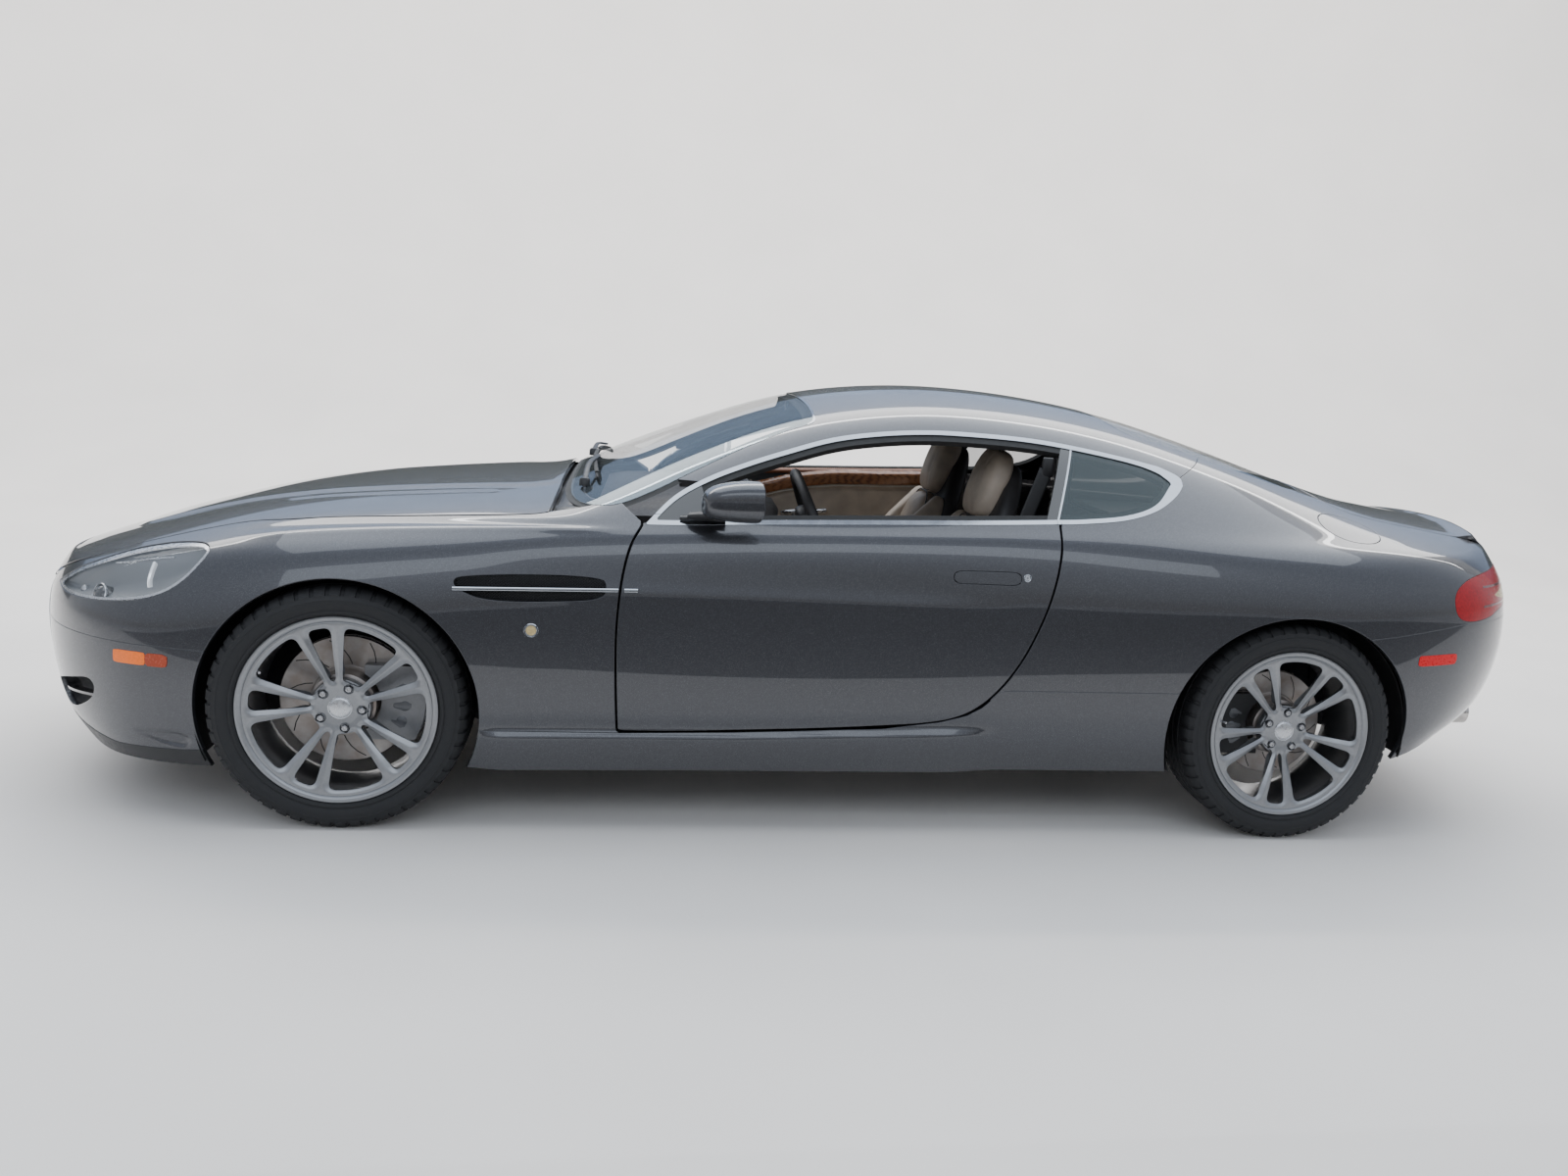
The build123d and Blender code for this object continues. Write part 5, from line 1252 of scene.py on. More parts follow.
# pillar strip behind the door window
V, F = cut(base_V.copy(), base_F, lambda V: sd(V) - ring_w(V) - 1)
V, F = cut(V, F, lambda V: V[:, 0] - PIL0(V[:, 2]))
V, F = cut(V, F, lambda V: PIL1(V[:, 2]) - V[:, 0])
spiece("pillar_strip_#", V, F, "black_gloss", "root", "gloss_black", offset=-1.5, rings=[(0.6, 0.5), (1.0, 2.0), (1.0, 24.0)])
V, F = cut(base_V.copy(), base_F, lambda V: sd(V) - ring_w(V) + 2)
V, F = cut(V, F, lambda V: V[:, 0] - PIL1(V[:, 2]) - 1.0)
V, F = cut(V, F, lambda V: PIL1(V[:, 2]) + 6.5 - V[:, 0])
spiece("pillar_bright_line_#", V, F, "chrome", "root", "bright_metal", offset=0.2, rings=[(0.4, 0.5), (0.6, 6.0)])
# quarter glass
V, F = cut(base_V.copy(), base_F, lambda V: sd(V) - ring_w(V) - 1)
V, F = cut(V, F, lambda V: V[:, 0] - PIL1(V[:, 2]) - 8)
spiece("quarter_window_#", V, F, "quarter_tint", "root", "tinted_glass", offset=-2.6, rings=[(0.3, 0.3), (0.5, 5.0)])
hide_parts("quarter_glass")
Va, Fa = cut(V, F, lambda V: 14 - sd(V) + ring_w(V))
Vb, Fb = cut(V, F, lambda V: sd(V) - ring_w(V) - 14)
Vb, Fb = cut(Vb, Fb, lambda V: PIL1(V[:, 2]) + 22 - V[:, 0])
spiece("quarter_border_#", Va, Fa, "frit", "root", "gloss_black", offset=-8.4, rings=None)
spiece("quarter_border_front_#", Vb, Fb, "frit", "root", "gloss_black", offset=-8.4, rings=None)
# corner plate in front of the door window, which carries the mirror
V, F = cut(base_V.copy(), base_F, lambda V: sd(V) - ring_w(V) - 0.5)
V, F = cut(V, F, lambda V: (968 - 0.35 * (V[:, 2] - 890)) - V[:, 0])
spiece("mirror_plate_#", V, F, "black_gloss", "door_#", "gloss_black", offset=-1.0, rings=[(0.6, 0.6), (1.0, 2.0), (1.0, 14.0)])

# ---- headlamps: bowl, projector, light strip and lens
hV, hF = part_of(inbox(-860, -300, 540, 780))
V, F = keep_in(hV.copy(), hF, HEAD, side, 1.0)
dd = sdf(HEAD, V[:, 0], V[:, 2])
V[:, :3] -= V[:, 3:6] * (3.0 + 44 * (1 - np.exp(-np.maximum(dd, 0) / 22.0)))[:, None]
V[:, 4] = V[:, 4]
V = renormal(V, F)
spiece("headlamp_bowl_#", V, F, "lamp_bowl", "root", "bright_metal", rings=None)
V, F = keep_in(hV.copy(), hF, HEAD, side, 0.4)
spiece("headlamp_lens_#", V, F, "lens_clear", "root", "lamp_clear", offset=0.4, rings=[(0.4, 0.4), (0.7, 1.2), (0.7, 16.0)])
V, F = keep_in(hV.copy(), hF, HEAD, side, 0.6)
V, F = keep_out(V, F, HEAD, side, -6.5)
spiece("headlamp_edge_#", V, F, "satin_metal", "root", "bright_metal", offset=-1.2, rings=[(0.3, 0.3), (0.3, 4)])
V, F = keep_in(hV.copy(), hF, HEAD, side, -7.0)
V, F = keep_out(V, F, HEAD, side, 1.0)
spiece("headlamp_gap_#", V, F, "rubber_seal", "root", "black_plastic", offset=-7.0, rings=None)
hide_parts("headlamps")
lm = Mesh(); ls = Mesh(); lc = Mesh()
pc = np.array([-650, 706, 592.0]); pn = np.array([-0.66, 0.66, 0.30]); pn /= np.linalg.norm(pn)
def frame_of(n):
    a = np.cross([0, 0, 1.0], n); a /= np.linalg.norm(a); b = np.cross(n, a)
    return np.stack([a, b, n], 1)
R = frame_of(pn)
v, f = spin([(0.01, 10), (12, 8.6), (22, 4), (28, -3), (30, -10), (30, -44)], 32, (0, 0, 0), "z", closed=False)
lm.add(v @ R.T + pc - pn * 9 + (0, 0, -2), f)
v, f = spin([(30, -9), (33.5, -6), (34, -2), (32, 0), (30.5, -2)], 32, (0, 0, 0), "z", closed=True)
lc.add(v @ R.T + pc - pn * 7 + (0, 0, -2), f)
v, f = spin([(0.01, 3), (9, 2), (12, -1), (13, -20)], 20, (0, 0, 0), "z", closed=False)
lc.add(v @ R.T + np.array([-722, 622, 590.0]) + pn * -12, f)
v, f = tube(catmull([(-481, 764, 692), (-484, 780, 672), (-487, 790, 650), (-486, 792, 632)], 5), (5.0, 9.0), 8); ls.add(v, f)
v, f = tube(catmull([(-600, 690, 676), (-560, 716, 684), (-500, 752, 700), (-430, 776, 712)], 5), (4.0, 2.5), 8); lc.add(v, f)
for nm, ms, mat, sl in (("headlamp_projector", lm, "black_gloss", "gloss_black"), ("headlamp_strip", ls, "lamp_strip", "lamp_clear"), ("headlamp_detail", lc, "satin_metal", "bright_metal")):
    v = np.concatenate(ms.v)
    mk(nm + "_right", v, ms.f, M[mat], "root", sl, angle=40)
    mk(nm + "_left", mirror(v), flipf(ms.f), M[mat], "root", sl, angle=40)

# ---- tail lamps
tV, tF = part_of(inbox(3200, 3900, 660, 900))
def tail_in(V): return np.minimum(sdf(TAILL, V[:, 0], V[:, 2]), -sdf(BOOTT, V[:, 0], V[:, 1]) - 2)
V, F = cut(tV.copy(), tF, tail_in, 0.5)
spiece("tail_lamp_lens_#", V, F, "red_lens", "root", "lamp_red", offset=0.3, rings=[(0.5, 0.4), (0.9, 1.4), (0.9, 20.0)])
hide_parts("tail_lamps")
V, F = cut(tV.copy(), tF, lambda V: np.minimum(tail_in(V) - 10, np.minimum(V[:, 2] - 752, 790 - V[:, 2])))
V, F = cut(V, F, lambda V: V[:, 0] - lerp(V[:, 2], [752, 771, 790], [3560, 3470, 3560]))
spiece("tail_lamp_reverse_#", V, F, "white_lens", "root", "lamp_clear", offset=0.9, rings=[(0.4, 0.4), (0.5, 1.5)])
V, F = cut(tV.copy(), tF, lambda V: tail_in(V) - 4)
V, F = cut(V, F, lambda V: V[:, 0] - 3400)
V, F = cut(V, F, lambda V: V[:, 2] - lerp(V[:, 0], [3380, 3700], [739, 745]))
V, F = cut(V, F, lambda V: lerp(V[:, 0], [3380, 3700], [745, 751]) - V[:, 2])
spiece("tail_lamp_bar_low_#", V, F, "red_deep", "root", "lamp_red", offset=0.9, rings=[(0.3, 0.4), (0.4, 1.5)])
V, F = cut(tV.copy(), tF, lambda V: tail_in(V) - 4)
V, F = cut(V, F, lambda V: V[:, 0] - 3400)
V, F = cut(V, F, lambda V: V[:, 2] - lerp(V[:, 0], [3380, 3700], [799, 797]))
V, F = cut(V, F, lambda V: lerp(V[:, 0], [3380, 3700], [805, 803]) - V[:, 2])
spiece("tail_lamp_bar_high_#", V, F, "red_deep", "root", "lamp_red", offset=0.9, rings=[(0.3, 0.4), (0.4, 1.5)])
V, F = cut(tV.copy(), tF, lambda V: np.minimum(tail_in(V) + 7, 1 - tail_in(V)))
spiece("tail_lamp_gap_#", V, F, "rubber_seal", "root", "black_plastic", offset=-6.0, rings=None)

# ---- reflectors and side repeater, set on the skin
def patch(name, outline, plane_box, mats, body="root", slot=None, offset=1.2, rings=((0.5, 0.3), (0.9, 1.2), (0.9, 6.0)), sides="lr"):
    V, F = part_of(inbox(*plane_box))
    V, F = cut(V, F, lambda V: np.where(V[:, 7] < 5.5, sdf(outline, V[:, 0], V[:, 2]), -50.0))
    return spiece(name, V, F, mats, body, slot, offset=offset, rings=rings, sides=sides, weld_d=0.5)
def rrect(x0, x1, z0, z1, r=6, skew=0.0, n=5):
    out = []
    for cx, cz, a0 in ((x1 - r, z1 - r, 0), (x0 + r, z1 - r, 90), (x0 + r, z0 + r, 180), (x1 - r, z0 + r, 270)):
        for k in range(n + 1):
            a = math.radians(a0 + 90 * k / n); out.append((cx + r * math.cos(a), cz + r * math.sin(a) + skew * (cx - x0)))
    return np.array(out)
# the front marker is one lens split in two: its front piece, lighter and glowing, is painted light; its rear piece in
# the darker copy is painted shade
patch("front_marker_#", rrect(-578, -488, 430, 463, 5, 0.02), (-660, -380, 380, 520), "amber_lit_copy", slot="lamp_amber", offset=2.0)
patch("front_marker_rear_#", rrect(-486.5, -427, 431, 464, 5, 0.02), (-660, -340, 380, 520), "amber_shaded_copy", slot="lamp_amber", offset=2.0)
patch("rear_marker_#", rrect(3142, 3294, 562, 594, 6, 0.03), (3000, 3400, 500, 640), "red_marker", slot="lamp_red", offset=2.0)
th = np.linspace(0, 2 * math.pi, 28, endpoint=False)
def sk(x, z):
    """point and normal of the skin (right half) at side coordinates, lower body"""
    m = GR[:, 7] < 5.0
    i = np.argmin((GR[:, 0] - x) ** 2 + (GR[:, 2] - z) ** 2 + np.where(m, 0, 1e9))
    return GR[i, :3] + [x - GR[i, 0], 0, z - GR[i, 2]], GR[i, 3:6]
def stud(name, x, z, prof, mat, body="root", slot=None, sides=("right", "left"), n=32, angle=35):
    p, nn = sk(x, z); R = frame_of(nn)
    v, f = spin(prof, n, (0, 0, 0), "z", closed=False)
    v = v @ R.T + p
    for s in sides:
        mk(name + "_" + s, v if s == "right" else mirror(v), f if s == "right" else flipf(f), M[mat], body.replace("#", s), slot, angle=angle)
stud("side_repeater_ring", 496, 578, [(14.2, 3.4), (15.5, 4.4), (18.2, 4.2), (19.6, 2.6), (19.8, -6)], "chrome", slot="bright_metal")
stud("side_repeater_lens", 496, 578, [(0.01, 4.6), (6.2, 4.4), (6.8, 3.6), (10, 3.9), (13, 3.2), (14.4, 1.6), (14.4, -5)], "white_lens", slot="lamp_amber")
stud("door_lock_ring", 1868, 783, [(8.2, 1.6), (9.8, 2.2), (11.2, 1.6), (11.6, -5)], "chrome", "door_#", "bright_metal")
stud("door_lock_face", 1868, 783, [(0.01, 0.9), (1.4, 0.9), (1.5, 0.0), (2.6, 0.0), (2.7, 0.9), (7.6, 0.9), (8.3, 0.4), (8.3, -5)], "satin_metal", "door_#", "bright_metal")

# ---- wing vent: recess, wire mesh, bright strake carried on over the door
V, F = part_of(inbox(260, 760, 620, 780, v0=1.0, v1=4.6))
V, F = keep_in(V, F, VENT, side, -2.0)
dd = sdf(VENT, V[:, 0], V[:, 2])
V[:, :3] -= V[:, 3:6] * (30 * (1 - np.exp(-np.maximum(dd + 2, 0) / 5.0)) * lerp(V[:, 0], [290, 420, 640, 700], [1.0, 1.0, 0.8, 0.25]))[:, None]
V = renormal(V, F)
spiece("vent_recess_#", V, F, "liner", "root", "black_plastic", rings=None)
mw = Mesh()
def yskin(x, z): return sk(x, z)[0][1]
for fam in (1, -1):
    for c in np.arange(-900, 1700, 8.5):
        pts = []
        for x in np.arange(300, 690, 4.0):
            z = 690 + fam * (x - 480) * 0.9 + c * 0.9 - fam * 0
            if 655 < z < 732:
                if sdf(VENT, np.array([x]), np.array([z]))[0] > 2.5: pts.append((x, 0.0, z))
        if len(pts) >= 3: 
            yl = lerp(np.array([p[0] for p in pts]), [300, 500, 690], [yskin(300, 692), yskin(500, 692), yskin(690, 692)])
            pts = np.array(pts); pts[:, 1] = yl - 13 + lerp(pts[:, 0], [300, 690], [0, 5])
            v, f = tube([pts[0], pts[len(pts) // 2], pts[-1]], 1.05, 5, cap=False); mw.add(v, f)
v = np.concatenate(mw.v)
mk("vent_mesh_right", v, mw.f, M["mesh_black"], "root", "black_plastic"); mk("vent_mesh_left", mirror(v), flipf(mw.f), M["mesh_black"], "root", "black_plastic")
def strake(x0, x1, body, name):
    xs = np.linspace(x0, x1, 14); sec = []
    for x in xs:
        z = lerp(x, [291, 773], [684, 698]); y = yskin(x, z)
        e = 1.0
        sec.append([(x, y - 14, z - 6.2 * e), (x, y + 5.0, z - 5.4 * e), (x, y + 7.4, z - 3.4 * e), (x, y + 8.2, z), (x, y + 7.4, z + 3.4 * e), (x, y + 5.0, z + 5.4 * e), (x, y - 14, z + 6.2 * e)])
    s = np.array(sec); v = s.reshape(-1, 3); m = 7
    f = grid_faces(14, m, wrap_v=True, flip=False) + [tuple(range(m))[::-1], tuple(range(13 * m, 14 * m))]
    mk(name + "_right", v, f, M["chrome"], body.replace("#", "right"), "bright_metal", angle=35)
    mk(name + "_left", mirror(v), flipf(f), M["chrome"], body.replace("#", "left"), "bright_metal", angle=35)
strake(291, 722, "root", "wing_strake")
strake(738, 774, "door_#", "door_strake")

# ---- mirrors
def mirror_shell():
    sh = Mesh(); gl = Mesh(); arm = Mesh()
    n, m = 30, 44
    c = np.array([1012.0, 951, 962]); V = []
    for i in range(n):
        t = i / (n - 1); a = t * math.pi * 0.5
        # nose (front) to open rear edge
        sx = -math.cos(a); k = math.sin(a) ** 0.62
        x = c[0] + 70 + sx * 150
        for j in range(m):
            b = 2 * math.pi * j / m
            cb, sb = math.cos(b), math.sin(b)
            p = 3.2
            rr = (abs(cb) ** p + abs(sb) ** p) ** (-1 / p)
            yy = rr * cb * 82 * k; zz = rr * sb * 57 * k
            zz *= 1.0 - 0.10 * (yy / 82) * 1.0
            x2 = x + 0.20 * yy + 12 * (1 - k)
            V.append((x2 - 4 * (1 - t), c[1] + yy * 0.80 + 6 * sx * -1, c[2] + zz + 6 * (yy / 82) - 14 * (1 - t) ** 1.5))
    V = np.array(V); sh.add(V, grid_faces(n, m, wrap_v=True) + [tuple(range(m))[::-1]])
    rim = V[-m:]; cc = rim.mean(0)
    r1 = cc + (rim - cc) * 0.955 + (2.5, 0, 0); r2 = cc + (rim - cc) * 0.925 + (-1, 0, 0); r3 = cc + (rim - cc) * 0.915 + (-12, 0, 0)
    sh.add(np.concatenate([rim, r1, r2, r3]), grid_faces(4, m, wrap_v=True))
    g0 = cc + (rim - cc) * 0.915 + (-8, 0, 0)
    rings_ = [cc + (rim - cc) * q + (-8 + 3.0 * (1 - (q / 0.915) ** 2), 0, 0) for q in (0.915, 0.7, 0.45, 0.2, 0.012)]
    gl.add(np.concatenate(rings_), grid_faces(5, m, wrap_v=True) + [tuple(range(4 * m, 5 * m))])
    v, f = tube(catmull([(915, 838, 902), (940, 862, 908), (968, 890, 914), (1000, 918, 926)], 6), (24.0, 13.0), 16); arm.add(v, f)
    v, f = tube(catmull([(884, 826, 894), (915, 838, 897), (960, 846, 899), (1004, 850, 899)], 6), (16.0, 8.0), 14); arm.add(v, f)
    return sh, gl, arm
sh, gl, arm = mirror_shell()
for sd_ in ("right", "left"):
    fn = (lambda q: q) if sd_ == "right" else mirror
    fx = (lambda q: q) if sd_ == "right" else flipf
    o = mk("mirror_shell_" + sd_, fn(np.concatenate(sh.v)), fx(sh.f), M["paint_grey"], "door_" + sd_, "body_paint", angle=50)
    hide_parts("mirror_" + sd_)
    mk("mirror_glass_pane_" + sd_, fn(np.concatenate(gl.v)), fx(gl.f), M["mirror_glass"], "door_" + sd_, "mirror_glass")
    mk("mirror_arm_" + sd_, fn(np.concatenate(arm.v)), fx(arm.f), M["black_trim"], "door_" + sd_, "black_plastic", angle=50)

# ---- wipers on the lower edge of the windscreen
def ytop(x, y):
    m = (GR[:, 7] > 4.0) & (GR[:, 2] > 780)
    i = np.argmin((GR[:, 0] - x) ** 2 + (GR[:, 1] - abs(y)) ** 2 + np.where(m, 0, 1e9))
    n = GR[i, 3:6]
    return GR[i, 2] - ((x - GR[i, 0]) * n[0] + (abs(y) - GR[i, 1]) * n[1]) / max(n[2], 0.2)
wp = Mesh(); wb_ = Mesh()
for (px, py), (bx, by), (cx, cy) in (((606, -560), (642, -560), (616, 70)), ((602, 40), (618, 20), (642, 600))):
    P0 = np.array([px, py, ytop(px, py) + 8.0])
    v, f = spin([(0.01, 16), (11, 15), (15, 10), (16, -8)], 18, tuple(P0), "z", closed=False); wp.add(v, f)
    mid = np.array([(bx + cx) / 2, (by + cy) / 2]); mz = ytop(*mid) + 19
    arm_pts = catmull([P0 + (0, 0, 10), np.array([(px + mid[0]) / 2 - 8, (py + mid[1]) / 2, (P0[2] + mz) / 2 + 16]), np.array([mid[0], mid[1], mz])], 7)
    v, f = tube(arm_pts, (8.0, 4.0), 8, up=(0, 0, 1)); wp.add(v, f)
    bl = []
    for t in np.linspace(0, 1, 12):
        x, y = bx + (cx - bx) * t, by + (cy - by) * t
        x += 10 * math.sin(math.pi * t) * (-1)
        bl.append((x, y, ytop(x, y) + 7.5))
    v, f = tube(bl, (4.0, 7.0), 8, up=(0, 0, 1)); wb_.add(v, f)
    v, f = tube([(a, b, c + 8) for a, b, c in bl[1:-1]], (6.0, 2.6), 8, up=(0, 0, 1)); wb_.add(v, f)
o = mk("wiper_arms", np.concatenate(wp.v), wp.f, M["black_trim"], "root", "black_plastic", angle=45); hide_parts("wipers")
mk("wiper_blades", np.concatenate(wb_.v), wb_.f, M["rubber_seal"], "root", "black_plastic", angle=45)

# ---- grille: bright frame, bars following the nose, dark duct behind
gb = Mesh(); gm = Mesh(); gd = Mesh()
def xnose(y, z):
    m = (GR[:, 0] < -560) & (GR[:, 7] < 4.5)
    i = np.argmin((GR[:, 1] - abs(y)) ** 2 + (GR[:, 2] - z) ** 2 + np.where(m, 0, 1e9))
    n = GR[i, 3:6]
    return GR[i, 0] - ((abs(y) - GR[i, 1]) * n[1] + (z - GR[i, 2]) * n[2]) / min(n[0], -0.2)
mo = np.array([(y, z) for y, z in MOUTH]); full = np.vstack([mo, mo[::-1] * [-1, 1]])
keepi = [0]
for i in range(1, len(full)):
    if np.hypot(*(full[i] - full[keepi[-1]])) > 12: keepi.append(i)
fr = np.array([(xnose(y, z) + 3.0, y, z) for y, z in full[keepi]])
v, f = tube(fr, 6.0, 8, closed=True); gb.add(v, f)
for z in np.linspace(362, 540, 6):
    ys = np.linspace(-410, 410, 60)
    ins = sdf(MOUTH, np.abs(ys), np.full(60, z)) > 3
    ys = ys[ins]
    if len(ys) < 4: continue
    pts = np.array([(xnose(y, z) + 17, y, z + 3) for y in np.linspace(ys[0] - 4, ys[-1] + 4, 24)])
    v, f = tube(pts, (12.0, 3.2), 8, up=(0, 0, 1)); gb.add(v, f)
for y in (-190, 0, 190):
    pts = np.array([(xnose(y, z) + 30, y, z) for z in np.linspace(330, 570, 8)])
    v, f = tube(pts, (2.2, 8.0), 6); gm.add(v, f)
vs = []
for y in np.linspace(-400, 400, 21): 
    for z in np.linspace(315, 580, 8): vs.append((xnose(y, z) + 62, y, z))
gd.add(vs, grid_faces(21, 8))
o = mk("grille_bars", np.concatenate(gb.v), gb.f, M["satin_metal"], "root", "bright_metal", angle=50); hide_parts("grille")
mk("grille_ribs", np.concatenate(gm.v), gm.f, M["black_trim"], "root", "black_plastic", angle=50)
mk("grille_duct", np.concatenate(gd.v), gd.f, M["liner"], "root", "black_plastic")
# duct and fin behind each lower intake
V, F = part_of(inbox(-960, -420, 200, 420))
V, F = cut(V, F, lambda V: np.where(V[:, 0] < -480, sdf(INTAKE, V[:, 1], V[:, 2]), -100.0), -3.0)
dd = sdf(INTAKE, V[:, 1], V[:, 2])
V[:, :3] -= V[:, 3:6] * (46 * (1 - np.exp(-np.maximum(dd + 3, 0) / 10.0)))[:, None]
V = renormal(V, F)
spiece("intake_duct_#", V, F, "liner", "root", "black_plastic", rings=None)
V, F = part_of(inbox(-960, -420, 200, 420))
V, F = cut(V, F, lambda V: np.where(V[:, 0] < -480, sdf(INTAKE, V[:, 1], V[:, 2]) + 2, -100.0))
V, F = cut(V, F, lambda V: V[:, 2] - lerp(V[:, 1], [500, 742], [278, 314]))
V, F = cut(V, F, lambda V: lerp(V[:, 1], [500, 742], [285, 321]) - V[:, 2])
spiece("intake_fin_#", V, F, "black_gloss", "root", "gloss_black", offset=-8, rings=[(0.3, 0.5), (0.3, 22)])

# ---- number plate recess with a blank plate, lamps over it, valance under the bumper
pr_ = Mesh(); pl_ = Mesh(); pw = Mesh()
xs_ = 3706.0
def xtail(y, z):
    m_ = (GR[:, 0] > 3400) & (GR[:, 2] < 900)
    i_ = np.argmin((GR[:, 1] - abs(y)) ** 2 + (GR[:, 2] - z) ** 2 + np.where(m_, 0, 1e9)); n_ = GR[i_, 3:6]
    return GR[i_, 0] - ((abs(y) - GR[i_, 1]) * n_[1] + (z - GR[i_, 2]) * n_[2]) / max(n_[0], 0.2)
loop = [(y, 423.5) for y in np.linspace(-176, 176, 19)] + [(176, z) for z in np.linspace(432, 590, 9)] + [(y, 598.5) for y in np.linspace(176, -176, 19)] + [(-176, z) for z in np.linspace(590, 432, 9)]
ring0 = np.array([(xtail(y, z) - 5, y, z) for y, z in loop]); ring1 = np.array([(xs_ + 3, y * 0.985, 511 + (z - 511) * 0.975) for y, z in loop]); ring2 = np.array([(xs_, y * 0.955, 511 + (z - 511) * 0.93) for y, z in loop])
pr_.add(np.concatenate([ring0, ring1, ring2]), grid_faces(3, len(loop), wrap_v=True) + [tuple(range(2 * len(loop), 3 * len(loop)))])
v, f = rbox((xs_ + 6, 0, 504), (4, 304, 150), 1.2, 3); pl_.add(v, f)
for y in (-88.9, 88.9):
    v, f = spin([(0.01, 4), (4.5, 3.4), (5.6, 1.5), (5.8, -2)], 16, (xs_ + 8, y, 566), "x", closed=False); pl_.add(v, f)
for y in (-60, 60):
    v, f = rbox((xs_ + 14, y, 592), (18, 46, 9), 2.5, 3); pw.add(v, f)
mk("plate_recess", np.concatenate(pr_.v), pr_.f, M["black_trim"], "root", "black_plastic", angle=40)
mk("plate_blank", np.concatenate(pl_.v), pl_.f, M["plate_blank"], "root", "bright_metal", angle=40)
mk("plate_lamps", np.concatenate(pw.v), pw.f, M["white_lens"], "root", "lamp_clear", angle=40)
dv = Mesh()
yy_ = np.linspace(-584, 584, 65); V = []
for y in yy_:
    xe = xtail(min(abs(y), 600), 372) - 16; zl = lerp(abs(y), [0, 560, 640], [352, 362, 332]); tun = 34 * math.exp(-((abs(y) - 470) / 62) ** 4)
    fin = 10 * (1 if (abs(y) < 330 and abs((abs(y) + 40) % 110 - 55) < 8) else 0)
    e = lerp(abs(y), [0, 480, 640], [0, 14, 66])
    V.append([(xe + 2, y, zl + 10), (xe - 4, y, zl - 14 + tun + 0.2 * e), (xe - 26, y, zl - 42 - fin + tun * 1.5 + 0.5 * e), (xe - 120, y, zl - 74 - fin + tun + 0.9 * e), (xe - 300, y, 232 + e)])
mk("rear_valance", np.array(V).reshape(-1, 3), grid_faces(65, 5), M["black_trim"], "root", "black_plastic", angle=50)
# ------------------------------------------------------------------ cabin
def leather(name, col, rough=0.5, grain=620, var=0.14):
    """hide: cell grain, creases at a larger scale, roughness that varies with the creases"""
    m, nt, b = nodes_of(name)
    base(b, col, rough)
    b.inputs["Specular IOR Level"].default_value = 0.4
    v = coords(nt)
    n = noise(nt, v, 16, 5)
    lo = tuple(c * (1 - var) for c in col); hi = tuple(min(1, c * (1 + var)) for c in col)
    link(nt, ramp(nt, n.outputs["Fac"], [(0.3, lo), (0.7, hi)]), b.inputs["Base Color"])
    vo = nd(nt, "ShaderNodeTexVoronoi", ins={"Scale": float(grain)}); link(nt, v, vo.inputs["Vector"])
    n2 = noise(nt, v, 120, 3)
    ad = nd(nt, "ShaderNodeMath", operation="MULTIPLY_ADD", ins={1: 0.7}); link(nt, vo.outputs["Distance"], ad.inputs[0]); link(nt, n2.outputs["Fac"], ad.inputs[2])
    bumpn(nt, b, ad.outputs[0], 0.35, 0.0006)
    link(nt, maprange(nt, n2.outputs["Fac"], 0.3, 0.7, rough * 0.82, min(1, rough * 1.15)), b.inputs["Roughness"])
    M[name] = m


def carpet_mat(name, col):
    m, nt, b = nodes_of(name)
    base(b, col, 0.95)
    v = coords(nt)
    n = noise(nt, v, 1400, 2, 0.7)
    link(nt, ramp(nt, n.outputs["Fac"], [(0.3, tuple(c * 0.55 for c in col)), (0.7, tuple(c * 1.4 for c in col))]), b.inputs["Base Color"])
    bumpn(nt, b, n.outputs["Fac"], 0.9, 0.002)
    M[name] = m


def wood_mat():
    m, nt, b = nodes_of("wood_band")
    base(b, (0.15, 0.055, 0.02), 0.25, Coat_Weight=0.6)
    v = coords(nt, (2.2, 9.0, 16.0))
    n = noise(nt, v, 3.0, 5)
    w = nd(nt, "ShaderNodeTexWave", ins={"Scale": 4.5, "Distortion": 7.0, "Detail": 4.0}); link(nt, v, w.inputs["Vector"])
    mx = nd(nt, "ShaderNodeMath", operation="MULTIPLY_ADD", ins={1: 0.5}); link(nt, w.outputs["Fac"], mx.inputs[0]); link(nt, n.outputs["Fac"], mx.inputs[2])
    link(nt, ramp(nt, mx.outputs[0], [(0.25, (0.060, 0.019, 0.007)), (0.5, (0.150, 0.054, 0.019)), (0.8, (0.24, 0.097, 0.036))]), b.inputs["Base Color"])
    bumpn(nt, b, mx.outputs[0], 0.05, 0.0004)
    M["wood_band"] = m


leather("hide_beige", (0.40, 0.335, 0.27), 0.5)
leather("hide_dark", (0.028, 0.026, 0.026), 0.48)
leather("hide_tan", (0.15, 0.050, 0.018), 0.5)
leather("hide_pale", (0.50, 0.46, 0.40), 0.6)
carpet_mat("carpet_dark", (0.030, 0.028, 0.027))
carpet_mat("headlining", (0.085, 0.08, 0.076))
wood_mat()
simple("belt_web", (0.016, 0.016, 0.017), 0.7, 0.0, 300, 0.3, 0.1, 0.7, 0.001, 1800)
simple("dial_face", (0.30, 0.31, 0.32), 0.35, 0.2, 120, 0.1, 0.2, 0.05, 0.0002, 500)
simple("screen_dark", (0.008, 0.009, 0.011), 0.1, 0.0, 60, 0.2, 0.2, 0.02, 0.0002, 200, Coat_Weight=0.7)
simple("cast_metal", (0.24, 0.24, 0.245), 0.5, 0.85, 35, 0.15, 0.2, 0.5, 0.0008, 260)
simple("engine_dark", (0.05, 0.05, 0.052), 0.5, 0.5, 40, 0.2, 0.2, 0.4, 0.0008, 260)
simple("frame_black", (0.03, 0.03, 0.031), 0.6, 0.3, 22, 0.3, 0.15, 0.3, 0.0008, 160)
simple("pipe_steel", (0.36, 0.33, 0.30), 0.35, 0.95, 14, 0.22, 0.25, 0.15, 0.0005, 200)
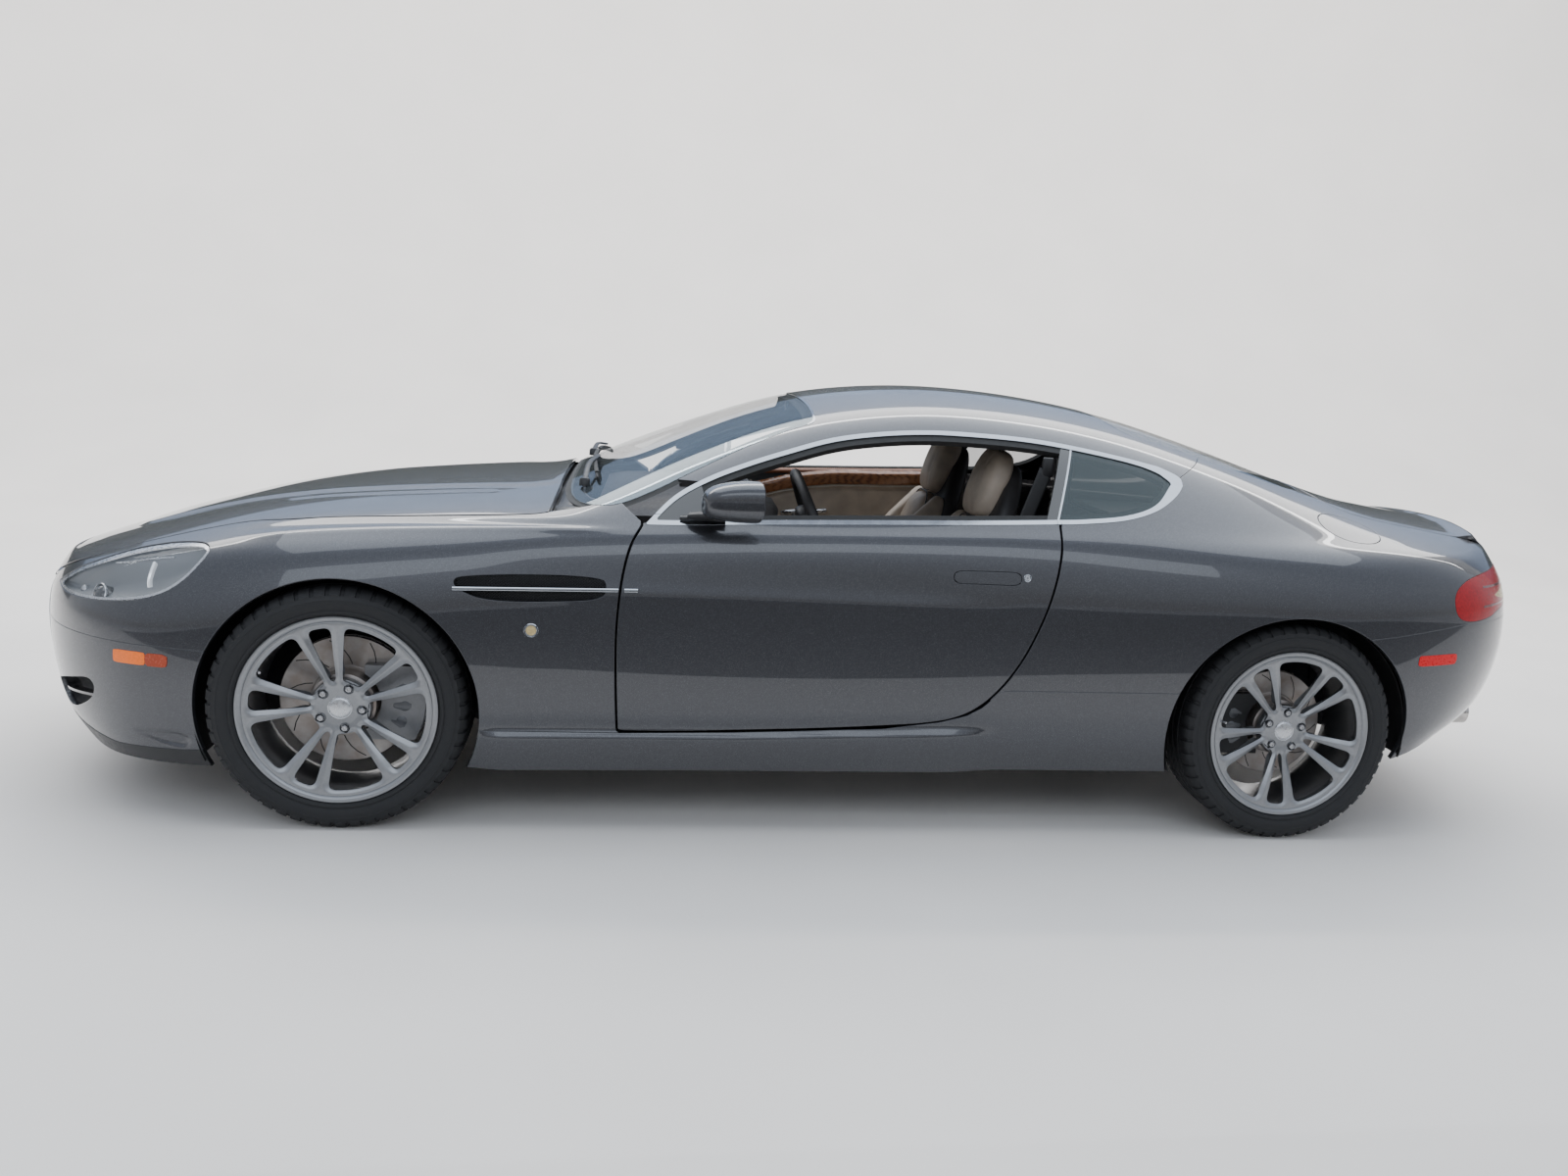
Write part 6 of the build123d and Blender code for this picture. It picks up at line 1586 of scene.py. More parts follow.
simple("foam_black", (0.02, 0.02, 0.021), 0.9, 0.0, 80, 0.3, 0.1, 0.5, 0.001, 500)


def cushion(L, W, H, nu=34, nv=34, crown=0.35, flutes=(), fl_d=5.0, pull=0.02, p=4.0, q=2.4, edge_flute=None):
    """closed crowned pad centred on the origin, long axis x, wide axis y, sewn face up +z; flutes are channels across or along"""
    V = []; F = []
    # sphere of squares: map the six sides of a cube onto a rounded box whose faces bulge
    n = nu
    idx = {}
    pts = []
    def key(a, b, c): return (round(a, 6), round(b, 6), round(c, 6))
    def put_(a, b, c):
        k = key(a, b, c)
        if k not in idx: idx[k] = len(pts); pts.append((a, b, c))
        return idx[k]
    g = np.linspace(-1, 1, n); h = np.linspace(-1, 1, 10)
    for s in (-1, 1):
        for i in range(n - 1):
            for j in range(n - 1):
                f = [put_(g[i], g[j], s), put_(g[i + 1], g[j], s), put_(g[i + 1], g[j + 1], s), put_(g[i], g[j + 1], s)]
                F.append(f if s > 0 else f[::-1])
        for i in range(n - 1):
            for j in range(9):
                f = [put_(g[i], s, h[j]), put_(g[i], s, h[j + 1]), put_(g[i + 1], s, h[j + 1]), put_(g[i + 1], s, h[j])]
                F.append(f if s > 0 else f[::-1])
                f = [put_(s, g[i], h[j]), put_(s, g[i + 1], h[j]), put_(s, g[i + 1], h[j + 1]), put_(s, g[i], h[j + 1])]
                F.append(f if s > 0 else f[::-1])
    A = np.array(pts)
    x, y, z = A.T
    m = np.maximum(1e-6, (np.abs(x) ** p + np.abs(y) ** p) ** (1 / p))
    mx = np.maximum(np.abs(x), np.abs(y))
    k = np.where(m > 1e-5, mx / m, 1)
    X, Y = x * k, y * k                                   # rounded plan
    rad = np.maximum(np.abs(X), np.abs(Y)); rr = np.clip((np.abs(X) ** p + np.abs(Y) ** p) ** (1 / p), 0, 1)
    top = (1 - rr ** q * 1.0) * crown + (1 - crown)
    prof = np.where(np.abs(z) >= 0.999, 1, 1)
    side_in = 1 - 0.07 * np.abs(z) ** 3 - pull * ((1 - X ** 2) * (1 - Y ** 2) < 0.2) * (1 - np.minimum(np.abs(X), np.abs(Y)) ** 2)
    Z = z * top
    O = np.stack([X * L / 2 * side_in, Y * W / 2 * side_in, Z * H / 2], 1)
    up_ = np.clip(z, 0, 1)
    for ax, c in flutes:
        u = O[:, 0 if ax == "x" else 1]
        O[:, 2] -= fl_d * np.exp(-((u - c) / 4.5) ** 2) * (z > 0.99) * (1 - np.clip((rr - 0.86) / 0.14, 0, 1))
        O[:, 2] += 0.45 * fl_d * np.exp(-((u - c) / 22.0) ** 2) * 0
    return O, F


def seam(L, W, zz, p=4.0, r=2.3, n=72, z_add=None, in_=1.0):
    t = np.linspace(0, 2 * math.pi, n, endpoint=False); c, s = np.cos(t), np.sin(t)
    k = (np.abs(c) ** p + np.abs(s) ** p) ** (-1 / p)
    pts = np.stack([c * k * L / 2 * in_, s * k * W / 2 * in_, np.full(n, float(zz))], 1)
    return tube(pts, r, 8, closed=True, up=(0, 0, 1))


def place(v, R, t): return np.asarray(v) @ np.asarray(R, float).T + np.asarray(t, float)
def rotx(a): c, s = math.cos(a), math.sin(a); return np.array([[1, 0, 0], [0, c, -s], [0, s, c]])
def roty(a): c, s = math.cos(a), math.sin(a); return np.array([[c, 0, s], [0, 1, 0], [-s, 0, c]])


def stitch_row(pts, step=7.0, r=0.55, ln=4.2):
    """row of stitches along a path, each a short thread"""
    pts = np.asarray(pts, float); d = np.linalg.norm(np.diff(pts, axis=0), axis=1); s = np.concatenate([[0], np.cumsum(d)])
    ms = Mesh()
    for a in np.arange(step / 2, s[-1] - step / 2, step):
        q = [np.array([np.interp(t, s, pts[:, k]) for k in range(3)]) for t in (a - ln / 2, a + ln / 2)]
        v, f = tube([q[0], (q[0] + q[1]) / 2 + (0, 0, 0.25), q[1]], r, 5); ms.add(v, f)
    return ms


def soft(name, V, F, mat, body, slot, sub=1):
    ob = mk(name, V, F, M[mat], body, slot)
    if sub:
        md = ob.modifiers.new("smooth_form", "SUBSURF"); md.levels = sub; md.render_levels = sub
    return ob


def puff(V, F, amount=7.0):
    """the cover drawn tight over foam: cloth under pressure, capped, then put back on the points of the pattern"""
    me = bpy.data.meshes.new("puff_tmp"); me.from_pydata([tuple(p) for p in V / 1000.0], [], [tuple(f) for f in F]); me.update()
    ob = bpy.data.objects.new("puff_tmp", me); COL.objects.link(ob)
    md = ob.modifiers.new("cloth", "CLOTH"); s = md.settings
    s.quality = 5; s.use_pressure = True; s.uniform_pressure_force = 3.2; s.effector_weights.gravity = 0.0
    s.tension_stiffness = s.compression_stiffness = 18; s.shear_stiffness = 8; s.bending_stiffness = 1.2
    md.collision_settings.use_collision = False
    sc = bpy.context.scene
    for fr_ in range(1, 13): sc.frame_set(fr_); bpy.context.view_layer.update()
    ev = ob.evaluated_get(bpy.context.evaluated_depsgraph_get()); W = np.array([v.co[:] for v in ev.data.vertices]) * 1000.0
    bpy.data.objects.remove(ob); bpy.data.meshes.remove(me); sc.frame_set(1)
    if W.shape != V.shape or not np.isfinite(W).all(): return V
    d = W - V; ln = np.linalg.norm(d, axis=1)
    return V + d * np.minimum(1.0, amount / np.maximum(ln, 1e-6))[:, None]


def front_seat():
    """pieces of one front seat about y 0: list of (name, verts, faces, material, padded)"""
    out = []
    # cushion
    tilt = math.radians(-6)
    base_t = np.array([1462, 0, 322.0])
    R = roty(tilt)
    fl = [("x", c) for c in (-150, -90, -30, 30, 90, 150)]
    V, F = cushion(470, 300, 118, crown=0.30, flutes=fl); V = puff(V, F, 6)
    out.append(("cushion", place(V, R, base_t), F, "hide_beige", True))
    V, F = seam(462, 296, 26, r=2.4); out.append(("cushion_piping", place(V, R, base_t), F, "hide_dark", False))
    for s in (-1, 1):
        V, F = cushion(480, 96, 140, nu=24, crown=0.55, p=3.2)
        V[:, 2] += 16 + 16 * sstep(-80, -240, V[:, 0]) * 0
        out.append((f"bolster_{'ab'[s > 0]}", place(V, R @ rotx(s * -0.16), base_t + (0, s * 178, 8)), F, "hide_beige", True))
        V, F = seam(440, 60, 52, p=3.2, r=1.6); out.append((f"bolster_piping_{'ab'[s > 0]}", place(V, R @ rotx(s * -0.16), base_t + (0, s * 178, 8)), F, "hide_dark", False))
    # back: local x up along the back, z forward
    a = math.radians(18)
    up_ = np.array([math.sin(a), 0, math.cos(a)]); fw = np.array([-math.cos(a), 0, math.sin(a)]); sidev = np.cross(fw, up_)
    Rb = np.stack([up_, sidev, fw], 1)
    o = np.array([1645, 0, 352.0])
    bc = o + up_ * 290
    fl = [("x", c) for c in (-230, -172, -114, -56, 2, 60, 118, 176)]
    V, F = cushion(560, 296, 116, crown=0.30, flutes=fl); V = puff(V, F, 6)
    V[:, 2] += 10 * np.exp(-((V[:, 0] + 150) / 90) ** 2)
    out.append(("back", place(V, Rb, bc), F, "hide_beige", True))
    V, F = seam(552, 292, 26, r=2.4); out.append(("back_piping", place(V, Rb, bc), F, "hide_dark", False))
    for s in (-1, 1):
        V, F = cushion(570, 96, 168, nu=28, crown=0.6, p=3.2)
        V[:, 2] += 20 - 30 * sstep(60, 285, V[:, 0])
        V[:, 2] *= 1 - 0.25 * sstep(80, 285, V[:, 0])
        out.append((f"back_bolster_{'ab'[s > 0]}", place(V, Rb @ rotx(s * 0.18), bc + sidev * s * 176 + fw * 6), F, "hide_beige", True))
    V, F = cushion(236, 270, 104, nu=28, crown=0.45, p=3.6, flutes=[("y", -72), ("y", 72)], fl_d=4); V = puff(V, F, 5)
    V[:, 1] *= 1 - 0.12 * sstep(0, 118, V[:, 0])
    out.append(("headrest", place(V, Rb, o + up_ * 684 + fw * 4), F, "hide_beige", True))
    V, F = seam(226, 246, 20, p=3.6, r=1.9); V[:, 1] *= 1 - 0.12 * sstep(0, 118, V[:, 0]); out.append(("headrest_piping", place(V, Rb, o + up_ * 684 + fw * 4), F, "hide_dark", False))
    # shell behind and below
    V, F = cushion(780, 440, 90, nu=28, crown=0.35, p=3.6); V[:, 1] *= 1 - 0.34 * sstep(150, 390, V[:, 0])
    out.append(("shell", place(V, Rb, o + up_ * 388 - fw * 46), F, "hide_dark", False))
    V, F = rbox((1462, 0, 262), (470, 380, 60), 16, 4); out.append(("pan", V, F, "black_trim", False))
    for s in (-1, 1):
        V, F = rbox((1450, s * 150, 212), (440, 34, 44), 5, 2); out.append((f"rail_{'ab'[s > 0]}", V, F, "frame_black", False))
        V, F = rbox((1590, s * 222, 300), (150, 12, 70), 5, 3); out.append((f"hinge_cover_{'ab'[s > 0]}", V, F, "black_trim", False))
    # stitches along the top seam of the cushion
    t = np.linspace(0, 2 * math.pi, 120); c, s = np.cos(t), np.sin(t); k = (np.abs(c) ** 4 + np.abs(s) ** 4) ** -0.25
    ring = np.stack([c * k * 218, s * k * 134, 38 + 0 * t], 1)
    ms = stitch_row(place(ring, R, base_t)); out.append(("stitches", np.concatenate(ms.v), ms.f, "hide_tan", False))
    return out


fs = front_seat(); first = True
for sd_, ys in (("left", -392), ("right", 392)):
    for nm, V, F, mat, pad_ in fs:
        V2 = V + (0, ys, 0); n_ = f"front_seat_{nm}_{sd_}"
        sl = {"hide_beige": "seat_leather", "hide_dark": "dark_leather", "hide_tan": "tan_leather", "black_trim": "black_plastic", "frame_black": "chassis_black"}[mat]
        o = soft(n_, V2, F, mat, "root", sl, 0 if nm.startswith("bolst") else 0) if pad_ else mk(n_, V2, F, M[mat], "root", sl, angle=45 if mat in ("black_trim", "frame_black") else None)
        if first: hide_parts("front_seats"); first = False
# rear seats: two small buckets
first = True
for sd_, s in (("left", -1), ("right", 1)):
    yc = 350 * s
    V, F = cushion(340, 350, 110, nu=28, crown=0.4, flutes=[("x", -80), ("x", -20), ("x", 40), ("x", 100)], fl_d=5)
    o = soft(f"rear_cushion_{sd_}", place(V, roty(math.radians(-8)), (2110, yc, 420)), F, "hide_beige", "root", "seat_leather", 0)
    if first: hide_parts("rear_seats"); first = False
    V, F = seam(334, 344, 22); mk(f"rear_cushion_piping_{sd_}", place(V, roty(math.radians(-8)), (2110, yc, 420)), F, M["hide_dark"], "root", "dark_leather")
    a = math.radians(24); up_ = np.array([math.sin(a), 0, math.cos(a)]); fw = np.array([-math.cos(a), 0, math.sin(a)]); Rb = np.stack([up_, np.cross(fw, up_), fw], 1)
    o_ = np.array([2262, yc, 430.0]) + up_ * 190
    V, F = cushion(400, 350, 110, nu=28, crown=0.4, flutes=[("x", -130), ("x", -75), ("x", -20), ("x", 35), ("x", 90)], fl_d=5)
    V[:, 1] *= 1 - 0.14 * sstep(60, 200, V[:, 0])
    soft(f"rear_back_{sd_}", place(V, Rb, o_), F, "hide_beige", "root", "seat_leather", 0)
    V, F = seam(392, 344, 24); V[:, 1] *= 1 - 0.14 * sstep(60, 200, V[:, 0]); mk(f"rear_back_piping_{sd_}", place(V, Rb, o_), F, M["hide_dark"], "root", "dark_leather")

# ---- dashboard: rounded pad with an instrument hood, fascia, vents and centre screen
def dash_sec(y):
    h = math.exp(-((y + 385) / 150) ** 4)                    # hood over the dials
    e = 1 - sstep(620, 706, abs(y))
    zt = 896 + 32 * h - 8 * (abs(y) / 700) ** 2; xr = 1166 + 16 * h
    pts = [(632, 862), (700, 876), (820, zt - 8), (960, zt), (1080, zt - 2 - 2 * h), (xr - 14, zt - 14), (xr, zt - 34), (xr - 6 - 26 * h, zt - 52 - 10 * h), (xr - 26 - 40 * h, 800 + 0 * h), (xr - 34, 742), (xr - 30, 706),
           (1108, 680), (1050, 640), (960, 590), (860, 570), (640, 574)]
    return pts
ys = np.concatenate([np.linspace(-697, -600, 6), np.linspace(-585, 585, 60), np.linspace(600, 697, 6)])
V = np.array([[(x, y, z) for x, z in dash_sec(y)] for y in ys]); m = V.shape[1]
F = grid_faces(len(ys), m, wrap_v=True, flip=True) + [tuple(range(m)), tuple(range((len(ys) - 1) * m, len(ys) * m))[::-1]]
o = mk("dashboard_pad", V.reshape(-1, 3), F, M["hide_dark"], "root", "dark_leather", angle=50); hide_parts("dashboard")
wd = Mesh(); mt = Mesh(); df = Mesh(); scn = Mesh(); st_ = Mesh()
for y0, y1 in ((-690, -560), (-210, 690)):
    ysb = np.linspace(y0, y1, 30)
    V = np.array([[(xr_ + 1.5, y, z) for xr_, z in ((1140, 796), (1143, 792), (1139, 766), (1132, 742), (1124, 741))] for y in ysb]); wd.add(V, grid_faces(30, 5, flip=True))
for y, r in ((-462, 48), (-308, 48), (-385, 34)):
    c = np.array([1124, y, 822 if r > 40 else 846.0]); R = frame_of(np.array([0.93, 0, 0.36]))
    v, f = spin([(r, -12), (r + 1, 4), (r + 3.5, 6), (r + 5, 3), (r + 5, -14)], 40, (0, 0, 0), "z", closed=False); mt.add(place(v, R, c), f)
    v, f = spin([(0.01, 1.5), (r * 0.45, 1.2), (r, 0.2)], 40, (0, 0, 0), "z", closed=False); df.add(place(v, R, c), f)
    for k in range(21):
        a = math.radians(-40 + 13 * k); v, f = rbox((0, 0, 0), (6, 1.1, 0.8), 0.2, 1); rot = np.array(Matrix.Rotation(a, 3, "Z"))
        st_.add(place((v + (r - 6, 0, 2.0)) @ rot.T, R, c), f)
    v, f = rbox((r * 0.3, 0, 3), (r * 0.8, 1.6, 1.2), 0.4, 1); rot = np.array(Matrix.Rotation(2.2, 3, "Z")); st_.add(place(v @ rot.T, R, c), f)
for y in (-640, -60, 60, 640):
    R = frame_of(np.array([0.97, 0, 0.24])); c = np.array([1143, y, 768.0])
    v, f = spin([(33, -8), (33.5, 4), (36, 6), (39, 4), (40, -8)], 36, (0, 0, 0), "z", closed=False); mt.add(place(v, R, c), f)
    for k in range(-3, 4):
        w = math.sqrt(max(0, 31 ** 2 - (k * 8.5) ** 2)); v, f = rbox((k * 8.5, 0, 0), (1.8, 2 * w, 8), 0.5, 1); scn.add(place(v, R, c), f)
v, f = rbox((0, 0, 0), (96, 176, 10), 5, 3); scn.add(place(v, frame_of(np.array([0.95, 0, 0.3])), (1148, 0, 848)), f)
for k in range(8):
    v, f = spin([(0.01, 5), (8, 4.6), (9.4, 3), (9.6, -4)], 18, (0, 0, 0), "z", closed=False); mt.add(place(v, frame_of(np.array([0.95, 0, 0.3])), (1140, -77 + 22 * k, 708)), f)
for s in (-1, 1):
    v, f = spin([(0.01, 14), (17, 13.4), (19, 11), (20, -4)], 30, (0, 0, 0), "z", closed=False); mt.add(place(v, frame_of(np.array([0.95, 0, 0.3])), (1118, s * 52, 684)), f)
mk("dash_wood_fascia", np.concatenate(wd.v), wd.f, M["wood_band"], "root", "wood")
mk("dash_rings_knobs", np.concatenate(mt.v), mt.f, M["satin_metal"], "root", "bright_metal", angle=40)
mk("dash_dials", np.concatenate(df.v), df.f, M["dial_face"], "root", "bright_metal")
mk("dash_dial_marks", np.concatenate(st_.v), st_.f, M["black_gloss"], "root", "gloss_black", angle=40)
mk("dash_screen_vents", np.concatenate(scn.v), scn.f, M["screen_dark"], "root", "gloss_black", angle=40)

# ---- console
xs = np.linspace(1040, 1756, 40); V = []
for x in xs:
    zt = lerp(x, [1040, 1110, 1200, 1330, 1430, 1500, 1700, 1756], [668, 640, 580, 545, 550, 588, 594, 570]); w = lerp(x, [1040, 1100, 1330, 1500, 1756], [112, 108, 98, 102, 100])
    V.append([(x, -w, 444), (x, -w, zt - 34), (x, -w + 7, zt - 14), (x, -w + 22, zt - 3), (x, -w * 0.4, zt + 1), (x, w * 0.4, zt + 1), (x, w - 22, zt - 3), (x, w - 7, zt - 14), (x, w, zt - 34), (x, w, 444)])
V = np.array(V); m = 10
F = grid_faces(40, m, wrap_v=True) + [tuple(range(m))[::-1], tuple(range(39 * m, 40 * m))]
o = mk("console_body", V.reshape(-1, 3), F, M["hide_dark"], "root", "dark_leather", angle=50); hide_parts("centre_console")
wb2 = Mesh(); cm = Mesh()
V = np.array([[(x, y, lerp(x, [1040, 1110, 1200, 1330, 1430], [668, 640, 580, 545, 550]) + 2.2 - 3.5 * (abs(y) / 60) ** 4) for y in np.linspace(-58, 58, 9)] for x in np.linspace(1130, 1455, 24)])
wb2.add(V, grid_faces(24, 9))
for y in (-28, 28):
    v, f = spin([(30, -3), (31, 5), (34, 6.5), (37, 4), (38, -5)], 36, (1258, y * 1.2, 566), "z", closed=False); cm.add(v, f)
v, f = tube(catmull([(1350, 34, 545), (1352, 34, 566), (1384, 34, 590), (1450, 34, 602)], 6), (9, 7), 12); cm.add(v, f)
mk("console_wood", np.concatenate(wb2.v), wb2.f, M["wood_band"], "root", "wood"); mk("console_metal", np.concatenate(cm.v), cm.f, M["satin_metal"], "root", "bright_metal", angle=45)
V, F = cushion(226, 176, 60, nu=26, crown=0.5, p=3.4); soft("console_armrest", V + (1606, 0, 606), F, "hide_tan", "root", "tan_leather", 0)
V, F = seam(218, 168, 12, p=3.4, r=1.6); mk("console_armrest_piping", V + (1606, 0, 606), F, M["hide_dark"], "root", "dark_leather")

# ---- steering wheel
sw = Mesh(); sm = Mesh(); ss = Mesh()
a = math.radians(22); n = np.array([math.cos(a), 0, math.sin(a)]); upv = np.array([-math.sin(a), 0, math.cos(a)]); rt = np.array([0, 1.0, 0])
Rw = np.stack([rt, upv, n], 1); cw = np.array([1300, -385, 836.0])
t = np.linspace(0, 2 * math.pi, 96, endpoint=False)
path = np.stack([176 * np.cos(t), 176 * np.sin(t) * (1 - 0.05 * (np.sin(t) < -0.8)), 0 * t], 1)
V = []
for k, tt in enumerate(t):
    r_, th_ = 14.2 + 1.6 * math.exp(-((abs(math.atan2(math.sin(tt), math.cos(tt))) - 0.35) / 0.25) ** 2) + 1.6 * math.exp(-((abs(math.atan2(math.sin(tt - math.pi), math.cos(tt - math.pi))) - 0.35) / 0.25) ** 2), np.linspace(0, 2 * math.pi, 14, endpoint=False)
    o_ = path[k]; er = o_ / np.linalg.norm(o_)
    V.append(o_[None] + er[None] * (np.cos(th_) * r_ * 0.92)[:, None] + np.array([0, 0, 1.0])[None] * (np.sin(th_) * r_ * 1.08)[:, None])
V = np.array(V).reshape(-1, 3); sw.add(place(V, Rw, cw), grid_faces(96, 14, wrap_u=True, wrap_v=True, flip=True))
v, f = cushion(150, 128, 58, nu=22, crown=0.4, p=3.0); sw.add(place(v[:, [1, 0, 2]] * (1, 1, 1), Rw, cw + n * -18), flipf(f))
for ang, w in ((0.0, 17), (math.pi, 17), (-math.pi / 2, 13)):
    c, s = math.cos(ang), math.sin(ang); px_, py_ = -s, c
    secs = []
    for q in np.linspace(52, 168, 9):
        k = w * (1 - 0.35 * math.sin(math.pi * (q - 52) / 116)); dz = -22 + 22 * ((q - 52) / 116) ** 1.2
        secs.append([(c * q + px_ * k * u, s * q + py_ * k * u, dz + h) for u, h in ((-1, 0), (-0.85, 4.5), (0, 6), (0.85, 4.5), (1, 0), (0.8, -5), (-0.8, -5))])
    sm.add(place(np.array(secs).reshape(-1, 3), Rw, cw), grid_faces(9, 7, wrap_v=True))
v, f = spin([(0.01, 12.5), (20, 12), (22.5, 10.5), (23.5, 7)], 32, (0, 0, 0), "z", closed=False); sm.add(place(v, Rw, cw), f)
for s in (-1, 1):
    v, f = tube(catmull([(s * 30, 6, -44), (s * 90, 14, -46), (s * 148, 22, -42), (s * 186, 26, -40)], 6), (7, 4), 10); ss.add(place(v, Rw, cw), f)
v, f = tube([cw - n * 34, cw - n * 70, cw - n * 190], 33, 22); ss.add(v, f)
ms = stitch_row(place(path * 0.925, Rw, cw + n * 2), 6.0, 0.6, 3.6)
o = mk("steering_wheel_rim", np.concatenate(sw.v), sw.f, M["hide_dark"], "steering_wheel", "dark_leather", angle=60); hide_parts("steering_wheel")
mk("steering_wheel_spokes", np.concatenate(sm.v), sm.f, M["satin_metal"], "steering_wheel", "bright_metal", angle=45)
mk("steering_wheel_stitches", np.concatenate(ms.v), ms.f, M["hide_beige"], "steering_wheel", "seat_leather")
mk("steering_column_cover", np.concatenate(ss.v), ss.f, M["black_trim"], "root", "black_plastic", angle=45)

def loops_of(V, F):
    nx_ = {}
    for a, b in boundary(V, [tuple(q) for q in F]): nx_.setdefault(a, []).append(b)
    out = []
    while nx_:
        a = next(iter(nx_)); lp = [a]; b = nx_[a].pop()
        if not nx_[a]: del nx_[a]
        while b != lp[0] and b in nx_:
            lp.append(b); c = nx_[b].pop()
            if not nx_[b]: del nx_[b]
            b = c
        if len(lp) > 4: out.append(lp)
    return out


# ---- doors: pressed inner shell, trim card, wood band, tan top roll, armrest, pull, speaker
CARD_Y = 778.0
V, F = part_of(inbox(700, 2010, 250, 960, v0=0.3, v1=5.6))
V, F = keep_in(V, F, DOORL, side, K + 9)
V, F = keep_out(V, F, DLO, side, -2.0)
V, F = cut(V, F, lambda V: z_belt(V[:, 0]) + 0 - V[:, 2])
V, F = cut(V, F, lambda V: V[:, 2] - z_sill(V[:, 0]), 12.0)
V, F = weld(V, F, 2.5)
def door_shell(V, F):
    A = V[:, :3] - V[:, 3:6] * 7.0
    nV = len(A); B = A.copy(); B[:, 1] = CARD_Y
    loops = loops_of(V, F)
    ms = Mesh(); ms.add(A, F)
    for lp in loops: ms.add(B[lp], [tuple(range(len(lp)))[::-1]])
    wall = Mesh()
    for lp in loops:
        n = len(lp); top_ = A[lp]; bot = B[lp]
        mid = [top_ * (1 - k) + bot * k for k in (0.0, 0.35, 0.7, 1.0)]
        wall.add(np.concatenate(mid), grid_faces(4, n, wrap_v=True))
    return ms, wall
ms, wall = door_shell(V, F)
for sd_, fn, fx in (("right", lambda q: q, lambda q: q), ("left", mirror, flipf)):
    mk("door_inner_" + sd_, fn(np.concatenate(ms.v)), fx(ms.f), M["inner_sheet"], "door_" + sd_, "underbody")
    mk("door_shut_face_" + sd_, fn(np.concatenate(wall.v)), fx(wall.f), M["paint_grey"], "door_" + sd_, "body_paint", angle=50)
ZT = lambda x: lerp(x, [735, 900, 1000, 1100, 1209, 1304, 1400, 1500, 1600, 1697, 1950], [836, 838, 840, 842, 862, 890, 908, 921, 926, 929, 943])
card = [(775, 836), (758, 815), (748, 740), (744, 560), (748, 360), (760, 342), (1000, 344), (1400, 356), (1600, 378), (1700, 410), (1760, 450), (1830, 540), (1880, 640), (1912, 740), (1934, 860), (1940, 942)]
cardp = smooth_poly(card + [(x, ZT(x)) for x in (1697, 1600, 1500, 1400, 1304, 1209, 1100, 1000, 900)], corners=(0, 15), n=4)
def card_y(x, z):
    """how far the trim stands off the shell"""
    b = 16 + 26 * np.exp(-(((z - lerp(x, [800, 1900], [640, 690])) / 42) ** 4)) * sstep(1120, 1240, x) * (1 - sstep(1690, 1800, x))
    b += 22 * np.exp(-(((z - 420) / 70) ** 4)) * sstep(800, 860, x) * (1 - sstep(1330, 1400, x))
    b += 6 * sstep(-62, -52, z - ZT(x))
    b -= 4.5 * np.exp(-((z - ZT(x) + 74) / 4.0) ** 2)
    return b
nx, nz = 92, 120
cgx, cgz = np.meshgrid(np.linspace(738, 1946, nx), np.linspace(338, 946, nz), indexing="ij")
cgx, cgz = cgx.ravel(), cgz.ravel()
d_ = sdf(cardp, cgx, cgz)
by = card_y(cgx, cgz) * sstep(-2, 14, d_)
V0 = np.stack([cgx, CARD_Y - 1.5 - by, cgz, 0 * cgx, -1 + 0 * cgx, 0 * cgx, d_, cgx], 1)
F0c = [f[::-1] for f in grid_faces(nx, nz)]
V0, F0c = clip(V0, F0c, V0[:, 6])
zone = lambda V: V[:, 2] - ZT(V[:, 0])
card_low = clip(V0.copy(), F0c, -55.5 - zone(V0))
card_wood = clip(V0.copy(), F0c, zone(V0) + 55.0)
cardm = Mesh(); woodm = Mesh()
V, F = weld(*card_low, 1.2); cardm.add(V[:, :3], F)
for L_ in loops_of(V, F):
    a_ = V[L_, :3]; b_ = a_.copy(); b_[:, 1] = CARD_Y - 0.2; cardm.add(np.concatenate([a_, b_]), grid_faces(2, len(L_), wrap_v=True))
V, F = weld(*card_wood, 1.2); woodm.add(V[:, :3] + (0, -1.5, 0), F)
for L_ in loops_of(V, F):
    a_ = V[L_, :3] + (0, -1.5, 0); b_ = a_.copy(); b_[:, 1] = CARD_Y - 0.2; woodm.add(np.concatenate([a_, b_]), grid_faces(2, len(L_), wrap_v=True))
pipe_ = tube(np.array([(x, CARD_Y - 20.5, ZT(x) - 62) for x in np.linspace(800, 1915, 60)]), 2.6, 8)
roll = Mesh()
pts = np.array([(x, 797.0, z_belt(x) + 3) for x in np.linspace(1130, 1950, 40)])
v, f = tube(pts, (24.0, 12.5), 14, up=(0, 0, 1)); roll.add(v, f)
arm_ = Mesh(); pull = Mesh()
v, f = tube(catmull([(1300, 745, 742), (1330, 724, 750), (1430, 722, 756), (1470, 745, 760)], 6), (9, 9), 12); pull.add(v, f)
v, f = spin([(0.01, -3), (60, -3), (66, -1), (70, 3), (71, 8)], 48, (900, CARD_Y - 40, 470), "y", closed=False); pull.add(v, f)
for k in range(1, 9):
    v, f = spin([(7 * k, -4.6), (7 * k + 2, -4.9), (7 * k + 4, -4.6), (7 * k + 4, -2), (7 * k, -2)], 40, (900, CARD_Y - 40, 470), "y"); arm_.add(v, f)
ms = stitch_row(np.array([(x, 797.0, z_belt(x) + 15.8) for x in np.linspace(1140, 1945, 60)]), 8, 0.6, 5)
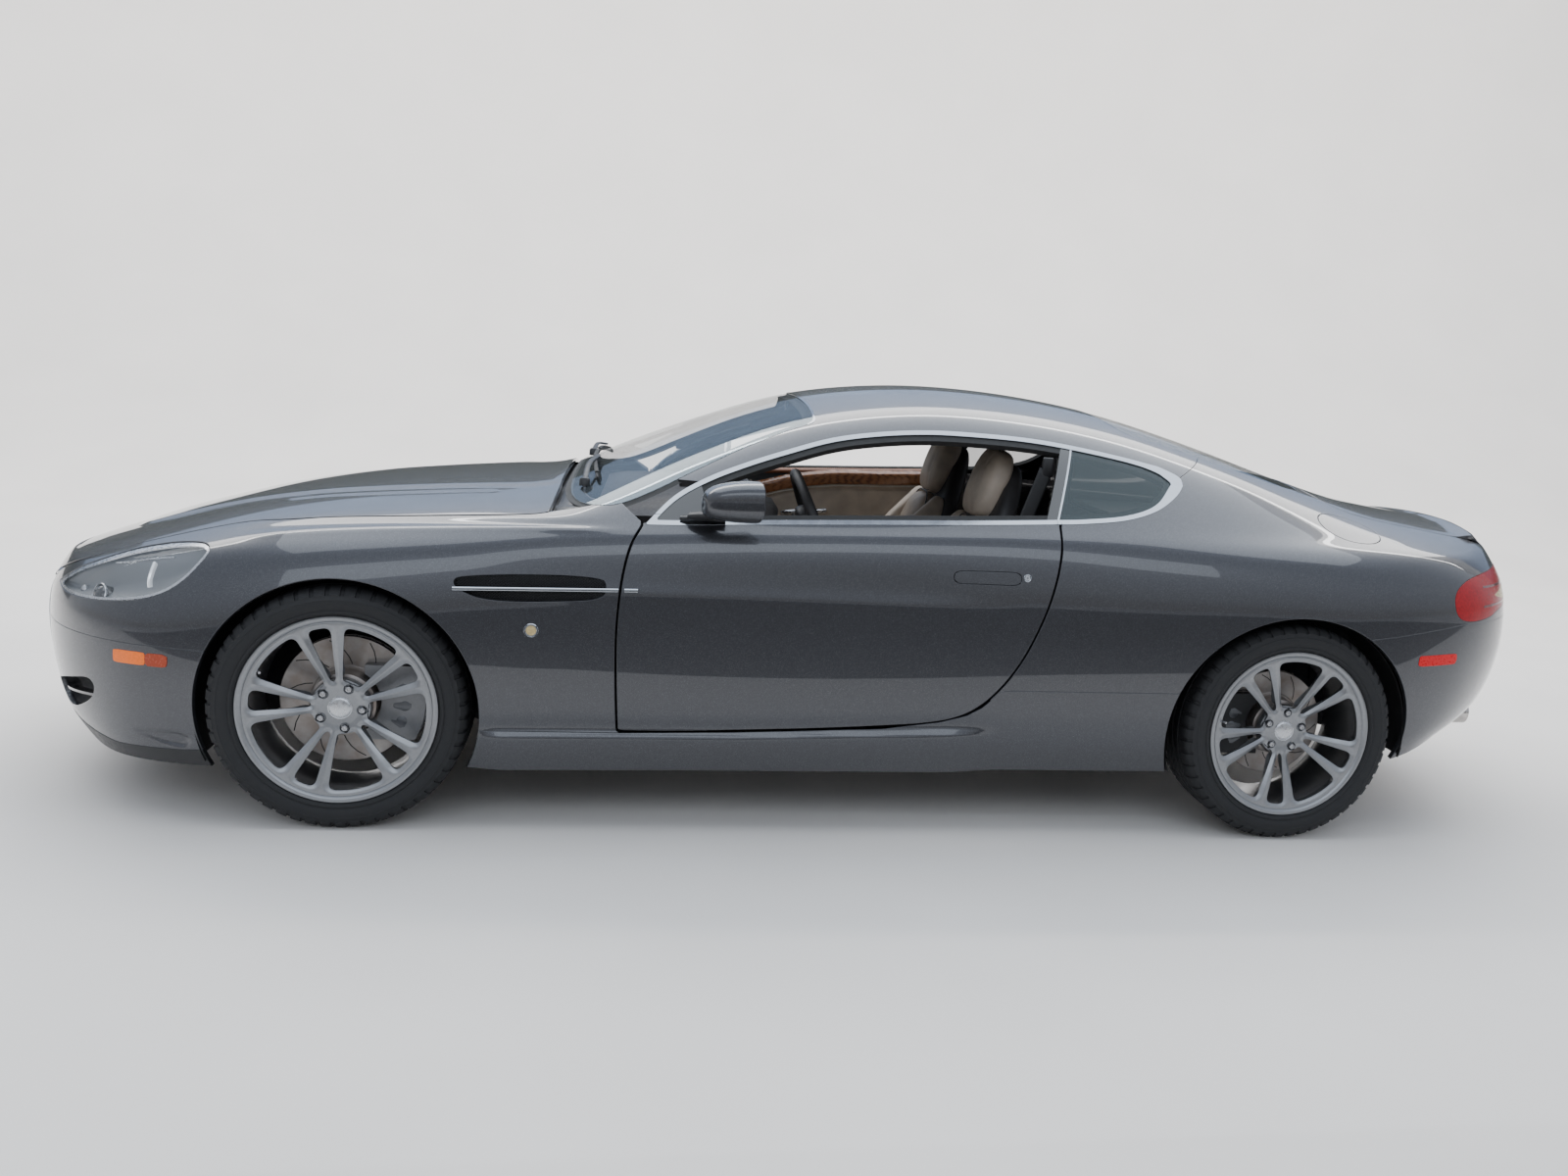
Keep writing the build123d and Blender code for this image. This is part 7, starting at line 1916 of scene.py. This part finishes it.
for sd_, fn, fx in (("right", lambda q: q, lambda q: q), ("left", mirror, flipf)):
    mk("door_card_" + sd_, fn(np.concatenate(cardm.v)), fx(cardm.f), M["hide_beige"], "door_" + sd_, "dark_leather", angle=50)
    mk("door_wood_" + sd_, fn(np.concatenate(woodm.v)), fx(woodm.f), M["wood_band"], "door_" + sd_, "wood", angle=50)
    mk("door_piping_" + sd_, fn(pipe_[0]), fx(pipe_[1]), M["hide_pale"], "door_" + sd_, "seat_leather")
    o = mk("door_top_roll_" + sd_, fn(np.concatenate(roll.v)), fx(roll.f), M["hide_tan"], "door_" + sd_, "tan_leather")
    mk("door_pull_" + sd_, fn(np.concatenate(pull.v)), fx(pull.f), M["satin_metal"], "door_" + sd_, "bright_metal", angle=45)
    mk("door_speaker_grille_" + sd_, fn(np.concatenate(arm_.v)), fx(arm_.f), M["black_trim"], "door_" + sd_, "black_plastic", angle=45)
    mk("door_stitches_" + sd_, fn(np.concatenate(ms.v)), fx(ms.f), M["hide_beige"], "door_" + sd_, "seat_leather")

# ---- body side of the door opening: wall round the door, step and rubber
dl = DOORL[(DOORL[:, 1] < z_belt(DOORL[:, 0]) + 8)]
i0 = np.argmin(np.hypot(dl[:, 0] - 778, dl[:, 1] - 871)); dl = np.roll(dl, -i0, axis=0)
seg = [dl[0]]
for p in dl[1:]:
    if np.hypot(*(p - seg[-1])) > 9: seg.append(p)
seg = np.array(seg); tn = np.gradient(seg, axis=0); tn /= np.linalg.norm(tn, axis=1)[:, None]; nn = np.stack([-tn[:, 1], tn[:, 0]], 1)
if sdf(DOORL, *(seg[len(seg) // 2] + nn[len(seg) // 2] * 5)[:, None])[0] > 0: nn = -nn     # outward
jam = []
ysk = np.array([sk(p[0] + m_[0] * 6, p[1] + m_[1] * 6)[0][1] for p, m_ in zip(seg, nn)])
ysk = np.convolve(np.pad(ysk, 3, mode="edge"), np.ones(7) / 7, "valid")
for p, m_, y in zip(seg, nn, ysk):
    jam.append([(p[0] + m_[0] * 4, y - 10, p[1] + m_[1] * 4), (p[0] + m_[0] * 5, y - 30, p[1] + m_[1] * 5), (p[0] + m_[0] * 5, 776, p[1] + m_[1] * 5), (p[0] + m_[0] * 1, 768, p[1] + m_[1] * 1),
                (p[0] - m_[0] * 22, 766, p[1] - m_[1] * 22), (p[0] - m_[0] * 24, 755, p[1] - m_[1] * 24)])
jam = np.array(jam); k = len(jam)
jf = grid_faces(k, 6)
rb = tube(np.array([(q[4] + q[3]) / 2 + (0, 1.5, 0) for q in jam]) + (0, 0, 0), (5.0, 4.0), 8)
for sd_, fn, fx in (("right", lambda q: q, lambda q: q), ("left", mirror, flipf)):
    mk("door_aperture_" + sd_, fn(jam.reshape(-1, 3)), fx(jf), M["paint_grey"], "root", "body_paint", angle=50)
    mk("door_seal_" + sd_, fn(rb[0]), fx(rb[1]), M["rubber_seal"], "root", "black_plastic")

# ---- belts on the door pillars
for sd_, s in (("left", -1), ("right", 1)):
    pts = catmull([(1962, s * 672, 1078), (1900, s * 700, 915), (1838, s * 722, 740), (1796, s * 728, 330)], 8)
    v, f = tube(pts, (22, 1.2), 8, up=(0, 1, 0)); mk("belt_web_" + sd_, v, f, M["belt_web"], "root", "belt_webbing")
    v, f = rbox((1966, s * 668, 1086), (34, 16, 60), 5, 3); mk("belt_guide_" + sd_, v, f, M["black_trim"], "root", "black_plastic", angle=45)

# ---- inner roof lining
V, F = part_of(inbox(1150, 2350, 900, 1400, v0=5.0))
V, F = cut(V, F, lambda V: np.minimum(np.minimum(-sdf(WST, V[:, 0], V[:, 1]), -sdf(RWT, V[:, 0], V[:, 1])), -sdf(DLO, V[:, 0], V[:, 2]) - 1), 6)
V = V.copy(); V[:, :3] -= V[:, 3:6] * 22
spiece("roof_lining", V, [tuple(reversed(q)) for q in F], "headlining", "root", "carpet", merge=True, rings=None, skip=mid_skip)
# ------------------------------------------------------------------ wheel housings
def housing(name, cx, cz, prof, a0, a1, sq=1.0, n=60):
    """arched liner: prof is (radius, |y|) from the lip inwards, ribbed round the arch"""
    th = np.radians(np.linspace(a0, a1, n)); V = []
    for k, t in enumerate(th):
        rib = 2.5 * (k % 6 == 0)
        row = []
        for j, (r, y) in enumerate(prof):
            q = r - (rib if 1 < j < len(prof) - 3 else 0)
            row.append((cx + q * math.cos(t) * sq, y, cz + q * math.sin(t)))
        V.append(row)
    V = np.array(V); m_ = len(prof); v = V.reshape(-1, 3); f = grid_faces(n, m_, flip=True)
    mk(name + "_right", v, f, M["liner"], "root", "black_plastic", angle=50)
    mk(name + "_left", mirror(v), flipf(f), M["liner"], "root", "black_plastic", angle=50)
housing("front_wheel_housing", 0.0, HUB_F, [(368.5, 868), (369, 858), (378, 848), (400, 843), (414, 836), (416, 700), (416, 560), (414, 470), (400, 444), (300, 432), (170, 428)], -24, 204)
housing("rear_wheel_housing", WB, HUB_R, [(374.5, 884), (375, 872), (382, 862), (398, 850), (404, 820), (404, 720), (404, 640), (400, 606), (380, 590), (300, 584), (190, 580)], -10.5, 200, 1.05)


# ------------------------------------------------------------------ inner sheets of the bonnet and boot lid
def pressing(V, px, py, x0, w=36.0):
    """0 in the pressed pockets, 1 on the frame between them"""
    a = np.abs((V[:, 0] - x0 + px / 2) % px - px / 2); b = np.abs((V[:, 1] + py / 2) % py - py / 2)
    return np.maximum(sstep(w + 14, w - 6, a), sstep(w + 14, w - 6, b))


def inner_sheet(name, box_, v0, poly, px, py, x0, body, lo=None):
    V, F = part_of(inbox(*box_, v0=v0))
    V, F = keep_in(V, F, poly, top, 26.0)
    if v0 > 2: V, F = cut(V, F, lambda V: V[:, 7] - 2.9)
    if lo: V, F = cut(V, F, lambda V: V[:, 2] - (lo + 26.0))
    d_ = sdf(poly, V[:, 0], V[:, 1])
    if lo: d_ = np.minimum(d_, V[:, 2] - lo)
    off = lerp(d_, [26, 60], [7, 20]) - 9 * (1 - pressing(V, px, py, x0)) * sstep(66, 90, d_)
    V = V.copy(); V[:, :3] -= V[:, 3:6] * off[:, None]
    V = renormal(V, F)
    spiece(name, V, F, "inner_sheet", body, "chassis_black", merge=True, skip=mid_skip, rings=None)
    ob = bpy.data.objects[name]
    if "custom_normal" in ob.data.attributes: ob.data.attributes.remove(ob.data.attributes["custom_normal"])
    ob.modifiers.new("thin", "DECIMATE").ratio = 0.34
inner_sheet("bonnet_inner_sheet", (-1000, 640, 540, 1100), 2.6, BONT, 250.0, 236.0, -60.0, "bonnet")
inner_sheet("boot_lid_inner_sheet", (2900, 3900, 660, 1200), 1.6, BOOTT, 236.0, 260.0, 3180.0, "boot_lid", 700.0)


def zskin(x, y, vmin):
    m = GR[:, 7] > vmin
    i = np.argmin((GR[:, 0] - x) ** 2 + (GR[:, 1] - abs(y)) ** 2 + np.where(m, 0, 1e9)); n = GR[i, 3:6]
    return GR[i, 2] - ((x - GR[i, 0]) * n[0] + (abs(y) - GR[i, 1]) * n[1]) / max(n[2], 0.45)


def rim_loop(poly, step=24.0):
    """closed plan loop of an outline given for one half, with outward normals"""
    p = np.asarray(poly, float); q = []
    for a, b in zip(p, np.roll(p, -1, 0)):
        n = max(1, int(np.hypot(*(b - a)) / step))
        q += [a + (b - a) * t / n for t in range(n)]
    q = np.array(q); k = q[:, 1] >= 6.0
    s0 = [i for i in range(len(q)) if k[i] and not k[i - 1]][0]
    q = np.roll(q, -s0, 0)[:k.sum()]
    keep = [0]
    for i in range(1, len(q)):
        if np.hypot(*(q[i] - q[keep[-1]])) > step * 0.7: keep.append(i)
    q = q[keep]
    return np.vstack([q, q[::-1] * [1, -1]])


def loop_normals(q):
    t = np.roll(q, -1, 0) - np.roll(q, 1, 0); t = (t + np.roll(t, 1, 0) + np.roll(t, -1, 0)) / 3
    n = np.stack([t[:, 1], -t[:, 0]], 1); n /= np.maximum(np.linalg.norm(n, axis=1), 1e-6)[:, None]
    c = q.mean(0)
    if np.mean(((q - c) * n).sum(1)) < 0: n = -n
    return n


# channel round the bonnet opening and the sides of the engine bay
q = rim_loop(BONT); nn = loop_normals(q)
zs_ = np.array([zskin(x, y, 2.6) for x, y in q])
rows = []
for o_, dz in ((9, -15), (0, -30), (-24, -38), (-34, -62), (-48, -1)):
    xy = q + nn * o_
    wall = np.maximum(np.interp(q[:, 0], [-900, -640, -500, 600], [575, 520, 470, 470]), HUB_F + np.sqrt(np.maximum(452.0 ** 2 - q[:, 0] ** 2, 0)) * (np.abs(q[:, 1]) > 330))
    zz_ = zs_ + dz if dz != -1 else np.minimum(zs_ - 68, wall)
    rows.append(np.column_stack([xy, zz_]))
m_ = len(q)
mk("bonnet_opening_channel", np.concatenate(rows), grid_faces(len(rows), m_, wrap_v=True, flip=True), M["inner_sheet"], "root", "chassis_black", angle=40)
# boot: channel, trimmed walls and floor
q = rim_loop(BOOTT); xt = np.array([xtail(y, 702) for x, y in q])
q[:, 0] = np.minimum(q[:, 0], xt - 1.0)
nn = loop_normals(q)
zs_ = np.array([700.0 if x > t_ - 8 else max(zskin(x, y, 1.6), 700.0) for (x, y), t_ in zip(q, xt)])
rows = []
for o_, dz in ((7, -14), (0, -28), (-22, -36), (-34, -62)):
    rows.append(np.column_stack([q + nn * o_, zs_ + dz]))
cen = np.array([3230.0, 0.0])
for sc_, z_ in ((0.90, 600.0), (0.86, 520.0), (0.83, 502.0), (0.80, 498.0), (0.5, 497.5), (0.2, 497.0), (0.004, 497.0)):
    xy = cen + (q + nn * -34 - cen) * sc_ / 0.93
    if z_ > 590: xy = cen + (q + nn * -34 - cen) * 0.985
    rows.append(np.column_stack([xy, np.full(len(q), z_)]))
m_ = len(q)
nr = 4
mk("boot_opening_channel", np.concatenate(rows[:nr]), grid_faces(nr, m_, wrap_v=True, flip=True), M["inner_sheet"], "root", "chassis_black", angle=40)
mk("boot_trim", np.concatenate(rows[nr - 1:]), grid_faces(len(rows) - nr + 1, m_, wrap_v=True, flip=True), M["carpet_dark"], "root", "carpet", angle=50)
# filler pocket with its cap
pk = Mesh(); fc = Mesh(); th = np.linspace(0, 2 * math.pi, 48, endpoint=False); rows = []
zc_ = zskin(FLAPC[0], FLAPC[1], 1.0)
for r_, dz, flat in ((90, -13, 0), (82, -22, 0), (78, -40, 0.4), (72, -66, 1), (40, -68, 1), (1, -68, 1)):
    rows.append([(FLAPC[0] + 1.18 * r_ * math.cos(t), FLAPC[1] + r_ * math.sin(t), (zskin(FLAPC[0] + 1.18 * r_ * math.cos(t), FLAPC[1] + r_ * math.sin(t), 1.0) * (1 - flat) + zc_ * flat) + dz) for t in th])
v = np.array(rows).reshape(-1, 3)
mk("filler_pocket", mirror(v), grid_faces(6, 48, wrap_v=True), M["liner"], "root", "black_plastic", angle=50)
v, f = spin([(0.01, 26), (20, 26), (25, 24), (27, 18), (30, 16), (34, 14), (36, 8), (36, 0)], 40, (FLAPC[0], -FLAPC[1], zc_ - 67), "z", closed=False); fc.add(v, f)
v, f = rbox((FLAPC[0], -FLAPC[1], zc_ - 39), (46, 9, 12), 3, 3); fc.add(v, f)
mk("filler_cap", np.concatenate(fc.v), fc.f, M["black_trim"], "root", "black_plastic", angle=40)
# tray that closes the nose underneath
rows = []
for t in np.linspace(0, 1, 12):
    rows.append([(lerp(abs(y), [0, 100, 200, 300, 380, 420, 500, 600], [-846, -844, -836, -818, -796, -783, -749, -690]) * (1 - t) - 430 * t, y, 174 + 16 * t + 4 * (abs((y + 60) % 120 - 60) < 22)) for y in np.linspace(-600, 600, 61)])
mk("nose_tray", np.array(rows).reshape(-1, 3), grid_faces(12, 61), M["underseal"], "root", "black_plastic", angle=40)


# ------------------------------------------------------------------ what stands in the engine bay
eb = Mesh(); ep = Mesh(); ec = Mesh(); hoses = Mesh()
for s in (-1, 1):
    v, f = rbox((112, s * 168, 712), (520, 128, 44), 14, 4); ec.add(v, f)
    for k in range(6):
        v, f = rbox((-90 + k * 80, s * 168, 737), (14, 104, 8), 3, 3); ec.add(v, f)
        v, f = tube(catmull([(-90 + k * 80, s * 34, 748), (-90 + k * 80, s * 74, 752), (-90 + k * 80, s * 106, 734), (-90 + k * 80, s * 124, 712)], 5), 17.0, 14); ep.add(v, f)
    v, f = rbox((-330, s * 250, 560), (190, 210, 130), 24, 4); eb.add(v, f)
    v, f = tube(catmull([(-330, s * 180, 600), (-260, s * 110, 650), (-200, s * 60, 700), (-150, s * 30, 730)], 6), 36.0, 18); hoses.add(v, f)
v, f = rbox((112, 0, 744), (500, 74, 46), 20, 4); ep.add(v, f)
v, f = tube([(430, -520, 752), (470, -300, 790), (500, 0, 800), (470, 300, 790), (430, 520, 752)], 13.0, 16); hoses.add(v, f)
for nm_, ms_, mt_, sl_ in (("cam_covers", ec, "cast_metal", "cast_aluminium"), ("intake_plenum", ep, "cast_metal", "cast_aluminium"), ("air_boxes", eb, "black_trim", "black_plastic"), ("bay_hoses", hoses, "frame_black", "black_plastic")):
    mk(nm_, np.concatenate(ms_.v), ms_.f, M[mt_], "root", sl_, angle=45)
# ------------------------------------------------------------------ studio, camera, floor and lamps
def studio():
    sc = bpy.context.scene
    w = bpy.data.worlds.new("studio") if not sc.world else sc.world
    sc.world = w; w.use_nodes = True
    nt = w.node_tree
    for n in list(nt.nodes): nt.nodes.remove(n)
    out = nd(nt, "ShaderNodeOutputWorld"); bg = nd(nt, "ShaderNodeBackground", ins={"Strength": 1.0})
    tc = nd(nt, "ShaderNodeTexCoord"); sp = nd(nt, "ShaderNodeSeparateXYZ")
    link(nt, tc.outputs["Generated"], sp.inputs[0])
    col = ramp(nt, maprange(nt, sp.outputs["Z"], -0.2, 1.0, 0, 1), [(0.0, (0.45, 0.44, 0.43)), (0.17, (0.50, 0.50, 0.50)), (0.22, (0.62, 0.66, 0.72)), (0.45, (0.74, 0.80, 0.90)), (1.0, (0.62, 0.70, 0.84))])
    link(nt, col, bg.inputs["Color"]); link(nt, bg.outputs[0], out.inputs[0])


def camera():
    yaw, pitch, roll = 0.201737, 0.176700, 0.077285
    cy, sy, cp, sp, cr, sr = math.cos(yaw), math.sin(yaw), math.cos(pitch), math.sin(pitch), math.cos(roll), math.sin(roll)
    fwd = np.array([sy, cy, 0.0]); right = np.array([cy, -sy, 0.0]); up = np.array([0, 0, 1.0])
    f2 = cp * fwd - sp * up; u2 = sp * fwd + cp * up
    r, u = cr * right + sr * u2, -sr * right + cr * u2
    cd = bpy.data.cameras.new("camera"); co = bpy.data.objects.new("camera", cd); COL.objects.link(co)
    cd.sensor_width = 36; cd.lens = 31.5; cd.shift_x = -0.09375; cd.shift_y = 0.0125
    cd.clip_start = 0.05; cd.clip_end = 200; cd.dof.use_dof = False
    m = Matrix.Identity(4)
    for i in range(3):
        m[i][0], m[i][1], m[i][2] = r[i], u[i], -f2[i]
    m[0][3], m[1][3], m[2][3] = -0.598095, -4.679706, 1.372514
    co.matrix_world = m
    bpy.context.scene.camera = co


# finishes for what is still seen of the plain frame
for nm_, mt_ in (("engine_block", "engine_dark"), ("transaxle", "cast_metal"), ("exhaust", "exhaust_steel"), ("floor_pan", "underseal"), ("front_subframe", "frame_black"), ("rear_subframe", "frame_black"),
                 ("parcel_shelf", "headlining"), ("knuckle_left", "cast_metal"), ("knuckle_right", "cast_metal"), ("door_glass_left", "side_glass"), ("door_glass_right", "side_glass")):
    ob_ = bpy.data.objects.get(nm_)
    ob_.data.materials.clear(); ob_.data.materials.append(M[mt_])
camera()
studio()
# floor that sweeps up into a wall behind the car, both pale
prof = [(-14000, 0), (-6000, 0), (0, 0), (3000, 0), (4600, 0)] + [(4600 + 5200 * math.sin(t), 5200 - 5200 * math.cos(t)) for t in np.linspace(0.06, math.pi / 2, 22)] + [(9800, 9000), (9800, 16000)]
vs = np.array([(x, y, z) for x in np.linspace(-26000, 26000, 14) for y, z in prof])
me = bpy.data.meshes.new("floor_sweep"); me.from_pydata([tuple(p / 1000.0) for p in vs], [], grid_faces(14, len(prof))); floor = bpy.data.objects.new("floor_sweep", me); COL.objects.link(floor)
me.polygons.foreach_set("use_smooth", [True] * len(me.polygons))
def card(name, pts, col):
    """dark card that only shows as a reflection in the paint"""
    me = bpy.data.meshes.new(name); me.from_pydata(pts, [], [(0, 1, 2, 3)]); ob = bpy.data.objects.new(name, me); COL.objects.link(ob)
    simple(name + "_mat", col, 0.9, 0.0, 2, 0.1, 0.05, 0.0); me.materials.append(M[name + "_mat"])
    ob.visible_camera = False; ob.visible_diffuse = False; ob.visible_shadow = False; ob.visible_transmission = False
card("ground_card", [(-9, -9.5, 0.004), (9, -9.5, 0.004), (9, -2.5, 0.004), (-9, -2.5, 0.004)], (0.055, 0.050, 0.046))
card("far_card", [(-16, 7.2, 0.0), (16, 7.2, 0.0), (16, 7.6, 2.7), (-16, 7.6, 2.7)], (0.035, 0.038, 0.034))
card("sky_card", [(-16, 7.6, 2.7), (16, 7.6, 2.7), (16, 8.8, 8.0), (-16, 8.8, 8.0)], (0.19, 0.24, 0.33))
simple("floor_mat", (0.80, 0.765, 0.725), 0.62, 0.0, 1.3, 0.025, 0.08, 0.04, 0.0004, 160)
me.materials.append(M["floor_mat"])
for nm, loc, rot, size, e, colr in (("top", (0.2, 0.3, 5.4), (0, 0, 0), (9, 5.5), 330, (0.86, 0.93, 1.0)), ("wall_wash", (0, 4.5, 6.0), (-62, 0, 0), (16, 2.5), 520, (1.0, 0.995, 0.985)), ("left", (-1.0, -7.5, 4.6), (60, 0, 0), (10, 2.2), 120, (0.84, 0.92, 1.0)), ("wall_light", (0, 4.4, 7.2), (42, 0, 0), (24, 1.6), 1500, (1.0, 1.0, 1.0))):
    ld = bpy.data.lights.new(nm, "AREA"); ld.shape = "RECTANGLE"; ld.size, ld.size_y = size; ld.energy = e; ld.color = colr
    lo = bpy.data.objects.new(nm, ld); COL.objects.link(lo); lo.location = loc; lo.rotation_euler = [math.radians(a) for a in rot]
